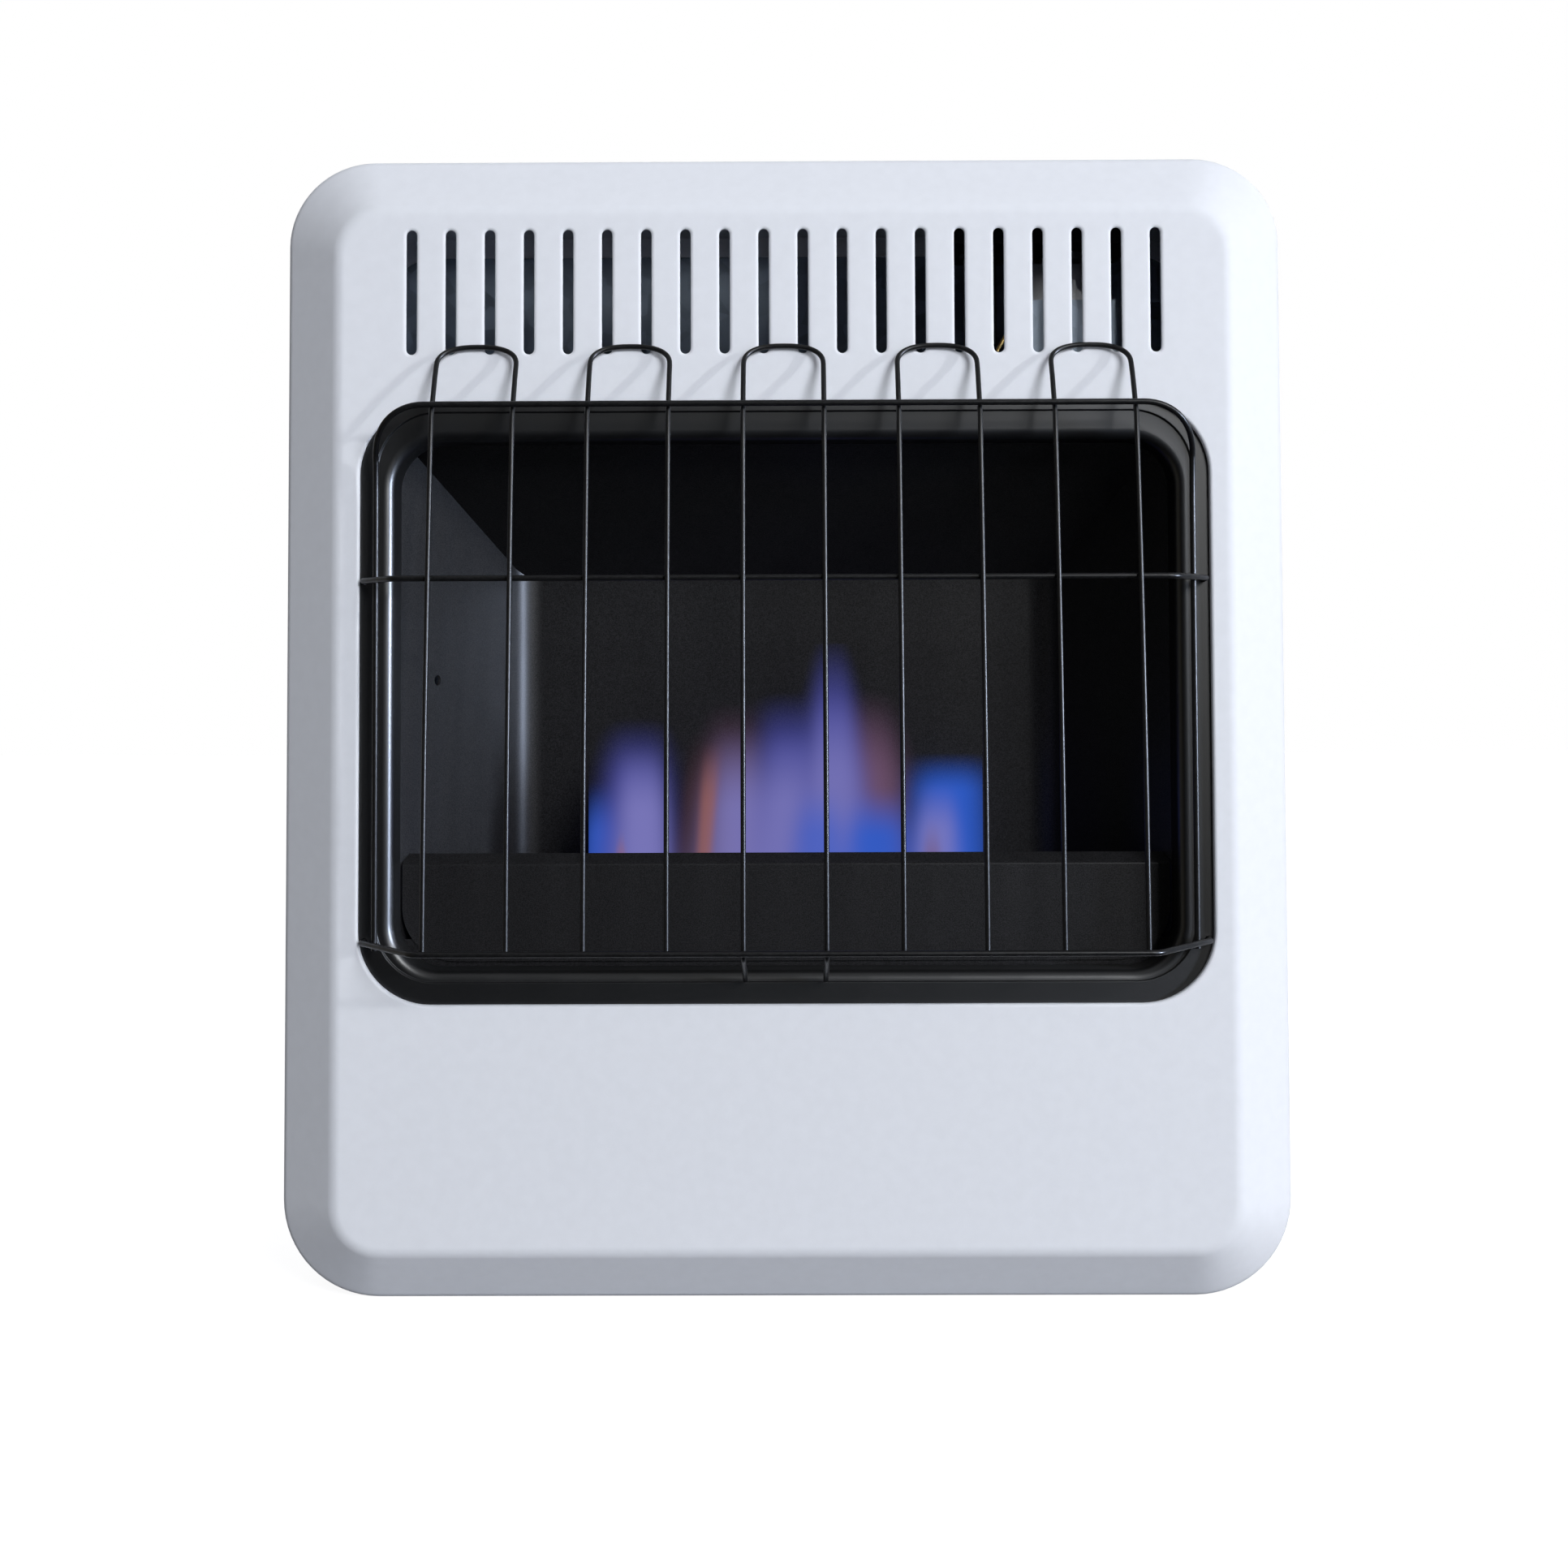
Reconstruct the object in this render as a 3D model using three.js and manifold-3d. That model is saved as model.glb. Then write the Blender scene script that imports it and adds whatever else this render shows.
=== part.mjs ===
// A vent-free blue flame gas heater: white drawn front cover, black bezel and firebox, wire guard,
// burner with its pilot, and the gas valve and igniter in a well of the top deck.
// Millimetres: X is the width, -Y is the front, Z is up. The origin lies under the base tray's middle.
import * as THREE from 'three';
import { mergeVertices } from 'three/addons/utils/BufferGeometryUtils.js';
import Module from 'manifold-3d';

const wasm = await Module();
wasm.setup();

// Driving sizes of the whole heater
const COVER_WIDTH = 520;
const COVER_HEIGHT = 590;
const CABINET_DEPTH = 190;
const COVER_HALF_WIDTH = COVER_WIDTH / 2;

// Clearances, shared by all pieces
const SEAT_GAP = 0.3;
const RUNNING_GAP = 0.5;
const OVERCUT = 3;

// Fineness of the curves, as counts
const CORNER_STEPS = 6;
const BEND_STEPS = 3;
const TUBE_BEND_STEPS = 2;
const SLOT_END_STEPS = 3;
const WIRE_SIDES = 8;
const TUBE_SIDES = 6;
const ROUND_SIDES = 18;
const SMALL_ROUND_SIDES = 10;
const HEX_SIDES = 6;

// Front cover: one drawn sheet with a bevelled border
const COVER_SHEET = 1.5;
const COVER_UPPER_RADIUS = 45;
const COVER_LOWER_RADIUS = 50;
const FACE_CORNER_RADIUS = 23;
const BEVEL_INSET = 31;
const BEVEL_FOOT_INSET = 28.6;
const BEVEL_DEPTH = 22;
const BEVEL_OUTER_BEND = 7;
const BEVEL_INNER_BEND = 12;
const COVER_FLANGE_END = 42;
const RELIEF_NOTCH_INSET = 51;
const RELIEF_NOTCH_OFFSET = COVER_HALF_WIDTH - RELIEF_NOTCH_INSET;
const RELIEF_NOTCH_WIDTH = 3;
const RELIEF_NOTCH_START = 31;

// Opening of the cover in front of the fire
const OPENING_SIDE_MARGIN = 42.7;
const OPENING_HALF_WIDTH = COVER_HALF_WIDTH - OPENING_SIDE_MARGIN;
const OPENING_FOOT = 152.9;
const OPENING_TOP_MARGIN = 130.9;
const OPENING_TOP = COVER_HEIGHT - OPENING_TOP_MARGIN;
const OPENING_RADIUS = 37;
const OPENING_LIP_DEPTH = 3;
const OPENING_LIP_BEND = 1.6;
const OPENING_LIP_MARGIN = 6;

// Warm air slots of the cover, each with a dished rim
const SLOT_COUNT = 20;
const SLOT_FIELD_INSET = 26.35;
const SLOT_PITCH = 2 * (OPENING_HALF_WIDTH - SLOT_FIELD_INSET) / (SLOT_COUNT - 1);
const SLOT_WIDTH = 5.4;
const SLOT_LENGTH = 64.3;
const SLOT_MIDDLE_DROP = 73.7;
const SLOT_MIDDLE = COVER_HEIGHT - SLOT_MIDDLE_DROP;
const SLOT_RIM = 1.9;
const SLOT_RIM_DEPTH = 1.1;

// Bezel: drawn black ring behind the opening; a border, a small step, a second ring and a wall
const BEZEL_SHEET = 1.2;
const BEZEL_BORDER_OVERLAP = 6.5;
const BEZEL_SIDE_BORDER = 8.1;
const BEZEL_TOP_BORDER = 4.1;
const BEZEL_FOOT_BORDER = 10.6;
const BEZEL_BORDER_RADIUS = 31;
const BEZEL_STEP_RUN = 0.6;
const BEZEL_STEP_DEPTH = 1.2;
const BEZEL_SIDE_RING = 8.8;
const BEZEL_TOP_RING = 14.9;
const BEZEL_FOOT_RING = 5.5;
const BEZEL_BEND = 3.2;
const BEZEL_WALL_RADIUS = 24;
const BEZEL_END_DEPTH = 25;
const BEZEL_REAR_FLANGE = 8;

// Cabinet wrap: one bent sheet for both sides and the top
const WRAP_SHEET = 1.5;
const WRAP_START_DEPTH = 29;
const WRAP_FOOT_REACH = 58;
const WRAP_FOOT_HALF_GAP = COVER_HALF_WIDTH - WRAP_FOOT_REACH;
const WRAP_REAR_FLANGE = 13;
const DECK_SLOT_COUNT = 12;
const DECK_SLOT_WIDTH = 7;
const DECK_SLOT_LENGTH = 78;
const DECK_SLOT_LEFT_MARGIN = 70;
const DECK_SLOT_RIGHT_MARGIN = 230;
const DECK_SLOT_FIRST = DECK_SLOT_LEFT_MARGIN - COVER_HALF_WIDTH;
const DECK_SLOT_LAST = COVER_HALF_WIDTH - DECK_SLOT_RIGHT_MARGIN;
const DECK_SLOT_PITCH = (DECK_SLOT_LAST - DECK_SLOT_FIRST) / (DECK_SLOT_COUNT - 1);
const DECK_SLOT_DEPTH = 92;

// Base tray
const TRAY_SHEET = 1.5;
const TRAY_INSET = 51;
const TRAY_HALF_WIDTH = COVER_HALF_WIDTH - TRAY_INSET;
const TRAY_FLANGE_HEIGHT = 14;
const TRAY_FLANGE_INSET = 23;
const TRAY_FLANGE_HALF_WIDTH = TRAY_HALF_WIDTH - TRAY_FLANGE_INSET;
const TRAY_SLOT_COUNT = 8;
const TRAY_SLOT_FIELD_INSET = 62;
const TRAY_SLOT_PITCH = 2 * (TRAY_HALF_WIDTH - TRAY_SLOT_FIELD_INSET) / (TRAY_SLOT_COUNT - 1);
const TRAY_SLOT_WIDTH = 10;
const TRAY_SLOT_LENGTH = 44;
const TRAY_SLOT_DEPTH = 78;

// Rear panel and wall bracket
const REAR_SHEET = 1.5;
const REAR_VENT_COUNT = 9;
const REAR_VENT_FIELD_INSET = 140;
const REAR_VENT_PITCH = 2 * (COVER_HALF_WIDTH - REAR_VENT_FIELD_INSET) / (REAR_VENT_COUNT - 1);
const REAR_VENT_WIDTH = 8;
const REAR_VENT_LENGTH = 60;
const REAR_VENT_MIDDLE = 90;
const INLET_HOLE_RADIUS = 17;
const BRACKET_SHEET = 1.6;
const BRACKET_STANDOFF = 6;
const BRACKET_INSET = 110;
const BRACKET_HALF_LENGTH = COVER_HALF_WIDTH - BRACKET_INSET;
const BRACKET_HEIGHT = 50;
const BRACKET_ARM_DROP = 70;
const BRACKET_ARM_TOP = COVER_HEIGHT - BRACKET_ARM_DROP;
const BRACKET_ARM_INSET = 50;
const BRACKET_ARM_OFFSET = BRACKET_HALF_LENGTH - BRACKET_ARM_INSET;
const BRACKET_ARM_HALF_WIDTH = 15;
const BRACKET_ARM_REACH = 12;
const BRACKET_LIP = 9;
const BRACKET_SLOT_DROP = 13;
const BRACKET_HOLE_RADIUS = 3;
const BRACKET_HOLE_INSET = 20;
const BRACKET_HOLE_OFFSET = BRACKET_HALF_LENGTH - BRACKET_HOLE_INSET;
const REAR_SCREW_INSET = 10;
const REAR_SCREW_OFFSET = COVER_HALF_WIDTH - REAR_SCREW_INSET;
const REAR_SCREW_MARGIN = 120;
const REAR_SCREW_HEIGHTS = [REAR_SCREW_MARGIN, COVER_HEIGHT - REAR_SCREW_MARGIN];
const SCREW_HEAD_RADIUS = 4;
const SCREW_HEAD_HEIGHT = 2;
const SCREW_SHANK_RADIUS = 1.8;
const SCREW_SHANK_LENGTH = 8;

// Firebox liner: one bent sheet for the left wall, back and right wall
const LINER_SHEET = 1.2;
const LINER_MOUTH_INSET = 14.8;
const LINER_MOUTH_HALF_WIDTH = OPENING_HALF_WIDTH - LINER_MOUTH_INSET;
const LINER_FLANGE = 10.5;
const LINER_TAPER = 54.5;
const LINER_BACK_HALF_WIDTH = LINER_MOUTH_HALF_WIDTH - LINER_TAPER;
const LINER_BACK_DEPTH = 112;
const LINER_MOUTH_BEND = 3;
const LINER_BACK_BEND = 18;
const LINER_VENT_FOOT = 24;
const LINER_VENT_HEIGHT = 122;
const LINER_VENT_START = 40;
const LINER_VENT_END = 97;
const LINER_SIGHT_HOLE_RADIUS = 2;
const LINER_SIGHT_HOLE_DEPTH = 51;

// Firebox hood: the sloping roof over the fire
const HOOD_SHEET = 1.2;
const HOOD_OVERLAP = 8;
const HOOD_HALF_WIDTH = LINER_MOUTH_HALF_WIDTH + HOOD_OVERLAP;
const HOOD_MOUTH_DROP = 13.1;
const HOOD_MOUTH_HEIGHT = OPENING_TOP - HOOD_MOUTH_DROP;
const HOOD_FALL = 73;
const SIGHT_HOLE_DROP = 129;
const LINER_SIGHT_HOLE_HEIGHT = HOOD_MOUTH_HEIGHT - SIGHT_HOLE_DROP;
const HOOD_BACK_HEIGHT = HOOD_MOUTH_HEIGHT - HOOD_FALL;
const HOOD_FLANGE = 15;
const HOOD_LEDGE = 12;
const HOOD_BEND = 4;

// Firebox floor and the shield in front of the burner
const FLOOR_SHEET = 1.2;
const FLOOR_HEIGHT = 169.5;
const FLOOR_FLANGE = 14;
const FLOOR_VENT_COUNT = 7;
const FLOOR_VENT_FIELD_INSET = 40;
const FLOOR_VENT_PITCH = 2 * (LINER_BACK_HALF_WIDTH - FLOOR_VENT_FIELD_INSET) / (FLOOR_VENT_COUNT - 1);
const FLOOR_VENT_WEB = 12;
const FLOOR_VENT_WIDTH = FLOOR_VENT_PITCH - FLOOR_VENT_WEB;
const FLOOR_VENT_LENGTH = 10;
const FLOOR_VENT_DEPTH = 92;
const SHIELD_SHEET = 1.2;
const SHIELD_INSET = 2.7;
const SHIELD_HALF_WIDTH = LINER_MOUTH_HALF_WIDTH - SHIELD_INSET;
const SHIELD_FOOT = 171;
const SHIELD_FACE_TOP = 221;
const SHIELD_TOP = 226.3;
const SHIELD_CHAMFER_RUN = 6.5;
const SHIELD_UPPER_RADIUS = 3.5;
const SHIELD_LOWER_RADIUS = 28;

// Burner
const BURNER_DEPTH = 62;
const BURNER_HEIGHT = 190;
const BURNER_RADIUS = 15;
const BURNER_WALL = 1.4;
const BURNER_INSET = 32;
const BURNER_HALF_LENGTH = LINER_BACK_HALF_WIDTH - BURNER_INSET;
const PORT_RIDGE_INSET = 8;
const PORT_RIDGE_HALF_LENGTH = BURNER_HALF_LENGTH - PORT_RIDGE_INSET;
const PORT_RIDGE_HALF_WIDTH = 5;
const PORT_RIDGE_HEIGHT = 4;
const PORT_COUNT = 24;
const PORT_FIELD_INSET = 6.8;
const PORT_PITCH = 2 * (PORT_RIDGE_HALF_LENGTH - PORT_FIELD_INSET) / (PORT_COUNT - 1);
const PORT_WIDTH = 2;
const PORT_HALF_LENGTH = 3.2;
const BURNER_BRACKET_INSET = 21;
const BURNER_BRACKET_OFFSET = BURNER_HALF_LENGTH - BURNER_BRACKET_INSET;
const BURNER_BRACKET_SHEET = 1.5;
const BURNER_BRACKET_HALF_WIDTH = 19;
const BURNER_FOOT_LENGTH = 12;
const VENTURI_BORE = 7;
const VENTURI_WALL = 1.3;
const VENTURI_BELL_RADIUS = 12.5;
const VENTURI_BELL_LENGTH = 10;
const VENTURI_INSERTION = 8;
const VENTURI_REACH = 28;
const VENTURI_END = BURNER_HALF_LENGTH + VENTURI_REACH;
const INJECTOR_AIR_GAP = 2;
const INJECTOR_TIP = VENTURI_END + INJECTOR_AIR_GAP;
const INJECTOR_LENGTH = 16;
const INJECTOR_END = INJECTOR_TIP + INJECTOR_LENGTH;
const INJECTOR_RADIUS = 4.5;
const INJECTOR_ORIFICE = 0.8;
const INJECTOR_ORIFICE_LENGTH = 5;
const INJECTOR_HEX_RADIUS = 7;
const INJECTOR_HEX_LENGTH = 5;
const INJECTOR_BRACKET_SETBACK = 6;
const INJECTOR_BRACKET_PLACE = INJECTOR_TIP + INJECTOR_BRACKET_SETBACK;
const INJECTOR_BRACKET_SHEET = 1.5;
const INJECTOR_BRACKET_HALF_WIDTH = 11;
const INJECTOR_BRACKET_TOP = 204;
const INJECTOR_FOOT_LENGTH = 14;
const ELBOW_BODY_RADIUS = 7.5;
const ELBOW_BODY_LENGTH = 14;
const ELBOW_NECK_LENGTH = 6;
const ELBOW_NECK_RADIUS = 5;

// Pilot with its thermocouple and spark electrode, on one bracket
const PILOT_DEPTH = 41;
const PILOT_BRACKET_SHEET = 1.5;
const PILOT_BRACKET_TOP = 196.5;
const PILOT_BRACKET_LEFT = -66;
const PILOT_BRACKET_RIGHT = -17;
const PILOT_BRACKET_HALF_WIDTH = 5.5;
const PILOT_FOOT_LENGTH = 12;
const PILOT_PLACE = -40;
const PILOT_RADIUS = 4;
const PILOT_FOOT = 177;
const PILOT_HOOD_TOP = 213;
const PILOT_HOOD_HEIGHT = 9;
const PILOT_HOOD_RADIUS = 4.8;
const PILOT_WINDOW_HEIGHT = 4;
const THERMOCOUPLE_PLACE = -53;
const THERMOCOUPLE_RADIUS = 2.4;
const THERMOCOUPLE_FOOT = 179;
const THERMOCOUPLE_TOP = 216;
const THERMOCOUPLE_COLLAR_RADIUS = 3.6;
const THERMOCOUPLE_COLLAR_HEIGHT = 8;
const ELECTRODE_PLACE = -26;
const ELECTRODE_RADIUS = 3.4;
const ELECTRODE_FOOT = 181;
const ELECTRODE_TOP = 206;
const ELECTRODE_WIRE_RADIUS = 0.9;
const ELECTRODE_WIRE_RISE = 7;
const ELECTRODE_WIRE_REACH = 5;

// Control well: the drawn tray under the opening of the top deck
const WELL_SHEET = 1.5;
const WELL_RIGHT_MARGIN = 70;
const WELL_RIGHT = COVER_HALF_WIDTH - WELL_RIGHT_MARGIN;
const WELL_WIDTH = 106;
const WELL_LEFT = WELL_RIGHT - WELL_WIDTH;
const WELL_FRONT_DEPTH = 42;
const WELL_BACK_DEPTH = 102;
const WELL_DEPTH = 38;
const WELL_FLOOR_TOP = COVER_HEIGHT - WELL_DEPTH;
const WELL_CORNER_RADIUS = 12;
const WELL_DRAFT = 3;
const WELL_RIM = 8;

// Gas valve, its bracket, stem and knob
const VALVE_INSET = 34;
const VALVE_PLACE = WELL_RIGHT - VALVE_INSET;
const VALVE_DEPTH = 72;
const VALVE_HALF_WIDTH = 22;
const VALVE_HALF_DEPTH = 17;
const VALVE_FOOT_DROP = 31.7;
const VALVE_FOOT = WELL_FLOOR_TOP - VALVE_FOOT_DROP;
const VALVE_HEIGHT = 25;
const VALVE_CHAMFER = 4;
const VALVE_NECK_RADIUS = 8;
const VALVE_NECK_RISE = 3;
const VALVE_NECK_TOP = WELL_FLOOR_TOP + VALVE_NECK_RISE;
const VALVE_BORE_DEPTH = 24;
const VALVE_PORT_WALL = 1.5;
const VALVE_PORT_DROP = 9;
const THERMOSTAT_RADIUS = 8;
const THERMOSTAT_LENGTH = 7;
const REGULATING_CAP_RADIUS = 6;
const REGULATING_CAP_LENGTH = 5;
const SHELF_SHEET = 1.5;
const SHELF_REACH = 28;
const SHELF_LEFT = VALVE_PLACE - SHELF_REACH;
const SHELF_FRONT_DEPTH = 46;
const SHELF_BACK_DEPTH = 96;
const SHELF_TAB_DROP = 28;
const APRON_LEFT_REACH = 25;
const APRON_LEFT = VALVE_PLACE - APRON_LEFT_REACH;
const APRON_RIGHT_REACH = 25;
const APRON_RIGHT = VALVE_PLACE + APRON_RIGHT_REACH;
const APRON_DROP = 50.3;
const APRON_FOOT = VALVE_FOOT - APRON_DROP;
const STEM_RADIUS = 3.9;
const STEM_FLAT = 2.4;
const STEM_RISE = 25;
const STEM_TOP = WELL_FLOOR_TOP + STEM_RISE;
const STEM_DROP = 15;
const STEM_FOOT = WELL_FLOOR_TOP - STEM_DROP;
const THRUST_WASHER_RADIUS = 6.5;
const THRUST_WASHER_THICKNESS = 1.2;
const KNOB_PUSH = 5;
const KNOB_FLOOR_GAP = 1.2;
const KNOB_RADIUS = 19;
const KNOB_HEIGHT = 24;
const KNOB_SKIRT_HEIGHT = 5;
const KNOB_GRIP_RADIUS = 15;
const KNOB_EDGE = 1.5;
const KNOB_FLUTE_COUNT = 10;
const KNOB_FLUTE_RADIUS = 3;
const KNOB_HUB_RADIUS = 8;
const KNOB_SHELL = 2.2;
const KNOB_POINTER_WIDTH = 2.4;

// Piezo igniter
const IGNITER_OFFSET = 48;
const IGNITER_PLACE = VALVE_PLACE - IGNITER_OFFSET;
const IGNITER_BODY_RADIUS = 9;
const IGNITER_DROP = 52;
const IGNITER_FOOT = WELL_FLOOR_TOP - IGNITER_DROP;
const IGNITER_COLLAR_RADIUS = 11;
const IGNITER_COLLAR_HEIGHT = 3;
const IGNITER_BORE_DEPTH = 16;
const IGNITER_NUT_RADIUS = 13;
const IGNITER_NUT_HEIGHT = 4;
const IGNITER_THREAD_RISE = 6;
const IGNITER_THREAD_TOP = WELL_FLOOR_TOP + IGNITER_THREAD_RISE;
const BUTTON_RADIUS = 6.5;
const BUTTON_TRAVEL = 6.5;
const BUTTON_STAND = 8.5;
const BUTTON_HEIGHT = 20;
const BUTTON_EDGE = 1.2;

// Gas tubes and leads
const MAIN_TUBE_RADIUS = 4;
const PILOT_TUBE_RADIUS = 2.25;
const LEAD_RADIUS = 1.3;
const IGNITION_WIRE_RADIUS = 2;
const CAPILLARY_RADIUS = 1;
const INLET_TUBE_RADIUS = 4.75;
const TUBE_BEND = 12;
const LEAD_BEND = 8;
const CAPILLARY_BEND = 3;

// Routes of the tubes and leads: the levels of their level runs and the places of their upright runs
const MAIN_TUBE_DROP = 50.3;
const MAIN_TUBE_UPPER_LEVEL = VALVE_FOOT - MAIN_TUBE_DROP;
const MAIN_TUBE_MARGIN = 32;
const MAIN_TUBE_SIDE = COVER_HALF_WIDTH - MAIN_TUBE_MARGIN;
const MAIN_TUBE_LOWER_LEVEL = 128;
const PILOT_TUBE_DROP = 30.3;
const PILOT_TUBE_UPPER_LEVEL = VALVE_FOOT - PILOT_TUBE_DROP;
const PILOT_TUBE_MARGIN = 24;
const PILOT_TUBE_SIDE = COVER_HALF_WIDTH - PILOT_TUBE_MARGIN;
const PILOT_TUBE_LOWER_LEVEL = 110;
const LEAD_DROP = 23.3;
const LEAD_UPPER_LEVEL = VALVE_FOOT - LEAD_DROP;
const LEAD_MARGIN = 21;
const LEAD_SIDE = COVER_HALF_WIDTH - LEAD_MARGIN;
const LEAD_LOWER_LEVEL = 94;
const IGNITION_WIRE_DROP = 20;
const IGNITION_WIRE_TURN_REACH = 32;
const IGNITION_WIRE_TURN = VALVE_PLACE - IGNITION_WIRE_TURN_REACH;
const IGNITION_WIRE_DEPTH = 50;
const IGNITION_WIRE_LEVEL_DROP = 62.3;
const IGNITION_WIRE_UPPER_LEVEL = VALVE_FOOT - IGNITION_WIRE_LEVEL_DROP;
const IGNITION_WIRE_MARGIN = 14;
const IGNITION_WIRE_SIDE = COVER_HALF_WIDTH - IGNITION_WIRE_MARGIN;
const IGNITION_WIRE_LOWER_LEVEL = 78;
const RISER_SLOPE_HEIGHT = 18;
const CAPILLARY_FIRST_REACH = 33;
const CAPILLARY_FIRST_TURN = VALVE_PLACE - CAPILLARY_FIRST_REACH;
const CAPILLARY_SECOND_REACH = 52;
const CAPILLARY_SECOND_TURN = VALVE_PLACE - CAPILLARY_SECOND_REACH;
const CAPILLARY_DEPTH = 36;
const CAPILLARY_UPPER_DROP = 12.3;
const CAPILLARY_UPPER_LEVEL = VALVE_FOOT - CAPILLARY_UPPER_DROP;
const CAPILLARY_LOWER_DROP = 46.3;
const CAPILLARY_LOWER_LEVEL = VALVE_FOOT - CAPILLARY_LOWER_DROP;
const CAPILLARY_SLOPE_DROP = 80.3;
const CAPILLARY_SLOPE_END = VALVE_FOOT - CAPILLARY_SLOPE_DROP;
const INLET_TUBE_MARGIN = 34;
const INLET_TUBE_SIDE = COVER_HALF_WIDTH - INLET_TUBE_MARGIN;
const INLET_TUBE_DROP = 42.3;
const INLET_TUBE_UPPER_LEVEL = VALVE_FOOT - INLET_TUBE_DROP;

// Thermostat bulb on the left wall
const BULB_MARGIN = 22;
const BULB_PLACE = BULB_MARGIN - COVER_HALF_WIDTH;
const BULB_DEPTH = 70;
const BULB_RADIUS = 4.5;
const BULB_FOOT = 70;
const BULB_TOP = 140;
const CLIP_SHEET = 1;
const CLIP_HEIGHT = 16;
const CLIP_MIDDLE = 105;

// Pressure regulator with its gas inlet
const REGULATOR_MARGIN = 80;
const REGULATOR_PLACE = COVER_HALF_WIDTH - REGULATOR_MARGIN;
const REGULATOR_SETBACK = 49;
const REGULATOR_DEPTH = CABINET_DEPTH - REGULATOR_SETBACK;
const REGULATOR_RADIUS = 24;
const REGULATOR_HEIGHT = 22;
const REGULATOR_FLANGE_RADIUS = 28;
const REGULATOR_FLANGE_HEIGHT = 5;
const REGULATOR_CAP_RADIUS = 17;
const REGULATOR_CAP_HEIGHT = 18;
const REGULATOR_PORT_RADIUS = 8;
const REGULATOR_PORT_REACH = 5;
const REGULATOR_PORT_HEIGHT = 13;
const INLET_FITTING_INSET = 4;
const INLET_FITTING_END = CABINET_DEPTH - INLET_FITTING_INSET;
const INLET_HEX_RADIUS = 11;
const INLET_HEX_LENGTH = 9;
const INLET_THREAD_RADIUS = 8;

// Wire guard: standoffs are measured forward from the cover's face
const GUARD_BAR_RADIUS = 1.5;
const GUARD_ROD_RADIUS = 1.3;
const GUARD_TOP_DROP = 3.9;
const GUARD_TOP_HEIGHT = OPENING_TOP - GUARD_TOP_DROP;
const GUARD_TOP_STANDOFF = 20;
const GUARD_FOOT_STANDOFF = 39;
const GUARD_BOW = 3;
const GUARD_MID_DROP = 87.2;
const GUARD_MID_HEIGHT = GUARD_TOP_HEIGHT - GUARD_MID_DROP;
const GUARD_FOOT_RISE = 31.8;
const GUARD_FOOT_HEIGHT = OPENING_FOOT + GUARD_FOOT_RISE;
const GUARD_TIP_INSET = 2.8;
const GUARD_TIP_OFFSET = OPENING_HALF_WIDTH - GUARD_TIP_INSET;
const GUARD_TIP_STANDOFF = 2;
const GUARD_TIP_DEPTH = 8;
const GUARD_RETURN_ANGLE = 40;
const GUARD_BEND = 9;
const GUARD_TIP_BEND = 3;
const GUARD_SIDE_INSET = 10.1;
const GUARD_SIDE_OFFSET = OPENING_HALF_WIDTH - GUARD_SIDE_INSET;
const GUARD_CORNER_RADIUS = 27;
const GUARD_LEAN_DROP = 31.2;
const GUARD_LEAN_START = GUARD_TOP_HEIGHT - GUARD_LEAN_DROP;
const GUARD_SIDE_FOOT_RISE = 28.6;
const GUARD_SIDE_FOOT = OPENING_FOOT + GUARD_SIDE_FOOT_RISE;
const HAIRPIN_COUNT = 5;
const HAIRPIN_FIELD_INSET = 61.1;
const HAIRPIN_PITCH = 2 * (OPENING_HALF_WIDTH - HAIRPIN_FIELD_INSET) / (HAIRPIN_COUNT - 1);
const HAIRPIN_HALF_WIDTH = 20.3;
const HAIRPIN_LOOP_HEIGHT = 32.3;
const HAIRPIN_LOOP_TOP = GUARD_TOP_HEIGHT + HAIRPIN_LOOP_HEIGHT;
const HAIRPIN_LOOP_RISE = 10.5;
const HAIRPIN_STATIONS = 4;
const HAIRPIN_LOOP_STEPS = 8;
const HOOK_FOOT_RISE = 12.6;
const HOOK_FOOT = OPENING_FOOT + HOOK_FOOT_RISE;
const HOOK_STANDOFF = 0.6;
const HOOK_BEND = 5;

// Places that follow from the sizes above
const FACE_Y = -CABINET_DEPTH / 2;
const BEZEL_FACE_DEPTH = OPENING_LIP_DEPTH + SEAT_GAP;
const LINER_FACE_DEPTH = BEZEL_END_DEPTH + SEAT_GAP;
const SHIELD_DEPTH = LINER_FACE_DEPTH + LINER_SHEET;
const WRAP_INSET = COVER_SHEET + SEAT_GAP;
const TRAY_TOP = TRAY_SHEET;
const WRAP_END_DEPTH = CABINET_DEPTH - REAR_SHEET - SEAT_GAP;
const DECK_UNDERSIDE = COVER_HEIGHT - WRAP_INSET - WRAP_SHEET;
const KNOB_FOOT = WELL_FLOOR_TOP + KNOB_PUSH + KNOB_FLOOR_GAP;
const IGNITER_FLOOR_UNDERSIDE = WELL_FLOOR_TOP - WELL_SHEET;
const SHELF_TOP = VALVE_FOOT - SEAT_GAP;
const PORT_FOOT = VALVE_FOOT - VALVE_PORT_DROP - SEAT_GAP;
const WALL_INNER_X = COVER_HALF_WIDTH - WRAP_INSET - WRAP_SHEET;
const VALVE_AXIS = [VALVE_PLACE, VALVE_DEPTH];
const IGNITER_AXIS = [IGNITER_PLACE, VALVE_DEPTH];

const group = new THREE.Group();

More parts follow.
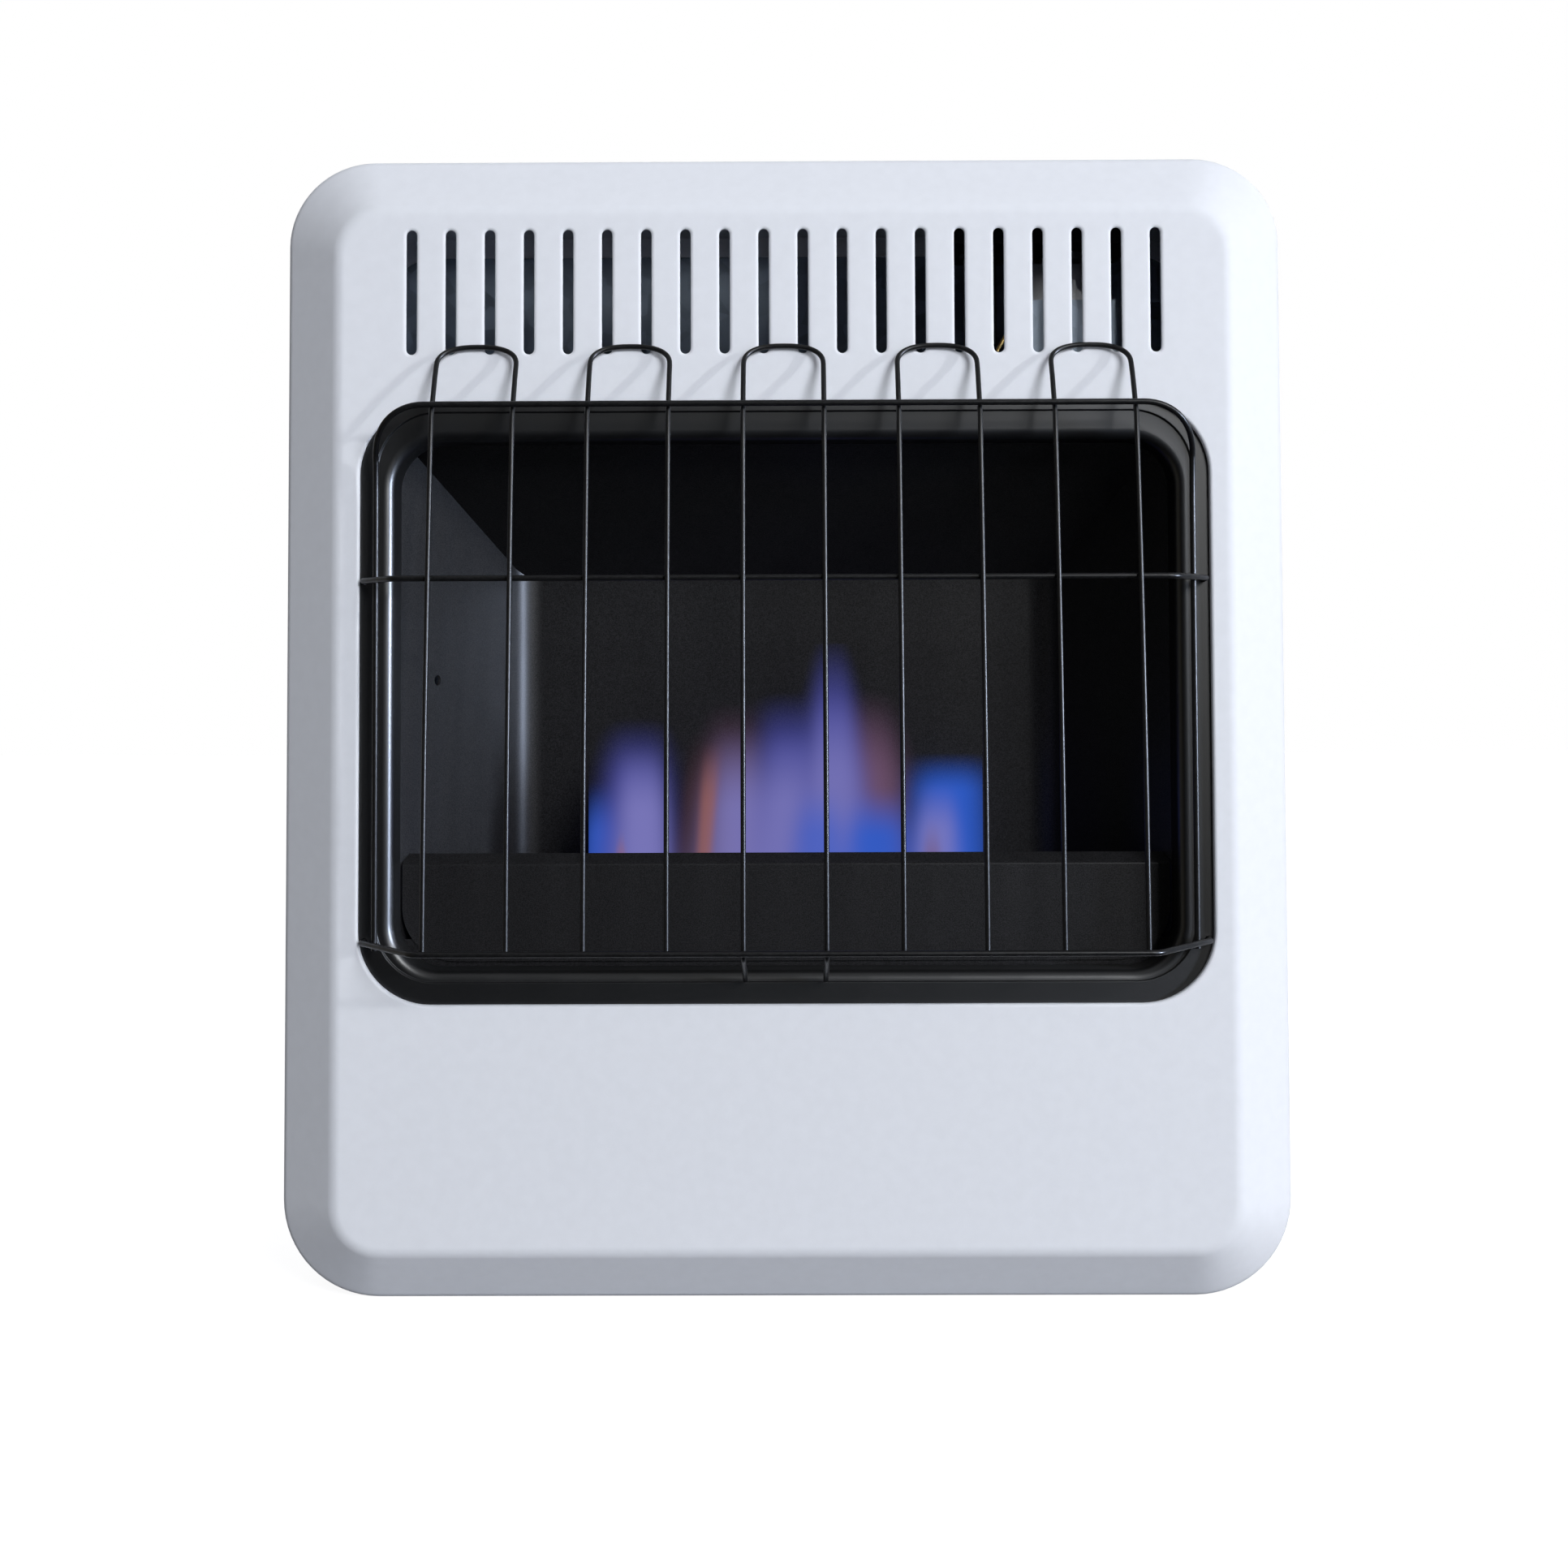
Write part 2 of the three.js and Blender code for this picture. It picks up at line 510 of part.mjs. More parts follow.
// Finishes
const FINISHES = {
  whiteEnamel: { color: 0xe6e9ee, roughness: 0.35, metalness: 0 },
  blackEnamel: { color: 0x26262a, roughness: 0.6, metalness: 0 },
  blackWire: { color: 0x2a2b30, roughness: 0.5, metalness: 0.2 },
  galvanised: { color: 0xa8adb0, roughness: 0.5, metalness: 0.8 },
  steel: { color: 0x9a9c9e, roughness: 0.4, metalness: 0.9 },
  castAluminium: { color: 0xb6b9bc, roughness: 0.55, metalness: 0.7 },
  brass: { color: 0xb5944a, roughness: 0.35, metalness: 0.9 },
  blackPlastic: { color: 0x1c1c1e, roughness: 0.45, metalness: 0 },
  ceramic: { color: 0xe9e4d8, roughness: 0.5, metalness: 0 },
  rubber: { color: 0x2b2b2d, roughness: 0.8, metalness: 0 },
};

function addPiece(name, geometry, finish) {
  const mesh = new THREE.Mesh(geometry, new THREE.MeshStandardMaterial(FINISHES[finish]));
  mesh.name = name;
  group.add(mesh);
}

// Y of a plane that lies a depth behind the cover's face
function depthY(depth) {
  return FACE_Y + depth;
}

// Solids from closed surfaces, and back again
function toSolid(geometry) {
  geometry.deleteAttribute('normal');
  geometry.deleteAttribute('uv');
  const merged = mergeVertices(geometry);
  return new wasm.Manifold(new wasm.Mesh({
    numProp: 3,
    vertProperties: merged.getAttribute('position').array,
    triVerts: new Uint32Array(merged.index.array),
  }));
}

function toGeometry(solid) {
  const mesh = solid.getMesh();
  const geometry = new THREE.BufferGeometry();
  geometry.setAttribute('position', new THREE.BufferAttribute(new Float32Array(mesh.vertProperties), 3));
  geometry.setIndex(Array.from(mesh.triVerts));
  geometry.computeVertexNormals();
  return geometry;
}

function cut(geometry, ...tools) {
  return toGeometry(tools.reduce((solid, tool) => solid.subtract(toSolid(tool)), toSolid(geometry)));
}

function join(geometry, ...others) {
  return toGeometry(others.reduce((solid, other) => solid.add(toSolid(other)), toSolid(geometry)));
}

function common(geometry, other) {
  return toGeometry(toSolid(geometry).intersect(toSolid(other)));
}

// A box between two limits along each axis
function boxBetween([left, right], [front, back], [foot, top]) {
  const box = new THREE.BoxGeometry(right - left, back - front, top - foot);
  return box.translate((left + right) / 2, (front + back) / 2, (foot + top) / 2);
}

// The same, with the Y limits given as depths behind the cover's face
function boxAtDepths([left, right], [near, far], [foot, top]) {
  return boxBetween([left, right], [depthY(near), depthY(far)], [foot, top]);
}

// Round bars along one axis through the point [x, depth, z]
function rodUp(radius, foot, top, [x, depth], sides = SMALL_ROUND_SIDES) {
  const rod = new THREE.CylinderGeometry(radius, radius, top - foot, sides).rotateX(Math.PI / 2);
  return rod.translate(x, depthY(depth), (foot + top) / 2);
}

function rodAcross(radius, left, right, [depth, z], sides = SMALL_ROUND_SIDES) {
  const rod = new THREE.CylinderGeometry(radius, radius, right - left, sides).rotateZ(-Math.PI / 2);
  return rod.translate((left + right) / 2, depthY(depth), z);
}

function rodBack(radius, near, far, [x, z], sides = SMALL_ROUND_SIDES) {
  return new THREE.CylinderGeometry(radius, radius, far - near, sides)
    .translate(x, depthY((near + far) / 2), z);
}

// A turned piece: profile points are [radius, height] from the foot up, about a vertical axis
function turned(profile, [x, depth], sides = ROUND_SIDES) {
  const points = profile.map(([radius, height]) => new THREE.Vector2(radius, height));
  return new THREE.LatheGeometry(points, sides).rotateX(Math.PI / 2).translate(x, depthY(depth), 0);
}

// A turned piece about an axis along X: profile points are [radius, x]
function turnedAcross(profile, [depth, z], sides = ROUND_SIDES) {
  const points = profile.map(([radius, x]) => new THREE.Vector2(radius, x));
  return new THREE.LatheGeometry(points, sides).rotateZ(-Math.PI / 2).translate(0, depthY(depth), z);
}

// Plates: a flat outline given a thickness along Y, X or Z
function plateBetweenDepths(shape, near, far) {
  return new THREE.ExtrudeGeometry(shape, { depth: far - near, bevelEnabled: false })
    .rotateX(Math.PI / 2).translate(0, depthY(far), 0);
}

function plateAcross(shape, left, right) {
  const turn = new THREE.Matrix4().makeBasis(
    new THREE.Vector3(0, 1, 0), new THREE.Vector3(0, 0, 1), new THREE.Vector3(1, 0, 0));
  return new THREE.ExtrudeGeometry(shape, { depth: right - left, bevelEnabled: false })
    .applyMatrix4(turn).translate(left, 0, 0);
}

function plateUp(shape, foot, top) {
  return new THREE.ExtrudeGeometry(shape, { depth: top - foot, bevelEnabled: false })
    .translate(0, 0, foot);
}

// A path of straight runs with round bends, in two or three dimensions
function bentPath(corners, bendRadii, steps = BEND_STEPS) {
  const path = [corners[0]];
  for (let i = 1; i < corners.length - 1; i += 1) {
    const radius = Array.isArray(bendRadii) ? bendRadii[i - 1] : bendRadii;
    const arriving = corners[i].clone().sub(corners[i - 1]).normalize();
    const leaving = corners[i + 1].clone().sub(corners[i]).normalize();
    const turn = Math.acos(THREE.MathUtils.clamp(arriving.dot(leaving), -1, 1));
    const reach = radius * Math.tan(turn / 2);
    const entry = corners[i].clone().addScaledVector(arriving, -reach);
    const side = leaving.clone().addScaledVector(arriving, -arriving.dot(leaving)).normalize();
    for (let step = 0; step <= steps; step += 1) {
      const angle = turn * step / steps;
      path.push(entry.clone()
        .addScaledVector(arriving, radius * Math.sin(angle))
        .addScaledVector(side, radius * (1 - Math.cos(angle))));
    }
  }
  path.push(corners[corners.length - 1]);
  return path;
}

// A flat path moved sideways by a distance, to the left of its direction
function offsetPath(path, distance) {
  return path.map((point, i) => {
    const before = point.clone().sub(path[Math.max(i - 1, 0)]).normalize();
    const after = path[Math.min(i + 1, path.length - 1)].clone().sub(point).normalize();
    const along = before.clone().add(after).normalize();
    const spread = i > 0 && i < path.length - 1 ? Math.sqrt((1 + before.dot(after)) / 2) : 1;
    return new THREE.Vector2(point.x - along.y * distance / spread, point.y + along.x * distance / spread);
  });
}

// The outline of a bent sheet seen on its edge
function stripShape(path, thickness) {
  return new THREE.Shape([...path, ...offsetPath(path, thickness).reverse()]);
}

// A curve that is walked from station to station, so that a straight run takes one step
class StationPath extends THREE.Curve {
  constructor(stations) {
    super();
    this.stations = stations;
  }

  getPoint(share) {
    const place = share * (this.stations.length - 1);
    const index = Math.min(Math.floor(place), this.stations.length - 2);
    return this.stations[index].clone().lerp(this.stations[index + 1], place - index);
  }

  getPointAt(share) {
    return this.getPoint(share);
  }

  getTangentAt(share) {
    const last = this.stations.length - 1;
    const index = Math.round(share * last);
    const here = this.stations[index];
    const arriving = here.clone().sub(this.stations[Math.max(index - 1, 0)]).normalize();
    const leaving = this.stations[Math.min(index + 1, last)].clone().sub(here).normalize();
    return arriving.add(leaving).normalize();
  }
}

// A round wire or tube along stations
function wire(stations, radius, sides = WIRE_SIDES) {
  const rim = Array.from({ length: sides }, (_, side) => {
    const angle = 2 * Math.PI * side / sides;
    return new THREE.Vector2(radius * Math.cos(angle), radius * Math.sin(angle));
  });
  return new THREE.ExtrudeGeometry(new THREE.Shape(rim), {
    steps: stations.length - 1,
    extrudePath: new StationPath(stations),
  });
}

// A tube through corners given as [x, depth, z]
function tube(corners, radius, bend) {
  const places = corners.map(([x, depth, z]) => new THREE.Vector3(x, depthY(depth), z));
  return wire(bentPath(places, bend, TUBE_BEND_STEPS), radius, TUBE_SIDES);
}

// A rectangle with round corners in X and Z, counter-clockwise from its lower right corner
function roundRectangle({ left, right, foot, top, lowerRadius, upperRadius }) {
  const corners = [
    { x: right - lowerRadius, z: foot + lowerRadius, radius: lowerRadius, quarter: 3 },
    { x: right - upperRadius, z: top - upperRadius, radius: upperRadius, quarter: 0 },
    { x: left + upperRadius, z: top - upperRadius, radius: upperRadius, quarter: 1 },
    { x: left + lowerRadius, z: foot + lowerRadius, radius: lowerRadius, quarter: 2 },
  ];
  return corners.flatMap(({ x, z, radius, quarter }) =>
    Array.from({ length: CORNER_STEPS + 1 }, (_, step) => {
      const angle = (quarter + step / CORNER_STEPS) * Math.PI / 2;
      return new THREE.Vector2(x + radius * Math.cos(angle), z + radius * Math.sin(angle));
    }));
}

// A slot with round ends, upright about its middle
function slotOutline(x, z, width, length) {
  return [1, -1].flatMap((side) => Array.from({ length: SLOT_END_STEPS + 1 }, (_, step) => {
    const angle = (side > 0 ? 0 : Math.PI) + Math.PI * step / SLOT_END_STEPS;
    const endHeight = side * (length - width) / 2;
    return new THREE.Vector2(x + width / 2 * Math.cos(angle), z + endHeight + width / 2 * Math.sin(angle));
  }));
}

// A skin through rings of as many points: closed on itself when `around`, else with flat ends
function loft(rings, around = false) {
  const count = rings[0].length;
  const triangles = [];
  const quad = (a, b, c, d) => triangles.push(a, b, c, c, b, d);
  for (let i = 0; i < (around ? rings.length : rings.length - 1); i += 1) {
    const next = (i + 1) % rings.length;
    for (let j = 0; j < count; j += 1) {
      const beside = (j + 1) % count;
      quad(i * count + j, i * count + beside, next * count + j, next * count + beside);
    }
  }
  if (!around) {
    const end = (rings.length - 1) * count;
    for (let j = 1; j < count - 1; j += 1) {
      triangles.push(0, j + 1, j, end, end + j, end + j + 1);
    }
  }
  const geometry = new THREE.BufferGeometry();
  const places = rings.flat().flatMap((point) => point.toArray());
  geometry.setAttribute('position', new THREE.Float32BufferAttribute(places, 3));
  geometry.setIndex(signedVolume(places, triangles) < 0 ? turnedOver(triangles) : triangles);
  geometry.computeVertexNormals();
  return geometry;
}

function signedVolume(places, triangles) {
  const corner = (index) => new THREE.Vector3().fromArray(places, index * 3);
  let volume = 0;
  for (let i = 0; i < triangles.length; i += 3) {
    const [a, b, c] = [corner(triangles[i]), corner(triangles[i + 1]), corner(triangles[i + 2])];
    volume += a.dot(b.cross(c)) / 6;
  }
  return volume;
}

function turnedOver(triangles) {
  return triangles.map((_, i) => triangles[i - i % 3 + [0, 2, 1][i % 3]]);
}

function ringAtDepth(outline, depth) {
  return outline.map(({ x, y }) => new THREE.Vector3(x, depthY(depth), y));
}

// The cover's outline, drawn in by an inset; its corners tighten towards the face
function coverRing(inset, depth) {
  const bevelShare = inset / BEVEL_INSET;
  return ringAtDepth(roundRectangle({
    left: inset - COVER_HALF_WIDTH,
    right: COVER_HALF_WIDTH - inset,
    foot: bevelShare * BEVEL_FOOT_INSET,
    top: COVER_HEIGHT - inset,
    lowerRadius: THREE.MathUtils.lerp(COVER_LOWER_RADIUS, FACE_CORNER_RADIUS, bevelShare),
    upperRadius: THREE.MathUtils.lerp(COVER_UPPER_RADIUS, FACE_CORNER_RADIUS, bevelShare),
  }), depth);
}

// The opening's outline, grown outwards by a margin
function openingRing(margin, depth) {
  return ringAtDepth(roundRectangle({
    left: -OPENING_HALF_WIDTH - margin,
    right: OPENING_HALF_WIDTH + margin,
    foot: OPENING_FOOT - margin,
    top: OPENING_TOP + margin,
    lowerRadius: OPENING_RADIUS + margin,
    upperRadius: OPENING_RADIUS + margin,
  }), depth);
}

function slotCutter(index) {
  const x = (index - (SLOT_COUNT - 1) / 2) * SLOT_PITCH;
  const ring = (grow, depth) =>
    ringAtDepth(slotOutline(x, SLOT_MIDDLE, SLOT_WIDTH + 2 * grow, SLOT_LENGTH + 2 * grow), depth);
  return loft([
    ring(SLOT_RIM, -OVERCUT),
    ring(SLOT_RIM, 0),
    ring(0, SLOT_RIM_DEPTH),
    ring(0, COVER_SHEET + OVERCUT),
  ]);
}

function frontCover() {
  const bevel = bentPath([
    new THREE.Vector2(0, COVER_FLANGE_END),
    new THREE.Vector2(0, BEVEL_DEPTH),
    new THREE.Vector2(BEVEL_INSET, 0),
    new THREE.Vector2(BEVEL_INSET + BEVEL_INNER_BEND, 0),
  ], [BEVEL_OUTER_BEND, BEVEL_INNER_BEND]);
  const lip = bentPath([
    new THREE.Vector2(OPENING_LIP_MARGIN, 0),
    new THREE.Vector2(0, 0),
    new THREE.Vector2(0, OPENING_LIP_DEPTH),
  ], OPENING_LIP_BEND, TUBE_BEND_STEPS);
  const bevelRings = (path) => path.map(({ x, y }) => coverRing(x, y));
  const lipRings = (path) => path.map(({ x, y }) => openingRing(x, y));
  const shell = loft([
    ...bevelRings(bevel.slice(0, -1)),
    ...lipRings(lip.slice(1)),
    ...lipRings(offsetPath(lip, -COVER_SHEET).slice(1)).reverse(),
    ...bevelRings(offsetPath(bevel, COVER_SHEET).slice(0, -1)).reverse(),
  ], true);
  const slots = Array.from({ length: SLOT_COUNT }, (_, index) => slotCutter(index));
  const notches = [-1, 1].map((side) => {
    const middle = side * RELIEF_NOTCH_OFFSET;
    return boxAtDepths(
      [middle - RELIEF_NOTCH_WIDTH / 2, middle + RELIEF_NOTCH_WIDTH / 2],
      [RELIEF_NOTCH_START, COVER_FLANGE_END + OVERCUT],
      [-OVERCUT, COVER_SHEET + OVERCUT]);
  });
  return cut(shell, ...slots, ...notches);
}

// A share of 0 gives the inner edge of the bezel's border and a share of 1 its wall
function bezelRing(share, margin, depth) {
  const sideInset = BEZEL_SIDE_BORDER + share * BEZEL_SIDE_RING - margin;
  const radius = THREE.MathUtils.lerp(BEZEL_BORDER_RADIUS, BEZEL_WALL_RADIUS, share) + margin;
  return ringAtDepth(roundRectangle({
    left: sideInset - OPENING_HALF_WIDTH,
    right: OPENING_HALF_WIDTH - sideInset,
    foot: OPENING_FOOT + BEZEL_FOOT_BORDER + share * BEZEL_FOOT_RING - margin,
    top: OPENING_TOP - BEZEL_TOP_BORDER - share * BEZEL_TOP_RING + margin,
    lowerRadius: radius,
    upperRadius: radius,
  }), depth);
}

function openingBezel() {
  const secondDepth = BEZEL_FACE_DEPTH + BEZEL_STEP_DEPTH;
  const stepAngle = Math.atan2(BEZEL_STEP_DEPTH, BEZEL_STEP_RUN);
  const skin = (thickness) => {
    const stepMargin = thickness * Math.tan(stepAngle / 2);
    const bend = Array.from({ length: BEND_STEPS + 1 }, (_, step) => {
      const angle = Math.PI / 2 * step / BEND_STEPS;
      const reach = BEZEL_BEND - thickness;
      return bezelRing(1, BEZEL_BEND - reach * Math.sin(angle),
        secondDepth + BEZEL_BEND - reach * Math.cos(angle));
    });
    return [
      openingRing(BEZEL_BORDER_OVERLAP, BEZEL_FACE_DEPTH + thickness),
      bezelRing(0, stepMargin, BEZEL_FACE_DEPTH + thickness),
      bezelRing(0, stepMargin - BEZEL_STEP_RUN, secondDepth + thickness),
      ...bend,
      bezelRing(1, thickness, BEZEL_END_DEPTH - thickness),
      bezelRing(1, BEZEL_REAR_FLANGE, BEZEL_END_DEPTH - thickness),
    ];
  };
  const ring = loft([...skin(0), ...skin(BEZEL_SHEET).reverse()], true);
  const tipHoles = [-1, 1].flatMap((side) => [GUARD_MID_HEIGHT, GUARD_FOOT_HEIGHT].map((height) =>
    rodBack(GUARD_BAR_RADIUS + SEAT_GAP, 0, GUARD_TIP_DEPTH + OVERCUT,
      [side * GUARD_TIP_OFFSET, height])));
  return cut(ring, ...tipHoles);
}

// The wrap's section, open at the foot between its two bottom lips
function wrapPath() {
  const half = COVER_HALF_WIDTH - WRAP_INSET;
  const top = COVER_HEIGHT - WRAP_INSET;
  const lowerRadius = COVER_LOWER_RADIUS - WRAP_INSET;
  const upperRadius = COVER_UPPER_RADIUS - WRAP_INSET;
  return bentPath([
    new THREE.Vector2(WRAP_FOOT_HALF_GAP, WRAP_INSET),
    new THREE.Vector2(half, WRAP_INSET),
    new THREE.Vector2(half, top),
    new THREE.Vector2(-half, top),
    new THREE.Vector2(-half, WRAP_INSET),
    new THREE.Vector2(-WRAP_FOOT_HALF_GAP, WRAP_INSET),
  ], [lowerRadius, upperRadius, upperRadius, lowerRadius], CORNER_STEPS);
}

// A slot through the top deck or the tray, long from front to back
function deckSlot(x, depth, width, length, foot, top) {
  const outline = slotOutline(x, depthY(depth), width, length);
  return plateUp(new THREE.Shape(outline), foot, top);
}

function cabinetWrap() {
  const path = wrapPath();
  const walls = plateBetweenDepths(stripShape(path, WRAP_SHEET), WRAP_START_DEPTH, WRAP_END_DEPTH);
  const flange = plateBetweenDepths(
    stripShape(path, WRAP_REAR_FLANGE), WRAP_END_DEPTH - WRAP_SHEET, WRAP_END_DEPTH);
  const deck = [DECK_UNDERSIDE - OVERCUT, COVER_HEIGHT + OVERCUT];
  const slots = Array.from({ length: DECK_SLOT_COUNT }, (_, index) => deckSlot(
    DECK_SLOT_FIRST + index * DECK_SLOT_PITCH, DECK_SLOT_DEPTH, DECK_SLOT_WIDTH, DECK_SLOT_LENGTH, ...deck));
  const wellMouth = plateUp(new THREE.Shape(wellOutline(0)), ...deck);
  return cut(join(walls, flange), ...slots, wellMouth, ...rearScrewHoles());
}

function baseTray() {
  const front = COVER_FLANGE_END + SEAT_GAP;
  const back = WRAP_END_DEPTH;
  const plate = boxAtDepths([-TRAY_HALF_WIDTH, TRAY_HALF_WIDTH], [front, back], [0, TRAY_SHEET]);
  const flanges = [[front, front + TRAY_SHEET], [back - TRAY_SHEET, back]].map((depths) => boxAtDepths(
    [-TRAY_FLANGE_HALF_WIDTH, TRAY_FLANGE_HALF_WIDTH], depths, [0, TRAY_FLANGE_HEIGHT]));
  const slots = Array.from({ length: TRAY_SLOT_COUNT }, (_, index) => deckSlot(
    (index - (TRAY_SLOT_COUNT - 1) / 2) * TRAY_SLOT_PITCH, TRAY_SLOT_DEPTH,
    TRAY_SLOT_WIDTH, TRAY_SLOT_LENGTH, -OVERCUT, TRAY_SHEET + OVERCUT));
  const inletHalfWidth = INLET_HEX_RADIUS + RUNNING_GAP;
  const inletNotch = boxAtDepths([REGULATOR_PLACE - inletHalfWidth, REGULATOR_PLACE + inletHalfWidth],
    [back - TRAY_SHEET - OVERCUT, back + OVERCUT], [TRAY_SHEET, TRAY_FLANGE_HEIGHT + OVERCUT]);
  return cut(join(plate, ...flanges), ...slots, inletNotch);
}

function rearScrewPlaces() {
  return [-1, 1].flatMap((side) => REAR_SCREW_HEIGHTS.map((height) => [side * REAR_SCREW_OFFSET, height]));
}

function rearScrewHoles() {
  return rearScrewPlaces().map((place) => rodBack(
    SCREW_SHANK_RADIUS + SEAT_GAP, WRAP_END_DEPTH - WRAP_SHEET - OVERCUT, CABINET_DEPTH + OVERCUT, place));
}

function rearPanel() {
  const near = CABINET_DEPTH - REAR_SHEET;
  const outline = roundRectangle({
    left: WRAP_INSET - COVER_HALF_WIDTH,
    right: COVER_HALF_WIDTH - WRAP_INSET,
    foot: WRAP_INSET,
    top: COVER_HEIGHT - WRAP_INSET,
    lowerRadius: COVER_LOWER_RADIUS - WRAP_INSET,
    upperRadius: COVER_UPPER_RADIUS - WRAP_INSET,
  });
  const plate = plateBetweenDepths(new THREE.Shape(outline), near, CABINET_DEPTH);
  const through = [near - OVERCUT, CABINET_DEPTH + OVERCUT];
  const vents = Array.from({ length: REAR_VENT_COUNT }, (_, index) => {
    const x = (index - (REAR_VENT_COUNT - 1) / 2) * REAR_VENT_PITCH;
    const vent = slotOutline(x, REAR_VENT_MIDDLE, REAR_VENT_WIDTH, REAR_VENT_LENGTH);
    return plateBetweenDepths(new THREE.Shape(vent), ...through);
  });
  const hookSlots = [-1, 1].map((side) => {
    const middle = side * BRACKET_ARM_OFFSET;
    const half = BRACKET_ARM_HALF_WIDTH + RUNNING_GAP;
    return boxAtDepths([middle - half, middle + half], through,
      [BRACKET_ARM_TOP - BRACKET_SLOT_DROP, BRACKET_ARM_TOP + SEAT_GAP]);
  });
  const inletHole = rodBack(INLET_HOLE_RADIUS, ...through,
    [REGULATOR_PLACE, TRAY_TOP + SEAT_GAP + INLET_HOLE_RADIUS + SEAT_GAP], ROUND_SIDES);
  return cut(plate, ...vents, ...hookSlots, inletHole, ...rearScrewHoles());
}

// The bracket lies on the wall, and its two hooked arms reach through the rear panel
function wallBracket() {
  const back = CABINET_DEPTH + BRACKET_STANDOFF;
  const front = back - BRACKET_SHEET;
  const plate = boxAtDepths([-BRACKET_HALF_LENGTH, BRACKET_HALF_LENGTH], [front, back],
    [BRACKET_ARM_TOP - BRACKET_HEIGHT, BRACKET_ARM_TOP]);
  const hooks = [-1, 1].flatMap((side) => {
    const span = [-1, 1].map((end) => side * BRACKET_ARM_OFFSET + end * BRACKET_ARM_HALF_WIDTH);
    const reach = front - BRACKET_ARM_REACH;
    return [
      boxAtDepths(span, [reach, back], [BRACKET_ARM_TOP - BRACKET_SHEET, BRACKET_ARM_TOP]),
      boxAtDepths(span, [reach, reach + BRACKET_SHEET],
        [BRACKET_ARM_TOP - BRACKET_SHEET, BRACKET_ARM_TOP + BRACKET_LIP]),
    ];
  });
  const holes = [-1, 1].map((side) => rodBack(BRACKET_HOLE_RADIUS, front - OVERCUT, back + OVERCUT,
    [side * BRACKET_HOLE_OFFSET, BRACKET_ARM_TOP - BRACKET_HEIGHT / 2]));
  return cut(join(plate, ...hooks), ...holes);
}

function rearScrew([x, z]) {
  const headFoot = CABINET_DEPTH + SEAT_GAP;
  const headTop = headFoot + SCREW_HEAD_HEIGHT;
  const shank = rodBack(SCREW_SHANK_RADIUS, CABINET_DEPTH - SCREW_SHANK_LENGTH, headTop, [x, z]);
  const head = rodBack(SCREW_HEAD_RADIUS, headFoot, headTop, [x, z]);
  return join(shank, head);
}

// Underside of the hood at a depth, along its slope
function hoodHeight(depth) {
  const share = (depth - LINER_FACE_DEPTH) / (LINER_BACK_DEPTH + LINER_SHEET - LINER_FACE_DEPTH);
  return THREE.MathUtils.lerp(HOOD_MOUTH_HEIGHT, HOOD_BACK_HEIGHT, share);
}

function linerPath() {
  return bentPath([
    new THREE.Vector2(-LINER_MOUTH_HALF_WIDTH - LINER_FLANGE, depthY(LINER_FACE_DEPTH)),
    new THREE.Vector2(-LINER_MOUTH_HALF_WIDTH, depthY(LINER_FACE_DEPTH)),
    new THREE.Vector2(-LINER_BACK_HALF_WIDTH, depthY(LINER_BACK_DEPTH)),
    new THREE.Vector2(LINER_BACK_HALF_WIDTH, depthY(LINER_BACK_DEPTH)),
    new THREE.Vector2(LINER_MOUTH_HALF_WIDTH, depthY(LINER_FACE_DEPTH)),
    new THREE.Vector2(LINER_MOUTH_HALF_WIDTH + LINER_FLANGE, depthY(LINER_FACE_DEPTH)),
  ], [LINER_MOUTH_BEND, LINER_BACK_BEND, LINER_BACK_BEND, LINER_MOUTH_BEND]);
}

function fireboxLiner() {
  const walls = plateUp(stripShape(linerPath(), LINER_SHEET), TRAY_TOP + SEAT_GAP, HOOD_MOUTH_HEIGHT);
  const near = LINER_FACE_DEPTH - OVERCUT;
  const far = LINER_BACK_DEPTH + LINER_SHEET + OVERCUT;
  const overHood = HOOD_MOUTH_HEIGHT + HOOD_FLANGE;
  const aboveHood = plateAcross(new THREE.Shape([
    new THREE.Vector2(depthY(near), hoodHeight(near) - SEAT_GAP),
    new THREE.Vector2(depthY(far), hoodHeight(far) - SEAT_GAP),
    new THREE.Vector2(depthY(far), overHood),
    new THREE.Vector2(depthY(near), overHood),
  ]), -COVER_HALF_WIDTH, COVER_HALF_WIDTH);
  const sideVents = boxAtDepths([-COVER_HALF_WIDTH, COVER_HALF_WIDTH], [LINER_VENT_START, LINER_VENT_END],
    [LINER_VENT_FOOT, LINER_VENT_FOOT + LINER_VENT_HEIGHT]);
  const sightHole = rodAcross(LINER_SIGHT_HOLE_RADIUS, -COVER_HALF_WIDTH, 0,
    [LINER_SIGHT_HOLE_DEPTH, LINER_SIGHT_HOLE_HEIGHT]);
  return cut(walls, aboveHood, sideVents, sightHole);
}

function fireboxHood() {
  const back = LINER_BACK_DEPTH + LINER_SHEET;
  const path = bentPath([
    new THREE.Vector2(depthY(back + HOOD_LEDGE), HOOD_BACK_HEIGHT),
    new THREE.Vector2(depthY(back), HOOD_BACK_HEIGHT),
    new THREE.Vector2(depthY(LINER_FACE_DEPTH), HOOD_MOUTH_HEIGHT),
    new THREE.Vector2(depthY(LINER_FACE_DEPTH), HOOD_MOUTH_HEIGHT + HOOD_FLANGE),
  ], [HOOD_BEND, HOOD_BEND / 4]);
  return plateAcross(stripShape(path, -HOOD_SHEET), -HOOD_HALF_WIDTH, HOOD_HALF_WIDTH);
}

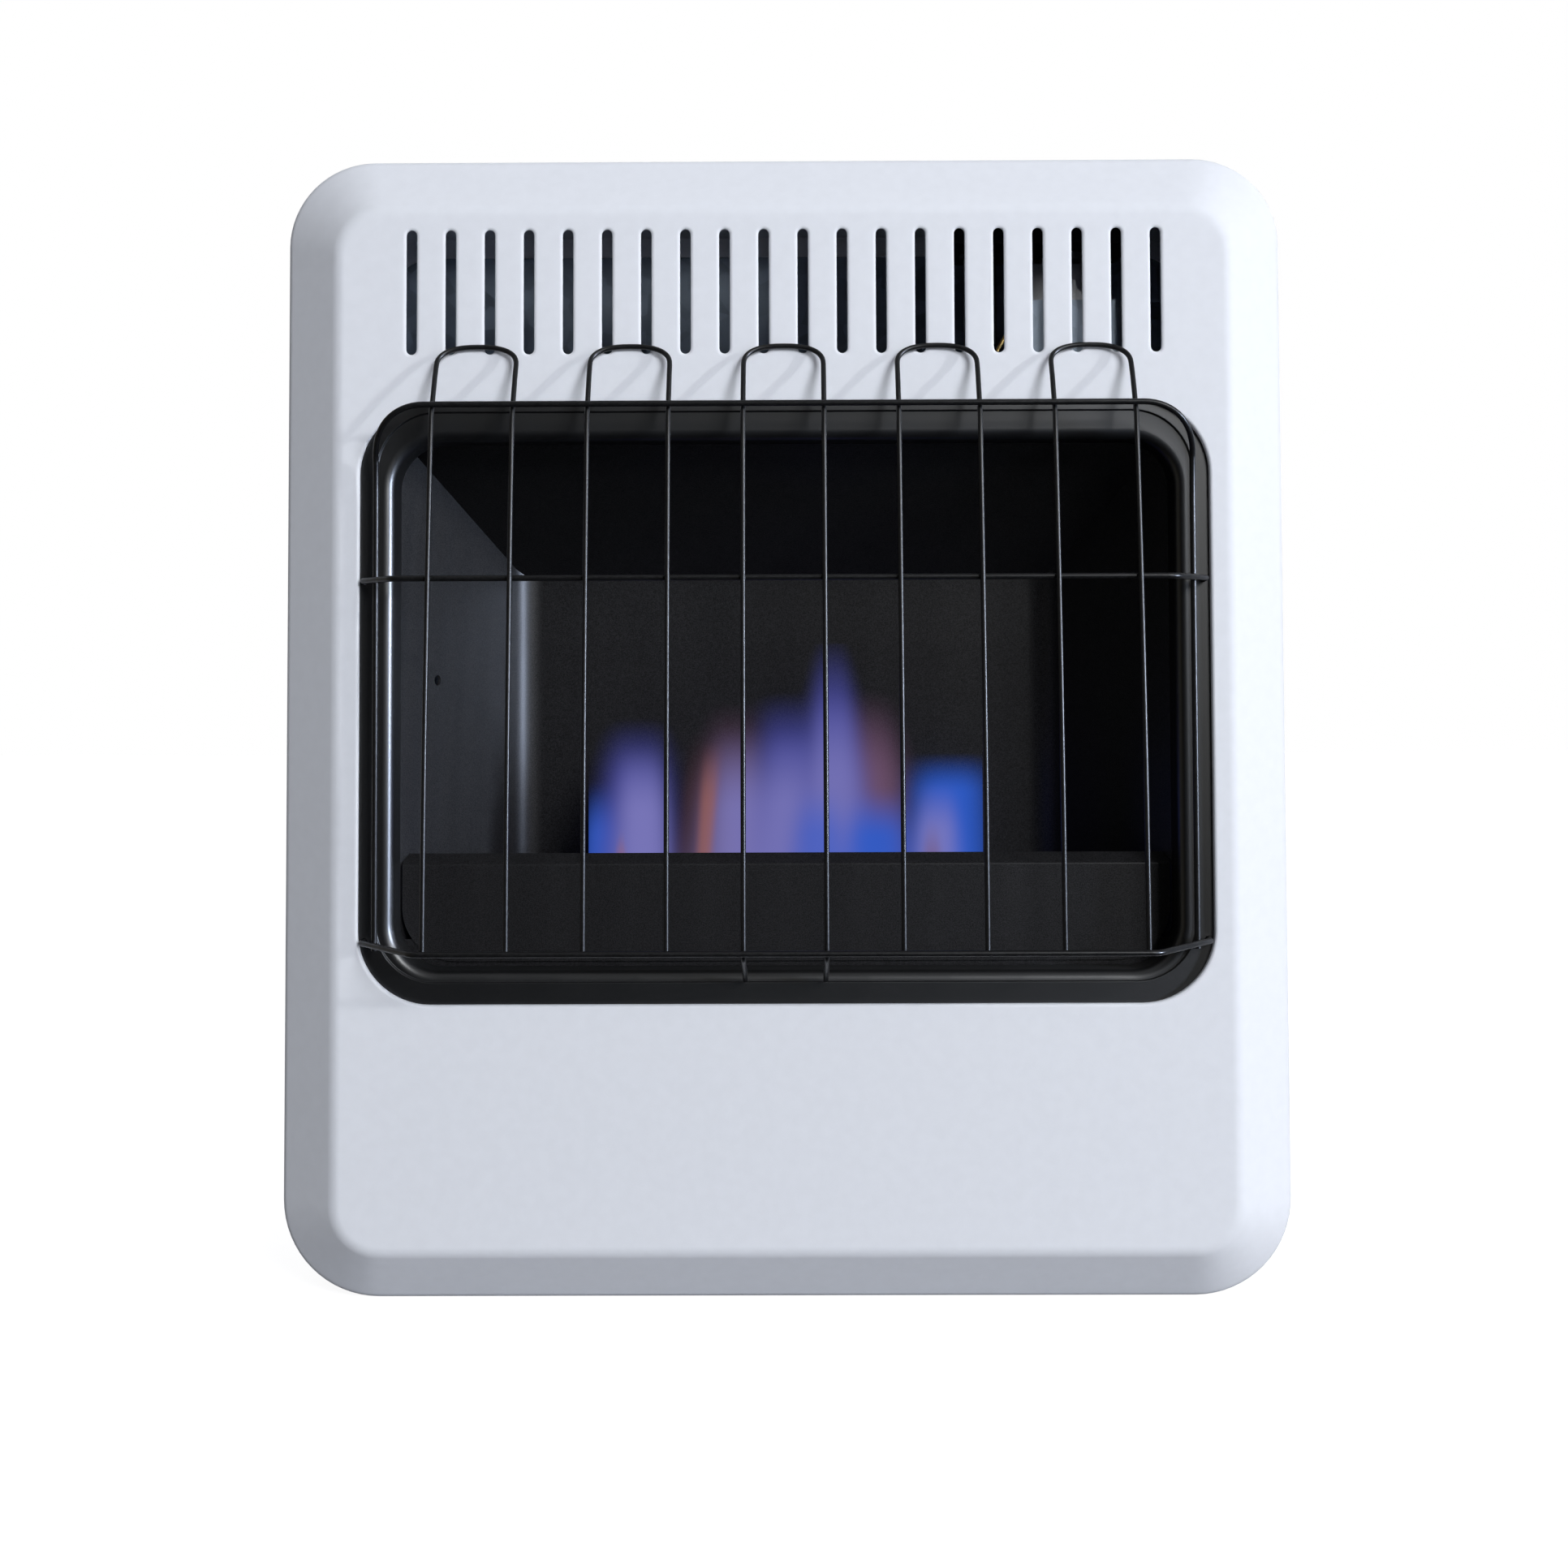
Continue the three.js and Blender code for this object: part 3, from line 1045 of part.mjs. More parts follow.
// A block that fills the firebox from wall to wall between two depths, but for a seating gap
function fireboxRoom(near, far, foot, top) {
  const inside = offsetPath(linerPath(), -SEAT_GAP).slice(1, -1);
  return common(plateUp(new THREE.Shape(inside), foot, top),
    boxAtDepths([-COVER_HALF_WIDTH, COVER_HALF_WIDTH], [near, far], [foot - OVERCUT, top + OVERCUT]));
}

function fireboxFloor() {
  const near = SHIELD_DEPTH + SHIELD_SHEET + SEAT_GAP;
  const foot = FLOOR_HEIGHT - FLOOR_SHEET;
  const plate = fireboxRoom(near, LINER_BACK_DEPTH, foot, FLOOR_HEIGHT);
  const flange = fireboxRoom(near, near + FLOOR_SHEET, foot, foot + FLOOR_FLANGE);
  const vents = Array.from({ length: FLOOR_VENT_COUNT }, (_, index) => {
    const middle = (index - (FLOOR_VENT_COUNT - 1) / 2) * FLOOR_VENT_PITCH;
    return boxAtDepths([middle - FLOOR_VENT_WIDTH / 2, middle + FLOOR_VENT_WIDTH / 2],
      [FLOOR_VENT_DEPTH - FLOOR_VENT_LENGTH / 2, FLOOR_VENT_DEPTH + FLOOR_VENT_LENGTH / 2],
      [foot - OVERCUT, FLOOR_HEIGHT + OVERCUT]);
  });
  const through = [foot - OVERCUT, FLOOR_HEIGHT + OVERCUT];
  const tubeHoles = [
    rodUp(MAIN_TUBE_RADIUS + RUNNING_GAP, ...through, [elbowPlace(), BURNER_DEPTH]),
    rodUp(PILOT_TUBE_RADIUS + RUNNING_GAP, ...through, [PILOT_PLACE, PILOT_DEPTH]),
    rodUp(LEAD_RADIUS + RUNNING_GAP, ...through, [THERMOCOUPLE_PLACE, PILOT_DEPTH]),
    rodUp(IGNITION_WIRE_RADIUS + RUNNING_GAP, ...through, [ELECTRODE_PLACE, PILOT_DEPTH]),
  ];
  return cut(join(plate, flange), ...vents, ...tubeHoles);
}

function burnerShield() {
  const path = bentPath([
    new THREE.Vector2(depthY(SHIELD_DEPTH), SHIELD_FOOT),
    new THREE.Vector2(depthY(SHIELD_DEPTH), SHIELD_FACE_TOP),
    new THREE.Vector2(depthY(SHIELD_DEPTH + SHIELD_CHAMFER_RUN), SHIELD_TOP),
  ], SHIELD_SHEET);
  const sheet = plateAcross(stripShape(path, -SHIELD_SHEET), -SHIELD_HALF_WIDTH, SHIELD_HALF_WIDTH);
  const outline = roundRectangle({
    left: -SHIELD_HALF_WIDTH,
    right: SHIELD_HALF_WIDTH,
    foot: SHIELD_FOOT,
    top: SHIELD_TOP,
    lowerRadius: SHIELD_LOWER_RADIUS,
    upperRadius: SHIELD_UPPER_RADIUS,
  });
  const depths = [SHIELD_DEPTH - OVERCUT, SHIELD_DEPTH + SHIELD_CHAMFER_RUN + OVERCUT];
  const rounded = common(sheet, plateBetweenDepths(new THREE.Shape(outline), ...depths));
  return common(rounded, fireboxRoom(...depths, SHIELD_FOOT - OVERCUT, SHIELD_TOP + OVERCUT));
}

function burnerTube() {
  const axis = [BURNER_DEPTH, BURNER_HEIGHT];
  const shell = rodAcross(BURNER_RADIUS, -BURNER_HALF_LENGTH, BURNER_HALF_LENGTH, axis, ROUND_SIDES);
  const ridgeTop = BURNER_HEIGHT + BURNER_RADIUS + PORT_RIDGE_HEIGHT;
  const ridge = boxAtDepths([-PORT_RIDGE_HALF_LENGTH, PORT_RIDGE_HALF_LENGTH],
    [BURNER_DEPTH - PORT_RIDGE_HALF_WIDTH, BURNER_DEPTH + PORT_RIDGE_HALF_WIDTH], [BURNER_HEIGHT, ridgeTop]);
  const bore = rodAcross(BURNER_RADIUS - BURNER_WALL,
    BURNER_WALL - BURNER_HALF_LENGTH, BURNER_HALF_LENGTH + OVERCUT, axis, ROUND_SIDES);
  const ports = Array.from({ length: PORT_COUNT }, (_, index) => {
    const middle = (index - (PORT_COUNT - 1) / 2) * PORT_PITCH;
    return boxAtDepths([middle - PORT_WIDTH / 2, middle + PORT_WIDTH / 2],
      [BURNER_DEPTH - PORT_HALF_LENGTH, BURNER_DEPTH + PORT_HALF_LENGTH],
      [BURNER_HEIGHT, ridgeTop + OVERCUT]);
  });
  return cut(join(shell, ridge), bore, ...ports);
}

function burnerBracket(x) {
  const upright = boxAtDepths([x, x + BURNER_BRACKET_SHEET],
    [BURNER_DEPTH - BURNER_BRACKET_HALF_WIDTH, BURNER_DEPTH + BURNER_BRACKET_HALF_WIDTH],
    [FLOOR_HEIGHT + SEAT_GAP, BURNER_HEIGHT]);
  const foot = boxAtDepths([x, x + BURNER_FOOT_LENGTH],
    [BURNER_DEPTH - BURNER_BRACKET_HALF_WIDTH, BURNER_DEPTH + BURNER_BRACKET_HALF_WIDTH],
    [FLOOR_HEIGHT + SEAT_GAP, FLOOR_HEIGHT + SEAT_GAP + BURNER_BRACKET_SHEET]);
  const seat = rodAcross(BURNER_RADIUS + SEAT_GAP, x - OVERCUT, x + BURNER_FOOT_LENGTH + OVERCUT,
    [BURNER_DEPTH, BURNER_HEIGHT], ROUND_SIDES);
  return cut(join(upright, foot), seat);
}

// The mixing tube: a collar in the burner's bore, a throat and a flared bell for the air
function burnerVenturi() {
  const collar = BURNER_RADIUS - BURNER_WALL - SEAT_GAP;
  const throat = VENTURI_BORE + VENTURI_WALL;
  const start = BURNER_HALF_LENGTH - VENTURI_INSERTION;
  const bell = VENTURI_END - VENTURI_BELL_LENGTH;
  return turnedAcross([
    [VENTURI_BORE, start],
    [collar, start],
    [collar, BURNER_HALF_LENGTH],
    [throat, BURNER_HALF_LENGTH + VENTURI_WALL],
    [throat, bell],
    [VENTURI_BELL_RADIUS, VENTURI_END],
    [VENTURI_BELL_RADIUS - VENTURI_WALL, VENTURI_END],
    [VENTURI_BORE, bell],
    [VENTURI_BORE, start],
  ], [BURNER_DEPTH, BURNER_HEIGHT]);
}

function injector() {
  const axis = [BURNER_DEPTH, BURNER_HEIGHT];
  const hexEnd = INJECTOR_BRACKET_PLACE - SEAT_GAP;
  const barrel = rodAcross(INJECTOR_RADIUS, INJECTOR_TIP, INJECTOR_END, axis);
  const hex = rodAcross(INJECTOR_HEX_RADIUS, hexEnd - INJECTOR_HEX_LENGTH, hexEnd, axis, HEX_SIDES);
  const orifice = rodAcross(INJECTOR_ORIFICE, INJECTOR_TIP - OVERCUT, INJECTOR_TIP + INJECTOR_ORIFICE_LENGTH,
    axis, WIRE_SIDES);
  return cut(join(barrel, hex), orifice);
}

function injectorBracket() {
  const depths = [BURNER_DEPTH - INJECTOR_BRACKET_HALF_WIDTH, BURNER_DEPTH + INJECTOR_BRACKET_HALF_WIDTH];
  const seat = FLOOR_HEIGHT + SEAT_GAP;
  const back = INJECTOR_BRACKET_PLACE + INJECTOR_BRACKET_SHEET;
  const upright = boxAtDepths([INJECTOR_BRACKET_PLACE, back], depths, [seat, INJECTOR_BRACKET_TOP]);
  const foot = boxAtDepths([back - INJECTOR_FOOT_LENGTH, back], depths,
    [seat, seat + INJECTOR_BRACKET_SHEET]);
  const hole = rodAcross(INJECTOR_RADIUS + SEAT_GAP, INJECTOR_BRACKET_PLACE - OVERCUT, back + OVERCUT,
    [BURNER_DEPTH, BURNER_HEIGHT]);
  return cut(join(upright, foot), hole);
}

// X of the elbow that brings the gas to the injector
function elbowPlace() {
  return INJECTOR_BRACKET_PLACE + INJECTOR_BRACKET_SHEET + SEAT_GAP + ELBOW_BODY_LENGTH / 2;
}

function elbowFoot() {
  return BURNER_HEIGHT - ELBOW_BODY_RADIUS - ELBOW_NECK_LENGTH;
}

function injectorElbow() {
  const middle = elbowPlace();
  const body = rodAcross(ELBOW_BODY_RADIUS, middle - ELBOW_BODY_LENGTH / 2, middle + ELBOW_BODY_LENGTH / 2,
    [BURNER_DEPTH, BURNER_HEIGHT]);
  const neck = rodUp(ELBOW_NECK_RADIUS, elbowFoot(), BURNER_HEIGHT, [middle, BURNER_DEPTH]);
  const socket = rodAcross(INJECTOR_RADIUS + SEAT_GAP, middle - ELBOW_BODY_LENGTH, INJECTOR_END + SEAT_GAP,
    [BURNER_DEPTH, BURNER_HEIGHT]);
  return cut(join(body, neck), socket);
}

function pilotBracket() {
  const depths = [PILOT_DEPTH - PILOT_BRACKET_HALF_WIDTH, PILOT_DEPTH + PILOT_BRACKET_HALF_WIDTH];
  const seat = FLOOR_HEIGHT + SEAT_GAP;
  const top = boxAtDepths([PILOT_BRACKET_LEFT, PILOT_BRACKET_RIGHT], depths,
    [PILOT_BRACKET_TOP - PILOT_BRACKET_SHEET, PILOT_BRACKET_TOP]);
  const leg = boxAtDepths([PILOT_BRACKET_LEFT, PILOT_BRACKET_LEFT + PILOT_BRACKET_SHEET], depths,
    [seat, PILOT_BRACKET_TOP]);
  const foot = boxAtDepths([PILOT_BRACKET_LEFT - PILOT_FOOT_LENGTH, PILOT_BRACKET_LEFT + PILOT_BRACKET_SHEET],
    depths, [seat, seat + PILOT_BRACKET_SHEET]);
  const through = [PILOT_BRACKET_TOP - PILOT_BRACKET_SHEET - OVERCUT, PILOT_BRACKET_TOP + OVERCUT];
  const holes = [
    rodUp(PILOT_RADIUS + SEAT_GAP, ...through, [PILOT_PLACE, PILOT_DEPTH]),
    rodUp(THERMOCOUPLE_RADIUS + SEAT_GAP, ...through, [THERMOCOUPLE_PLACE, PILOT_DEPTH]),
    rodUp(ELECTRODE_RADIUS + SEAT_GAP, ...through, [ELECTRODE_PLACE, PILOT_DEPTH]),
  ];
  return cut(join(top, leg, foot), ...holes);
}

function pilotBurner() {
  const hoodFoot = PILOT_HOOD_TOP - PILOT_HOOD_HEIGHT;
  const body = turned([
    [0, PILOT_FOOT],
    [PILOT_RADIUS, PILOT_FOOT],
    [PILOT_RADIUS, hoodFoot],
    [PILOT_HOOD_RADIUS, hoodFoot],
    [PILOT_HOOD_RADIUS, PILOT_HOOD_TOP],
    [0, PILOT_HOOD_TOP],
  ], [PILOT_PLACE, PILOT_DEPTH], SMALL_ROUND_SIDES);
  const windowFoot = hoodFoot + PILOT_WINDOW_HEIGHT / 2;
  const window = boxAtDepths([PILOT_PLACE - PILOT_RADIUS / 2, PILOT_PLACE + PILOT_RADIUS / 2],
    [PILOT_DEPTH, PILOT_DEPTH + 2 * PILOT_HOOD_RADIUS], [windowFoot, windowFoot + PILOT_WINDOW_HEIGHT]);
  return cut(body, window);
}

function thermocoupleProbe() {
  const collarFoot = PILOT_BRACKET_TOP + SEAT_GAP;
  return turned([
    [0, THERMOCOUPLE_FOOT],
    [THERMOCOUPLE_RADIUS, THERMOCOUPLE_FOOT],
    [THERMOCOUPLE_RADIUS, collarFoot],
    [THERMOCOUPLE_COLLAR_RADIUS, collarFoot],
    [THERMOCOUPLE_COLLAR_RADIUS, collarFoot + THERMOCOUPLE_COLLAR_HEIGHT],
    [THERMOCOUPLE_RADIUS, collarFoot + THERMOCOUPLE_COLLAR_HEIGHT],
    [THERMOCOUPLE_RADIUS, THERMOCOUPLE_TOP - THERMOCOUPLE_RADIUS],
    [THERMOCOUPLE_RADIUS / 2, THERMOCOUPLE_TOP],
    [0, THERMOCOUPLE_TOP],
  ], [THERMOCOUPLE_PLACE, PILOT_DEPTH], SMALL_ROUND_SIDES);
}

function electrodeInsulator() {
  const rod = rodUp(ELECTRODE_RADIUS, ELECTRODE_FOOT, ELECTRODE_TOP, [ELECTRODE_PLACE, PILOT_DEPTH]);
  const bore = rodUp(ELECTRODE_WIRE_RADIUS + SEAT_GAP, ELECTRODE_TOP - ELECTRODE_WIRE_RISE,
    ELECTRODE_TOP + OVERCUT, [ELECTRODE_PLACE, PILOT_DEPTH], WIRE_SIDES);
  return cut(rod, bore);
}

// The spark tip rises from the insulator and leans towards the pilot's hood
function electrodeTip() {
  const foot = ELECTRODE_TOP - ELECTRODE_WIRE_RISE + SEAT_GAP;
  const top = ELECTRODE_TOP + ELECTRODE_WIRE_RISE / 2;
  return tube([
    [ELECTRODE_PLACE, PILOT_DEPTH, foot],
    [ELECTRODE_PLACE, PILOT_DEPTH, top],
    [ELECTRODE_PLACE - ELECTRODE_WIRE_REACH, PILOT_DEPTH, top],
  ], ELECTRODE_WIRE_RADIUS, 2 * ELECTRODE_WIRE_RADIUS);
}

// The well's outline in X and Y, drawn in or grown by an inset
function wellOutline(inset) {
  return roundRectangle({
    left: WELL_LEFT + inset,
    right: WELL_RIGHT - inset,
    foot: depthY(WELL_FRONT_DEPTH) + inset,
    top: depthY(WELL_BACK_DEPTH) - inset,
    lowerRadius: WELL_CORNER_RADIUS - inset,
    upperRadius: WELL_CORNER_RADIUS - inset,
  });
}

function wellRing(inset, z) {
  return wellOutline(inset).map(({ x, y }) => new THREE.Vector3(x, y, z));
}

function controlWell() {
  const rimTop = DECK_UNDERSIDE - SEAT_GAP;
  const block = loft([
    wellRing(WELL_DRAFT - WELL_SHEET, WELL_FLOOR_TOP - WELL_SHEET),
    wellRing(-WELL_SHEET, rimTop),
  ]);
  const hollow = loft([
    wellRing(WELL_DRAFT, WELL_FLOOR_TOP),
    wellRing(0, rimTop),
    wellRing(0, rimTop + OVERCUT),
  ]);
  const rim = plateUp(new THREE.Shape(wellOutline(-WELL_RIM)), rimTop - WELL_SHEET, rimTop);
  const floor = [WELL_FLOOR_TOP - WELL_SHEET - OVERCUT, WELL_FLOOR_TOP + OVERCUT];
  const neckHole = rodUp(VALVE_NECK_RADIUS + RUNNING_GAP, ...floor, VALVE_AXIS, ROUND_SIDES);
  const igniterHole = rodUp(IGNITER_BODY_RADIUS + SEAT_GAP, ...floor, IGNITER_AXIS, ROUND_SIDES);
  return cut(join(block, rim), hollow, neckHole, igniterHole);
}

// Places of the ports under the valve, as [x, depth]
const MAIN_PORT = [VALVE_PLACE - VALVE_HALF_WIDTH / 2, BURNER_DEPTH];
const PILOT_PORT = [VALVE_PLACE, VALVE_DEPTH - VALVE_HALF_DEPTH - PILOT_TUBE_RADIUS / 2 + VALVE_CHAMFER];
const THERMOCOUPLE_PORT = [VALVE_PLACE, VALVE_DEPTH + VALVE_HALF_DEPTH - VALVE_CHAMFER - LEAD_RADIUS];
const INLET_PORT = [VALVE_PLACE + VALVE_HALF_WIDTH / 2, VALVE_DEPTH];

function valvePorts() {
  return [
    { place: MAIN_PORT, radius: MAIN_TUBE_RADIUS + VALVE_PORT_WALL },
    { place: PILOT_PORT, radius: PILOT_TUBE_RADIUS + VALVE_PORT_WALL },
    { place: THERMOCOUPLE_PORT, radius: LEAD_RADIUS + VALVE_PORT_WALL },
    { place: INLET_PORT, radius: INLET_TUBE_RADIUS + VALVE_PORT_WALL },
  ];
}

function thermostatEnd() {
  return VALVE_PLACE - VALVE_HALF_WIDTH - THERMOSTAT_LENGTH;
}

function gasValveBody() {
  const low = VALVE_FOOT;
  const high = VALVE_FOOT + VALVE_HEIGHT;
  const ring = (inset, z) => [[1, -1], [1, 1], [-1, 1], [-1, -1]].map(([sideX, sideY]) => new THREE.Vector3(
    VALVE_PLACE + sideX * (VALVE_HALF_WIDTH - inset),
    depthY(VALVE_DEPTH) + sideY * (VALVE_HALF_DEPTH - inset), z));
  const block = loft([ring(0, low), ring(0, high - VALVE_CHAMFER), ring(VALVE_CHAMFER, high)]);
  const neck = rodUp(VALVE_NECK_RADIUS, low, VALVE_NECK_TOP, VALVE_AXIS, ROUND_SIDES);
  const middle = (low + high) / 2;
  const thermostat = rodAcross(THERMOSTAT_RADIUS, thermostatEnd(), VALVE_PLACE, [VALVE_DEPTH, middle]);
  const capFront = VALVE_DEPTH - VALVE_HALF_DEPTH - REGULATING_CAP_LENGTH;
  const cap = rodBack(REGULATING_CAP_RADIUS, capFront, VALVE_DEPTH,
    [VALVE_PLACE + VALVE_HALF_WIDTH / 2, middle]);
  const ports = valvePorts().map(({ place, radius }) => rodUp(radius, low - VALVE_PORT_DROP, middle, place));
  const bore = rodUp(STEM_RADIUS + RUNNING_GAP, VALVE_NECK_TOP - VALVE_BORE_DEPTH, VALVE_NECK_TOP + OVERCUT,
    VALVE_AXIS, ROUND_SIDES);
  return cut(join(block, neck, thermostat, cap, ...ports), bore);
}

// A shelf under the valve, fixed to the cabinet's right wall, with an apron at its front
function valveBracket() {
  const wall = WALL_INNER_X - SEAT_GAP;
  const shelf = boxAtDepths([SHELF_LEFT, wall], [SHELF_FRONT_DEPTH, SHELF_BACK_DEPTH],
    [SHELF_TOP - SHELF_SHEET, SHELF_TOP]);
  const tab = boxAtDepths([wall - SHELF_SHEET, wall], [SHELF_FRONT_DEPTH, SHELF_BACK_DEPTH],
    [SHELF_TOP - SHELF_TAB_DROP, SHELF_TOP]);
  const apron = boxAtDepths([APRON_LEFT, APRON_RIGHT], [SHELF_FRONT_DEPTH, SHELF_FRONT_DEPTH + SHELF_SHEET],
    [APRON_FOOT, SHELF_TOP]);
  const holes = valvePorts().map(({ place, radius }) =>
    rodUp(radius + RUNNING_GAP, SHELF_TOP - SHELF_SHEET - OVERCUT, SHELF_TOP + OVERCUT, place));
  return cut(join(shelf, tab, apron), ...holes);
}

// The stem turns in the valve and goes down with the knob; a flat keys it to the knob's hub
function valveStem() {
  const stem = rodUp(STEM_RADIUS, STEM_FOOT, STEM_TOP, VALVE_AXIS, ROUND_SIDES);
  const flat = boxAtDepths([VALVE_PLACE - 2 * STEM_RADIUS, VALVE_PLACE + 2 * STEM_RADIUS],
    [VALVE_DEPTH + STEM_FLAT, VALVE_DEPTH + 2 * STEM_RADIUS], [KNOB_FOOT, STEM_TOP + OVERCUT]);
  return cut(stem, flat);
}

// The washer between the valve's neck and the knob's hub
function thrustWasher() {
  const top = thrustWasherTop();
  const inner = STEM_RADIUS + RUNNING_GAP;
  return turned([
    [inner, top - THRUST_WASHER_THICKNESS],
    [THRUST_WASHER_RADIUS, top - THRUST_WASHER_THICKNESS],
    [THRUST_WASHER_RADIUS, top],
    [inner, top],
    [inner, top - THRUST_WASHER_THICKNESS],
  ], VALVE_AXIS);
}

function thrustWasherTop() {
  return VALVE_NECK_TOP + KNOB_PUSH + RUNNING_GAP + THRUST_WASHER_THICKNESS;
}

// A fluted knob over a skirt, hollow below, with a hub on the stem and a raised pointer
function controlKnob() {
  const top = KNOB_FOOT + KNOB_HEIGHT;
  const skirtTop = KNOB_FOOT + KNOB_SKIRT_HEIGHT;
  const body = turned([
    [0, KNOB_FOOT],
    [KNOB_RADIUS, KNOB_FOOT],
    [KNOB_RADIUS, skirtTop - KNOB_EDGE],
    [KNOB_RADIUS - KNOB_EDGE, skirtTop],
    [KNOB_GRIP_RADIUS, skirtTop],
    [KNOB_GRIP_RADIUS - KNOB_EDGE, top - KNOB_EDGE],
    [KNOB_GRIP_RADIUS - 2 * KNOB_EDGE, top],
    [0, top],
  ], VALVE_AXIS);
  const flutes = Array.from({ length: KNOB_FLUTE_COUNT }, (_, index) => {
    const angle = 2 * Math.PI * (index + 0.5) / KNOB_FLUTE_COUNT;
    const reach = KNOB_GRIP_RADIUS + KNOB_FLUTE_RADIUS / 2;
    return rodUp(KNOB_FLUTE_RADIUS, skirtTop, top + OVERCUT,
      [VALVE_PLACE + reach * Math.cos(angle), VALVE_DEPTH + reach * Math.sin(angle)], WIRE_SIDES);
  });
  const hubFoot = thrustWasherTop() + SEAT_GAP;
  const hollow = turned([
    [KNOB_HUB_RADIUS, KNOB_FOOT - OVERCUT],
    [KNOB_GRIP_RADIUS - KNOB_FLUTE_RADIUS - KNOB_SHELL / 2, KNOB_FOOT - OVERCUT],
    [KNOB_GRIP_RADIUS - KNOB_FLUTE_RADIUS - KNOB_SHELL / 2, top - 2 * KNOB_SHELL],
    [KNOB_HUB_RADIUS, top - 2 * KNOB_SHELL],
    [KNOB_HUB_RADIUS, KNOB_FOOT - OVERCUT],
  ], VALVE_AXIS);
  const under = KNOB_FOOT - OVERCUT;
  const washerRoom = rodUp(KNOB_HUB_RADIUS + SEAT_GAP, under, hubFoot, VALVE_AXIS, ROUND_SIDES);
  const socket = rodUp(STEM_RADIUS + SEAT_GAP, under, STEM_TOP + SEAT_GAP, VALVE_AXIS, ROUND_SIDES);
  const key = boxAtDepths([VALVE_PLACE - 2 * STEM_RADIUS, VALVE_PLACE + 2 * STEM_RADIUS],
    [VALVE_DEPTH + STEM_FLAT + SEAT_GAP, VALVE_DEPTH + 2 * STEM_RADIUS], [hubFoot, STEM_TOP + OVERCUT]);
  const pointer = boxAtDepths([VALVE_PLACE - KNOB_POINTER_WIDTH / 2, VALVE_PLACE + KNOB_POINTER_WIDTH / 2],
    [VALVE_DEPTH - KNOB_GRIP_RADIUS, VALVE_DEPTH], [skirtTop, top + KNOB_POINTER_WIDTH / 2]);
  const keyedSocket = cut(socket, key);
  return cut(join(cut(body, ...flutes), pointer), hollow, washerRoom, keyedSocket);
}

function igniterBody() {
  const floor = IGNITER_FLOOR_UNDERSIDE;
  const body = turned([
    [0, IGNITER_FOOT],
    [IGNITER_BODY_RADIUS, IGNITER_FOOT],
    [IGNITER_BODY_RADIUS, floor - SEAT_GAP - IGNITER_COLLAR_HEIGHT],
    [IGNITER_COLLAR_RADIUS, floor - SEAT_GAP - IGNITER_COLLAR_HEIGHT],
    [IGNITER_COLLAR_RADIUS, floor - SEAT_GAP],
    [IGNITER_BODY_RADIUS, floor - SEAT_GAP],
    [IGNITER_BODY_RADIUS, IGNITER_THREAD_TOP],
    [0, IGNITER_THREAD_TOP],
  ], IGNITER_AXIS);
  const bore = rodUp(BUTTON_RADIUS + RUNNING_GAP, IGNITER_THREAD_TOP - IGNITER_BORE_DEPTH - BUTTON_TRAVEL,
    IGNITER_THREAD_TOP + OVERCUT, IGNITER_AXIS, ROUND_SIDES);
  return cut(body, bore);
}

function igniterNut() {
  const foot = WELL_FLOOR_TOP + SEAT_GAP;
  const hex = rodUp(IGNITER_NUT_RADIUS, foot, foot + IGNITER_NUT_HEIGHT, IGNITER_AXIS,
    HEX_SIDES);
  const hole = rodUp(IGNITER_BODY_RADIUS + SEAT_GAP, foot - OVERCUT, foot + IGNITER_NUT_HEIGHT + OVERCUT,
    IGNITER_AXIS, ROUND_SIDES);
  return cut(hex, hole);
}

function igniterButton() {
  const top = IGNITER_THREAD_TOP + BUTTON_STAND;
  return turned([
    [0, top - BUTTON_HEIGHT],
    [BUTTON_RADIUS, top - BUTTON_HEIGHT],
    [BUTTON_RADIUS, top - BUTTON_EDGE],
    [BUTTON_RADIUS - BUTTON_EDGE, top],
    [0, top - BUTTON_EDGE / 2],
  ], IGNITER_AXIS);
}

// Each tube and lead leaves the valve or igniter, goes down beside the firebox and comes up to its end
const MAIN_TUBE_ROUTE = [
  [...MAIN_PORT, PORT_FOOT],
  [...MAIN_PORT, MAIN_TUBE_UPPER_LEVEL],
  [MAIN_TUBE_SIDE, BURNER_DEPTH, MAIN_TUBE_UPPER_LEVEL],
  [MAIN_TUBE_SIDE, BURNER_DEPTH, MAIN_TUBE_LOWER_LEVEL],
  [elbowPlace(), BURNER_DEPTH, MAIN_TUBE_LOWER_LEVEL],
  [elbowPlace(), BURNER_DEPTH, elbowFoot() - SEAT_GAP],
];
const PILOT_TUBE_ROUTE = [
  [...PILOT_PORT, PORT_FOOT],
  [...PILOT_PORT, PILOT_TUBE_UPPER_LEVEL],
  [PILOT_TUBE_SIDE, PILOT_PORT[1], PILOT_TUBE_UPPER_LEVEL],
  [PILOT_TUBE_SIDE, PILOT_PORT[1], PILOT_TUBE_LOWER_LEVEL],
  [PILOT_PLACE, PILOT_PORT[1], PILOT_TUBE_LOWER_LEVEL],
  [PILOT_PLACE, PILOT_DEPTH, PILOT_TUBE_LOWER_LEVEL + RISER_SLOPE_HEIGHT],
  [PILOT_PLACE, PILOT_DEPTH, PILOT_FOOT - SEAT_GAP],
];
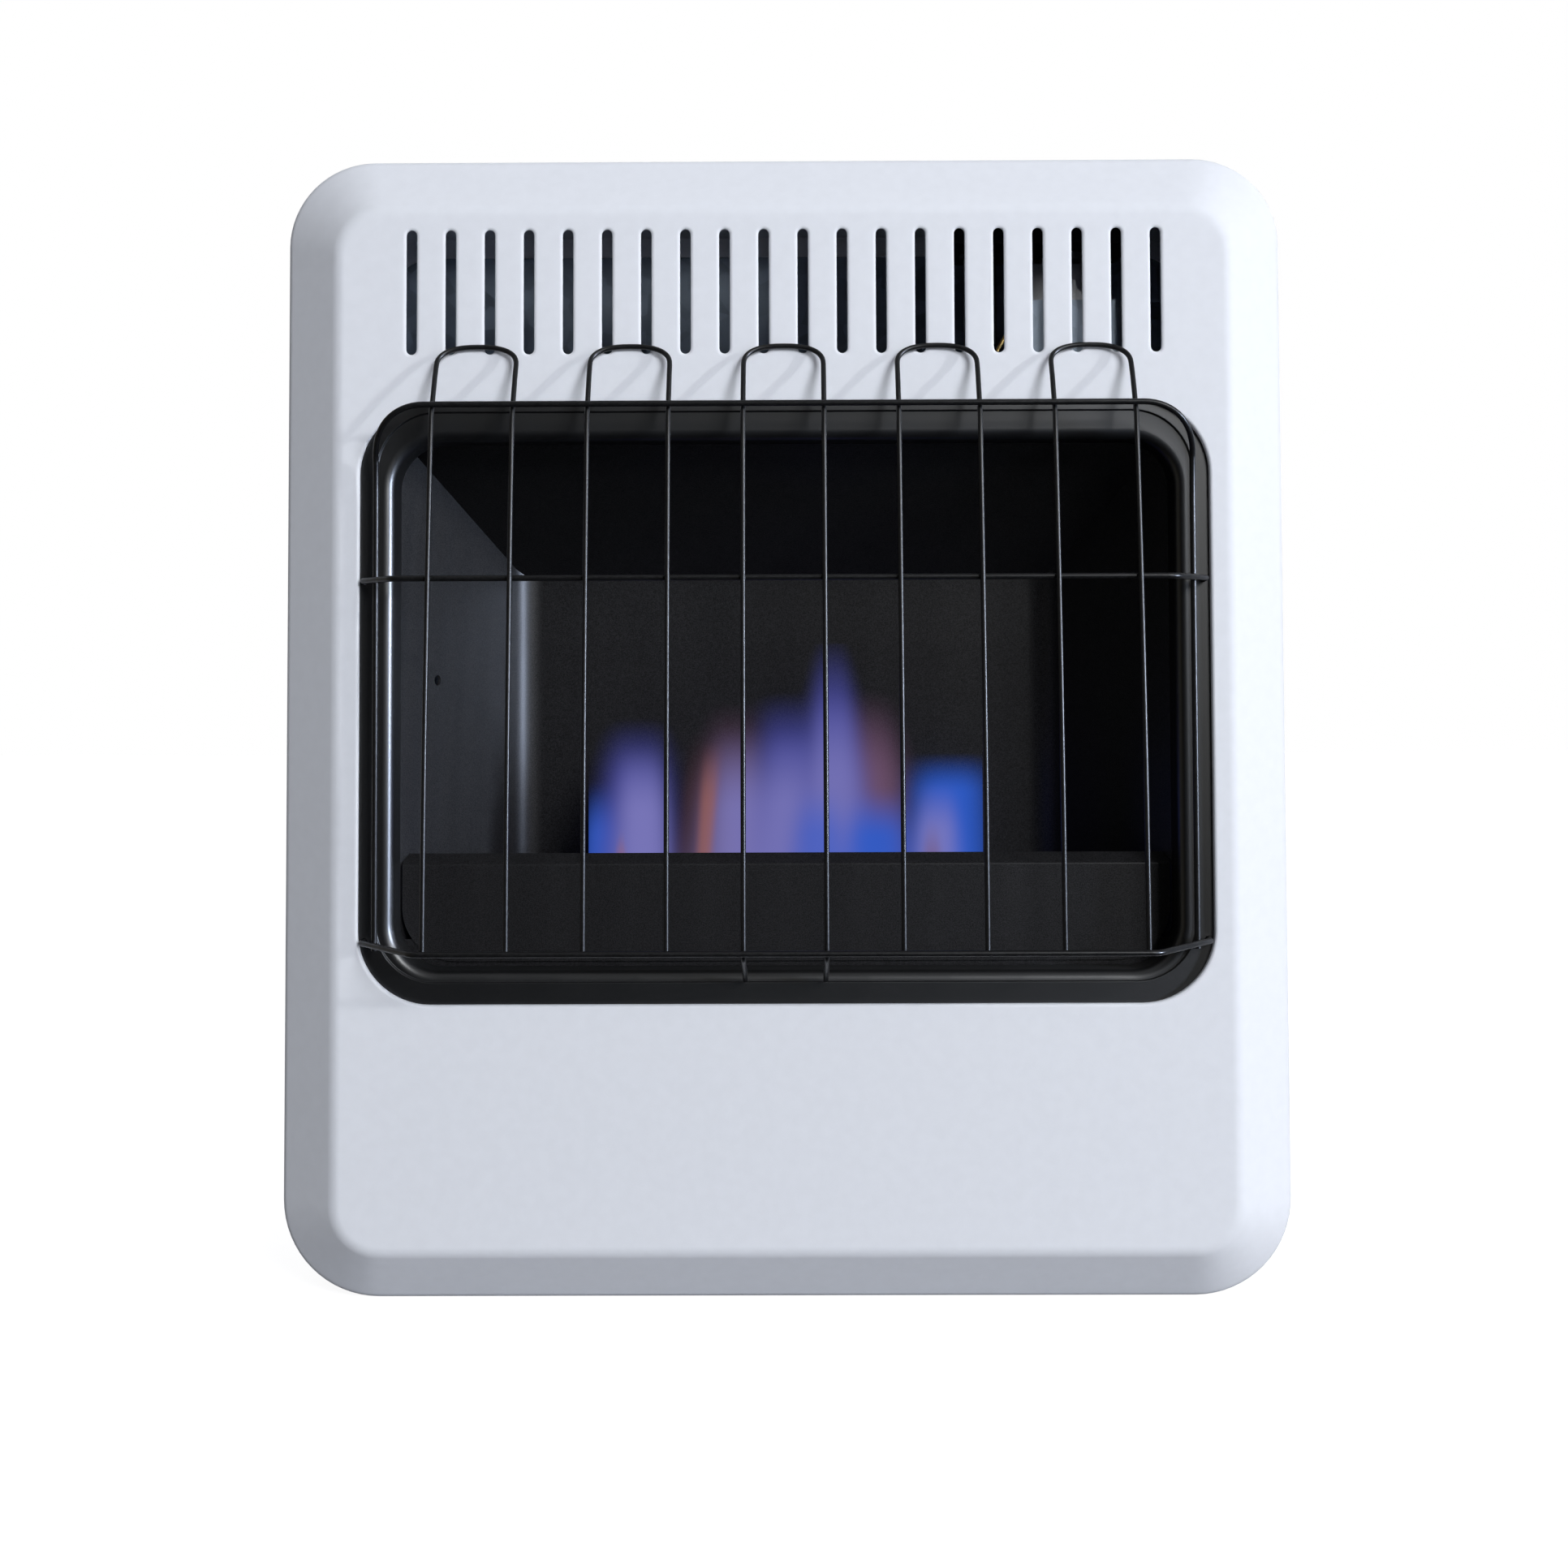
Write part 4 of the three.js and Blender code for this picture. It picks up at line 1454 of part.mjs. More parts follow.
const LEAD_ROUTE = [
  [...THERMOCOUPLE_PORT, PORT_FOOT],
  [...THERMOCOUPLE_PORT, LEAD_UPPER_LEVEL],
  [LEAD_SIDE, THERMOCOUPLE_PORT[1], LEAD_UPPER_LEVEL],
  [LEAD_SIDE, THERMOCOUPLE_PORT[1], LEAD_LOWER_LEVEL],
  [THERMOCOUPLE_PLACE, THERMOCOUPLE_PORT[1], LEAD_LOWER_LEVEL],
  [THERMOCOUPLE_PLACE, PILOT_DEPTH, LEAD_LOWER_LEVEL + RISER_SLOPE_HEIGHT],
  [THERMOCOUPLE_PLACE, PILOT_DEPTH, THERMOCOUPLE_FOOT - SEAT_GAP],
];
const IGNITION_WIRE_ROUTE = [
  [IGNITER_PLACE, VALVE_DEPTH, IGNITER_FOOT - SEAT_GAP],
  [IGNITER_PLACE, VALVE_DEPTH, IGNITER_FOOT - IGNITION_WIRE_DROP],
  [IGNITION_WIRE_TURN, IGNITION_WIRE_DEPTH, IGNITION_WIRE_UPPER_LEVEL],
  [IGNITION_WIRE_SIDE, IGNITION_WIRE_DEPTH, IGNITION_WIRE_UPPER_LEVEL],
  [IGNITION_WIRE_SIDE, IGNITION_WIRE_DEPTH, IGNITION_WIRE_LOWER_LEVEL],
  [ELECTRODE_PLACE, IGNITION_WIRE_DEPTH, IGNITION_WIRE_LOWER_LEVEL],
  [ELECTRODE_PLACE, PILOT_DEPTH, IGNITION_WIRE_LOWER_LEVEL + RISER_SLOPE_HEIGHT],
  [ELECTRODE_PLACE, PILOT_DEPTH, ELECTRODE_FOOT - SEAT_GAP],
];
const CAPILLARY_ROUTE = [
  [thermostatEnd() - SEAT_GAP, VALVE_DEPTH, VALVE_FOOT + VALVE_HEIGHT / 2],
  [CAPILLARY_FIRST_TURN, VALVE_DEPTH, VALVE_FOOT + VALVE_HEIGHT / 2],
  [CAPILLARY_FIRST_TURN, CAPILLARY_DEPTH, CAPILLARY_UPPER_LEVEL],
  [CAPILLARY_SECOND_TURN, CAPILLARY_DEPTH, CAPILLARY_LOWER_LEVEL],
  [BULB_PLACE, CAPILLARY_DEPTH, CAPILLARY_LOWER_LEVEL],
  [BULB_PLACE, BULB_DEPTH, CAPILLARY_SLOPE_END],
  [BULB_PLACE, BULB_DEPTH, BULB_TOP + SEAT_GAP],
];
const INLET_TUBE_ROUTE = [
  [REGULATOR_PLACE + REGULATOR_RADIUS + REGULATOR_PORT_REACH + SEAT_GAP, REGULATOR_DEPTH,
    TRAY_TOP + SEAT_GAP + REGULATOR_PORT_HEIGHT],
  [INLET_TUBE_SIDE, REGULATOR_DEPTH, TRAY_TOP + SEAT_GAP + REGULATOR_PORT_HEIGHT],
  [INLET_TUBE_SIDE, REGULATOR_DEPTH, INLET_TUBE_UPPER_LEVEL],
  [...INLET_PORT, INLET_TUBE_UPPER_LEVEL],
  [...INLET_PORT, PORT_FOOT],
];

function sensorBulb() {
  return turned([
    [0, BULB_FOOT],
    [BULB_RADIUS / 2, BULB_FOOT],
    [BULB_RADIUS, BULB_FOOT + BULB_RADIUS],
    [BULB_RADIUS, BULB_TOP - BULB_RADIUS],
    [BULB_RADIUS / 2, BULB_TOP],
    [0, BULB_TOP],
  ], [BULB_PLACE, BULB_DEPTH], SMALL_ROUND_SIDES);
}

// A bent strip that holds the bulb off the cabinet's left wall
function bulbClip() {
  const wall = -WALL_INNER_X + SEAT_GAP;
  const span = [CLIP_MIDDLE - CLIP_HEIGHT / 2, CLIP_MIDDLE + CLIP_HEIGHT / 2];
  const near = BULB_DEPTH - CLIP_SHEET / 2;
  const bulbAxis = [BULB_PLACE, BULB_DEPTH];
  const ring = rodUp(BULB_RADIUS + SEAT_GAP + CLIP_SHEET, ...span, bulbAxis);
  const arm = boxAtDepths([wall, BULB_PLACE], [near, near + CLIP_SHEET], span);
  const foot = boxAtDepths([wall, wall + CLIP_SHEET], [near, near + CLIP_HEIGHT], span);
  const bore = rodUp(BULB_RADIUS + SEAT_GAP, CLIP_MIDDLE - CLIP_HEIGHT, CLIP_MIDDLE + CLIP_HEIGHT, bulbAxis);
  return cut(join(ring, arm, foot), bore);
}

function regulatorBody() {
  const foot = TRAY_TOP + SEAT_GAP;
  const flangeTop = foot + REGULATOR_HEIGHT;
  const body = turned([
    [0, foot],
    [REGULATOR_RADIUS - REGULATOR_FLANGE_HEIGHT, foot],
    [REGULATOR_RADIUS, foot + REGULATOR_FLANGE_HEIGHT],
    [REGULATOR_RADIUS, flangeTop - REGULATOR_FLANGE_HEIGHT],
    [REGULATOR_FLANGE_RADIUS, flangeTop - REGULATOR_FLANGE_HEIGHT],
    [REGULATOR_FLANGE_RADIUS, flangeTop],
    [0, flangeTop],
  ], [REGULATOR_PLACE, REGULATOR_DEPTH]);
  const reach = REGULATOR_RADIUS + REGULATOR_PORT_REACH;
  const portHeight = foot + REGULATOR_PORT_HEIGHT;
  const outlet = rodAcross(REGULATOR_PORT_RADIUS, REGULATOR_PLACE, REGULATOR_PLACE + reach,
    [REGULATOR_DEPTH, portHeight]);
  const inlet = rodBack(REGULATOR_PORT_RADIUS, REGULATOR_DEPTH, REGULATOR_DEPTH + reach,
    [REGULATOR_PLACE, portHeight]);
  return join(body, outlet, inlet);
}

function regulatorCap() {
  const foot = TRAY_TOP + 2 * SEAT_GAP + REGULATOR_HEIGHT;
  return turned([
    [0, foot],
    [REGULATOR_FLANGE_RADIUS, foot],
    [REGULATOR_FLANGE_RADIUS, foot + REGULATOR_FLANGE_HEIGHT / 2],
    [REGULATOR_CAP_RADIUS, foot + REGULATOR_FLANGE_HEIGHT],
    [REGULATOR_CAP_RADIUS - KNOB_EDGE, foot + REGULATOR_CAP_HEIGHT],
    [0, foot + REGULATOR_CAP_HEIGHT],
  ], [REGULATOR_PLACE, REGULATOR_DEPTH]);
}

function inletFitting() {
  const place = [REGULATOR_PLACE, TRAY_TOP + SEAT_GAP + REGULATOR_PORT_HEIGHT];
  const start = REGULATOR_DEPTH + REGULATOR_RADIUS + REGULATOR_PORT_REACH + SEAT_GAP;
  const hex = rodBack(INLET_HEX_RADIUS, start, start + INLET_HEX_LENGTH, place, HEX_SIDES);
  const thread = rodBack(INLET_THREAD_RADIUS, start, INLET_FITTING_END, place);
  const bore = rodBack(INLET_TUBE_RADIUS, start + INLET_HEX_LENGTH, INLET_FITTING_END + OVERCUT, place);
  return cut(join(hex, thread), bore);
}

// Standoff of the guard's upright rods from the cover's face, at a height
function rodStandoff(height) {
  const share = (GUARD_TOP_HEIGHT - height) / (GUARD_TOP_HEIGHT - GUARD_FOOT_HEIGHT);
  if (share < 0) {
    const loopTop = GUARD_ROD_RADIUS + SEAT_GAP;
    const rise = (height - GUARD_TOP_HEIGHT) / (HAIRPIN_LOOP_TOP - GUARD_TOP_HEIGHT);
    return THREE.MathUtils.lerp(GUARD_TOP_STANDOFF, loopTop, rise);
  }
  const bow = 4 * GUARD_BOW * share * (1 - share);
  return THREE.MathUtils.lerp(GUARD_TOP_STANDOFF, GUARD_FOOT_STANDOFF, share) + bow;
}

// A cross bar runs straight, then its ends lean back and go square into the bezel's holes
function guardBar(height, standoff) {
  const lean = (standoff - GUARD_TIP_STANDOFF) * Math.tan(THREE.MathUtils.degToRad(GUARD_RETURN_ANGLE));
  const half = [
    [GUARD_TIP_OFFSET - lean, -standoff, height],
    [GUARD_TIP_OFFSET, -GUARD_TIP_STANDOFF, height],
    [GUARD_TIP_OFFSET, GUARD_TIP_DEPTH, height],
  ];
  const otherHalf = half.map(([x, depth, z]) => [-x, depth, z]).reverse();
  const corners = [...otherHalf, ...half].map(([x, depth, z]) => new THREE.Vector3(x, depthY(depth), z));
  const bends = [GUARD_TIP_BEND, GUARD_BEND, GUARD_BEND, GUARD_TIP_BEND];
  return wire(bentPath(corners, bends, TUBE_BEND_STEPS), GUARD_BAR_RADIUS);
}

function crossingGap() {
  return GUARD_BAR_RADIUS + GUARD_ROD_RADIUS + SEAT_GAP;
}

// The frame wire goes up one side, leans forward over the rods and comes down the other side
function guardFrameWire() {
  const angle = THREE.MathUtils.degToRad(GUARD_RETURN_ANGLE);
  const beside = (GUARD_TIP_OFFSET - GUARD_SIDE_OFFSET) * Math.cos(angle) - 2 * GUARD_BAR_RADIUS - SEAT_GAP;
  const sideStandoff = GUARD_TIP_STANDOFF + beside / Math.sin(angle);
  const topStandoff = GUARD_TOP_STANDOFF + crossingGap();
  const standoff = (height) => THREE.MathUtils.lerp(sideStandoff, topStandoff,
    THREE.MathUtils.smoothstep(height, GUARD_LEAN_START, GUARD_TOP_HEIGHT));
  const outline = bentPath([
    new THREE.Vector2(-GUARD_SIDE_OFFSET, GUARD_SIDE_FOOT),
    new THREE.Vector2(-GUARD_SIDE_OFFSET, GUARD_TOP_HEIGHT),
    new THREE.Vector2(GUARD_SIDE_OFFSET, GUARD_TOP_HEIGHT),
    new THREE.Vector2(GUARD_SIDE_OFFSET, GUARD_SIDE_FOOT),
  ], GUARD_CORNER_RADIUS, CORNER_STEPS);
  return wire(outline.map(({ x, y }) => new THREE.Vector3(x, depthY(-standoff(y)), y)), GUARD_BAR_RADIUS);
}

// A hairpin: two upright rods joined by a loop over the cover's face
function hairpin(index) {
  const middle = (index - (HAIRPIN_COUNT - 1) / 2) * HAIRPIN_PITCH;
  const shoulder = HAIRPIN_LOOP_TOP - HAIRPIN_LOOP_RISE;
  const legEnd = GUARD_FOOT_HEIGHT - GUARD_BAR_RADIUS;
  const hooked = index === (HAIRPIN_COUNT - 1) / 2;
  const leg = Array.from({ length: HAIRPIN_STATIONS }, (_, station) => {
    const height = THREE.MathUtils.lerp(GUARD_TOP_HEIGHT, legEnd, station / (HAIRPIN_STATIONS - 1));
    return [HAIRPIN_HALF_WIDTH, height];
  });
  const loop = Array.from({ length: HAIRPIN_LOOP_STEPS + 1 }, (_, step) => {
    const angle = Math.PI * step / HAIRPIN_LOOP_STEPS;
    return [HAIRPIN_HALF_WIDTH * Math.cos(angle), shoulder + HAIRPIN_LOOP_RISE * Math.sin(angle)];
  });
  const place = ([x, z]) => new THREE.Vector3(middle + x, depthY(-rodStandoff(z)), z);
  const right = leg.map(place).reverse();
  const left = leg.map(([x, z]) => place([-x, z]));
  if (hooked) {
    right.splice(0, 1, ...hookStations(middle + HAIRPIN_HALF_WIDTH).reverse());
    left.splice(-1, 1, ...hookStations(middle - HAIRPIN_HALF_WIDTH));
  }
  return wire([...right, ...loop.map(place), ...left], GUARD_ROD_RADIUS);
}

// The middle hairpin's feet bend back under the bottom bar and rest on the bezel's fold
function hookStations(x) {
  const barFoot = GUARD_FOOT_HEIGHT - 2 * GUARD_BAR_RADIUS;
  return bentPath([
    new THREE.Vector3(x, depthY(-rodStandoff(GUARD_FOOT_HEIGHT + HOOK_BEND)), GUARD_FOOT_HEIGHT + HOOK_BEND),
    new THREE.Vector3(x, depthY(-GUARD_FOOT_STANDOFF), barFoot),
    new THREE.Vector3(x, depthY(-HOOK_STANDOFF), HOOK_FOOT),
  ], HOOK_BEND, TUBE_BEND_STEPS);
}

// Shell
addPiece('front_cover', frontCover(), 'whiteEnamel');
addPiece('opening_bezel', openingBezel(), 'blackEnamel');
addPiece('cabinet_wrap', cabinetWrap(), 'whiteEnamel');
addPiece('base_tray', baseTray(), 'galvanised');
addPiece('rear_panel', rearPanel(), 'galvanised');
addPiece('wall_bracket', wallBracket(), 'galvanised');
rearScrewPlaces().forEach((place, index) => addPiece(`rear_screw_${index + 1}`, rearScrew(place), 'steel'));

// Firebox
addPiece('firebox_liner', fireboxLiner(), 'blackEnamel');
addPiece('firebox_hood', fireboxHood(), 'blackEnamel');
addPiece('firebox_floor', fireboxFloor(), 'blackEnamel');
addPiece('burner_shield', burnerShield(), 'blackEnamel');

// Burner and pilot
addPiece('burner_tube', burnerTube(), 'steel');
addPiece('burner_venturi', burnerVenturi(), 'steel');
addPiece('burner_bracket_left', burnerBracket(-BURNER_BRACKET_OFFSET), 'galvanised');
addPiece('burner_bracket_right', burnerBracket(BURNER_BRACKET_OFFSET), 'galvanised');
addPiece('injector', injector(), 'brass');
addPiece('injector_bracket', injectorBracket(), 'galvanised');
addPiece('injector_elbow', injectorElbow(), 'brass');
addPiece('pilot_bracket', pilotBracket(), 'galvanised');
addPiece('pilot_burner', pilotBurner(), 'steel');
addPiece('thermocouple_probe', thermocoupleProbe(), 'steel');
addPiece('electrode_insulator', electrodeInsulator(), 'ceramic');
addPiece('electrode_tip', electrodeTip(), 'steel');

// Controls
addPiece('control_well', controlWell(), 'blackEnamel');
addPiece('valve_bracket', valveBracket(), 'galvanised');
addPiece('gas_valve_body', gasValveBody(), 'castAluminium');
addPiece('thrust_washer', thrustWasher(), 'steel');
addPiece('valve_stem', valveStem(), 'steel');
addPiece('control_knob', controlKnob(), 'blackPlastic');
addPiece('igniter_body', igniterBody(), 'blackPlastic');
addPiece('igniter_nut', igniterNut(), 'galvanised');
addPiece('igniter_button', igniterButton(), 'blackPlastic');

// Gas train, leads and thermostat sensor
addPiece('regulator_body', regulatorBody(), 'castAluminium');
addPiece('regulator_cap', regulatorCap(), 'castAluminium');
addPiece('inlet_fitting', inletFitting(), 'brass');
addPiece('inlet_tube', tube(INLET_TUBE_ROUTE, INLET_TUBE_RADIUS, TUBE_BEND), 'galvanised');
addPiece('main_gas_tube', tube(MAIN_TUBE_ROUTE, MAIN_TUBE_RADIUS, TUBE_BEND), 'castAluminium');
addPiece('pilot_gas_tube', tube(PILOT_TUBE_ROUTE, PILOT_TUBE_RADIUS, LEAD_BEND), 'castAluminium');
addPiece('thermocouple_lead', tube(LEAD_ROUTE, LEAD_RADIUS, LEAD_BEND), 'brass');
addPiece('ignition_wire', tube(IGNITION_WIRE_ROUTE, IGNITION_WIRE_RADIUS, LEAD_BEND), 'rubber');
addPiece('sensor_capillary', tube(CAPILLARY_ROUTE, CAPILLARY_RADIUS, CAPILLARY_BEND), 'brass');
addPiece('sensor_bulb', sensorBulb(), 'brass');
addPiece('bulb_clip', bulbClip(), 'galvanised');

// Guard
addPiece('guard_frame_wire', guardFrameWire(), 'blackWire');
const midBarStandoff = rodStandoff(GUARD_MID_HEIGHT) - crossingGap();
const bottomBarStandoff = GUARD_FOOT_STANDOFF + crossingGap();
addPiece('guard_mid_bar', guardBar(GUARD_MID_HEIGHT, midBarStandoff), 'blackWire');
addPiece('guard_bottom_bar', guardBar(GUARD_FOOT_HEIGHT, bottomBarStandoff), 'blackWire');
for (let index = 0; index < HAIRPIN_COUNT; index += 1) {
  addPiece(`guard_hairpin_${index + 1}`, hairpin(index), 'blackWire');
}

export default group;
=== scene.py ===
"""Looks of a vent-free blue flame gas heater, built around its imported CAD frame.

Lengths are metres. X is the width, -Y the front and Z up; a depth is measured back from the cover's face.
"""

import math

import bmesh
import bpy
from bpy.props import FloatProperty, FloatVectorProperty, IntProperty, PointerProperty
from mathutils import Matrix, Vector
from mathutils.geometry import delaunay_2d_cdt


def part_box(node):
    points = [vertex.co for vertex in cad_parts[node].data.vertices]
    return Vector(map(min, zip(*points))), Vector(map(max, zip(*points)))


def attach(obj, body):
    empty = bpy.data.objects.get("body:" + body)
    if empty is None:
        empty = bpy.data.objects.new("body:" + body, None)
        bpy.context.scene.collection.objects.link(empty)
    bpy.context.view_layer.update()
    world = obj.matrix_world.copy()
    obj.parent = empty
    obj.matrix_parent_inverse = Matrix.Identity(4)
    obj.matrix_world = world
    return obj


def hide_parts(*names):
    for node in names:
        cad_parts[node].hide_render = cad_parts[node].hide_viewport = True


bl_info = {
    "name": "Blue flame gas heater",
    "version": (1, 0, 0),
    "blender": (4, 5, 0),
    "location": "3D View > Sidebar > Heater",
    "description": "Builds the looks of a vent-free blue flame gas heater around its CAD frame",
    "category": "Object",
}

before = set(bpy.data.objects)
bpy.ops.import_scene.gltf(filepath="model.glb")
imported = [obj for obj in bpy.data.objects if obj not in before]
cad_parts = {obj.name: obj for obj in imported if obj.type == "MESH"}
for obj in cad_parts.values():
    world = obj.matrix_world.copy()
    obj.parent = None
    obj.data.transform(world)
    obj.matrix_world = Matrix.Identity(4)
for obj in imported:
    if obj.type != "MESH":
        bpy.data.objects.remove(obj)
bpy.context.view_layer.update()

COVER_LOW, COVER_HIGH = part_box("front_cover")
BUTTON_LOW, BUTTON_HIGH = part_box("igniter_button")
KNOB_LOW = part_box("control_knob")[0]
STEM_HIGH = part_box("valve_stem")[1]
WASHER_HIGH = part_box("thrust_washer")[1]
WELL_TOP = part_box("control_well")[1].z
FACE_Y = COVER_LOW.y

# Fineness of the curves, as counts
CORNER_STEPS = 16
BEND_STEPS = 7
TUBE_SIDES = 16
WIRE_SIDES = 20
SMALL_SIDES = 24
ROUND_SIDES = 72

# A short flat run beside each bend keeps the shading of the flat sheet flat
HOLD = 0.0005
MERGE_DISTANCE = 0.000002
SHARP_ANGLE = math.radians(38)

# The kind of result that the triangulation is asked for: only what lies inside a loop
FILL_INSIDE = 1

SEAT_GAP = 0.0003
OVERCUT = 0.003
SHEET = 0.0015
INNER_SHEET = 0.0012
SCREW_HOLE_RADIUS = 0.0021

# Lights: azimuth to the right of the front, elevation, distance, width, height and colour
LIGHTS = {
    "key": (math.radians(62), math.radians(13), 7, 1.6, 3.2, (0.95, 0.97, 1.0)),
    "sun": (math.radians(68), math.radians(14), 7, 0.2, 0.2, (1.0, 0.99, 0.96)),
    "soft": (math.radians(31), math.radians(22), 6, 2.1, 2.1, (0.97, 0.985, 1.0)),
    "glint": (math.radians(66), math.radians(3), 4, 0.5, 0.5, (0.66, 0.77, 1.0)),
}
LIGHTS_AIM = Vector((0, -0.1, 0.32))

# The room round the heater: its dim colour, and the axis, start, end and colour of each brighter side
ROOM_DIM = (0.008, 0.008, 0.008)
ROOM_GLOWS = (
    ("X", -0.60, -0.98, (0.22, 0.205, 0.17)),
    ("Z", 0.45, 0.95, (0.34, 0.345, 0.36)),
    ("Y", 0.25, 0.90, (0.90, 0.92, 0.96)),
)


# Settings


def length(name, description, default):
    return FloatProperty(
        name=name, description=description, default=default, min=0, unit="LENGTH", precision=5)


def angle(name, description, degrees):
    return FloatProperty(
        name=name, description=description, default=math.radians(degrees), unit="ROTATION", subtype="ANGLE")


def count(name, description, default):
    return IntProperty(name=name, description=description, default=default, min=1)


def amount(name, description, default):
    return FloatProperty(name=name, description=description, default=default, min=0, subtype="FACTOR")


def power(name, description, default):
    return FloatProperty(name=name, description=description, default=default, min=0, unit="POWER")


def colour(name, description, default):
    return FloatVectorProperty(
        name=name, description=description, default=default, min=0, max=1, size=3, subtype="COLOR")


class HeaterCoverSettings(bpy.types.PropertyGroup):
    width: length("Width", "Outer width of the front cover", COVER_HIGH.x - COVER_LOW.x)
    height: length("Height", "Outer height of the front cover", COVER_HIGH.z - COVER_LOW.z)
    flange_end: length("Flange end", "Depth at which the cover's flange ends", COVER_HIGH.y - COVER_LOW.y)
    upper_radius: length("Upper corners", "Outer radius of the two upper corners", 0.045)
    lower_radius: length("Lower corners", "Outer radius of the two lower corners", 0.050)
    face_radius: length("Face corners", "Corner radius of the flat face", 0.023)
    bevel_inset: length("Bevel width", "Width of the bevelled border", 0.031)
    bevel_foot_inset: length("Bevel width at the foot", "Height of the border's lower run", 0.0286)
    bevel_depth: length("Bevel depth", "Depth of the bevelled border", 0.022)
    outer_bend: length("Outer bend", "Bend between flange and bevel", 0.007)
    inner_bend: length("Inner bend", "Bend between bevel and face", 0.012)
    notch_offset: length("Notch offset", "Distance of the relief notches from the middle", 0.209)
    slot_count: count("Slots", "Number of warm air slots", 20)
    slot_pitch: length("Slot pitch", "Distance from slot to slot", 0.0201)
    slot_width: length("Slot width", "Width of a slot", 0.0054)
    slot_length: length("Slot length", "Height of a slot", 0.0643)
    slot_middle: length("Slot middle", "Height of the middle of the slots", 0.5163)
    slot_rim: length("Slot rim", "Width of the dished rim", 0.0019)
    slot_rim_depth: length("Rim depth", "Depth of the dished rim", 0.0011)


class HeaterOpeningSettings(bpy.types.PropertyGroup):
    half_width: length("Half width", "Half of the opening's width", 0.2173)
    foot: length("Foot", "Height of the opening's lower edge", 0.1529)
    top: length("Top", "Height of the opening's upper edge", 0.4591)
    radius: length("Corners", "Corner radius of the opening", 0.037)
    lip_depth: length("Lip depth", "Depth of the lip turned in around the opening", 0.003)
    lip_bend: length("Lip bend", "Bend of the lip", 0.0016)
    side_border: length("Side border", "Visible width of the bezel's flat border at the sides", 0.0081)
    top_border: length("Top border", "Visible width of the border at the top", 0.0041)
    foot_border: length("Foot border", "Visible width of the border at the foot", 0.0106)
    border_radius: length("Border corners", "Corner radius of the border's inner edge", 0.031)
    step_run: length("Step run", "Width of the small step inside the border", 0.0006)
    step_depth: length("Step depth", "Depth of the small step", 0.0012)
    side_ring: length("Side ring", "Width of the second ring at the sides", 0.0088)
    top_ring: length("Top ring", "Width of the second ring at the top", 0.0149)
    foot_ring: length("Foot ring", "Width of the second ring at the foot", 0.0055)
    bezel_bend: length("Bezel bend", "Bend between the second ring and the wall", 0.005)
    wall_radius: length("Wall corners", "Corner radius of the bezel's wall", 0.024)
    rear_flange: length("Rear flange", "Width of the bezel's rear flange", 0.008)
    end_depth: length("End depth", "Depth at which the bezel ends", 0.025)


class HeaterFireboxSettings(bpy.types.PropertyGroup):
    mouth_half_width: length("Mouth half width", "Half of the liner's width at its mouth", 0.2025)
    back_half_width: length("Back half width", "Half of the liner's width at its back", 0.148)
    back_depth: length("Back depth", "Depth of the liner's back", 0.112)
    hood_mouth: length("Hood mouth", "Height of the hood at the mouth", 0.446)
    hood_back: length("Hood back", "Height of the hood at the back", 0.373)
    shield_half_width: length("Shield half width", "Half of the burner shield's width", 0.1998)
    shield_foot: length("Shield foot", "Height of the shield's lower edge", 0.171)
    shield_top: length("Shield top", "Height of the shield's upper edge", 0.2263)


class HeaterGuardSettings(bpy.types.PropertyGroup):
    bar_radius: length("Bar radius", "Radius of the cross bars and the frame wire", 0.0015)
    rod_radius: length("Rod radius", "Radius of the upright rods", 0.0013)
    top_height: length("Top height", "Height of the frame wire's upper run", 0.4552)
    mid_height: length("Middle height", "Height of the middle bar", 0.368)
    foot_height: length("Foot height", "Height of the lower bar", 0.1847)
    loop_top: length("Loop top", "Height of the hairpins' loops", 0.4875)
    top_standoff: length("Top standoff", "Distance of the rods from the face at the top", 0.020)
    foot_standoff: length("Foot standoff", "Distance of the rods from the face at the foot", 0.039)
    rod_count: count("Hairpins", "Number of hairpins", 5)
    rod_pitch: length("Hairpin pitch", "Distance from hairpin to hairpin", 0.0781)
    rod_half_width: length("Hairpin half width", "Half of the distance between a hairpin's rods", 0.0203)


class HeaterControlSettings(bpy.types.PropertyGroup):
    knob_x: length("Knob place", "Distance of the knob to the right of the middle", 0.156)
    button_x: length("Igniter place", "Distance of the igniter to the right of the middle", 0.108)
    axis_depth: length("Axis depth", "Depth of the knob and the igniter", 0.072)
    knob_radius: length("Knob radius", "Radius of the knob's skirt", 0.019)
    grip_radius: length("Grip radius", "Radius of the knob's grip", 0.015)
    knob_height: length("Knob height", "Height of the knob", 0.024)
    neck_radius: length("Neck radius", "Radius of the valve's neck under the knob", 0.008)
    flutes: count("Flutes", "Number of flutes of the knob's grip", 10)
    well_left: length("Well left", "Place of the well's left wall", 0.084)
    well_right: length("Well right", "Place of the well's right wall", 0.190)
    well_front: length("Well front", "Depth of the well's front wall", 0.042)
    well_back: length("Well back", "Depth of the well's back wall", 0.102)
    well_floor: length("Well floor", "Height of the well's floor", 0.552)


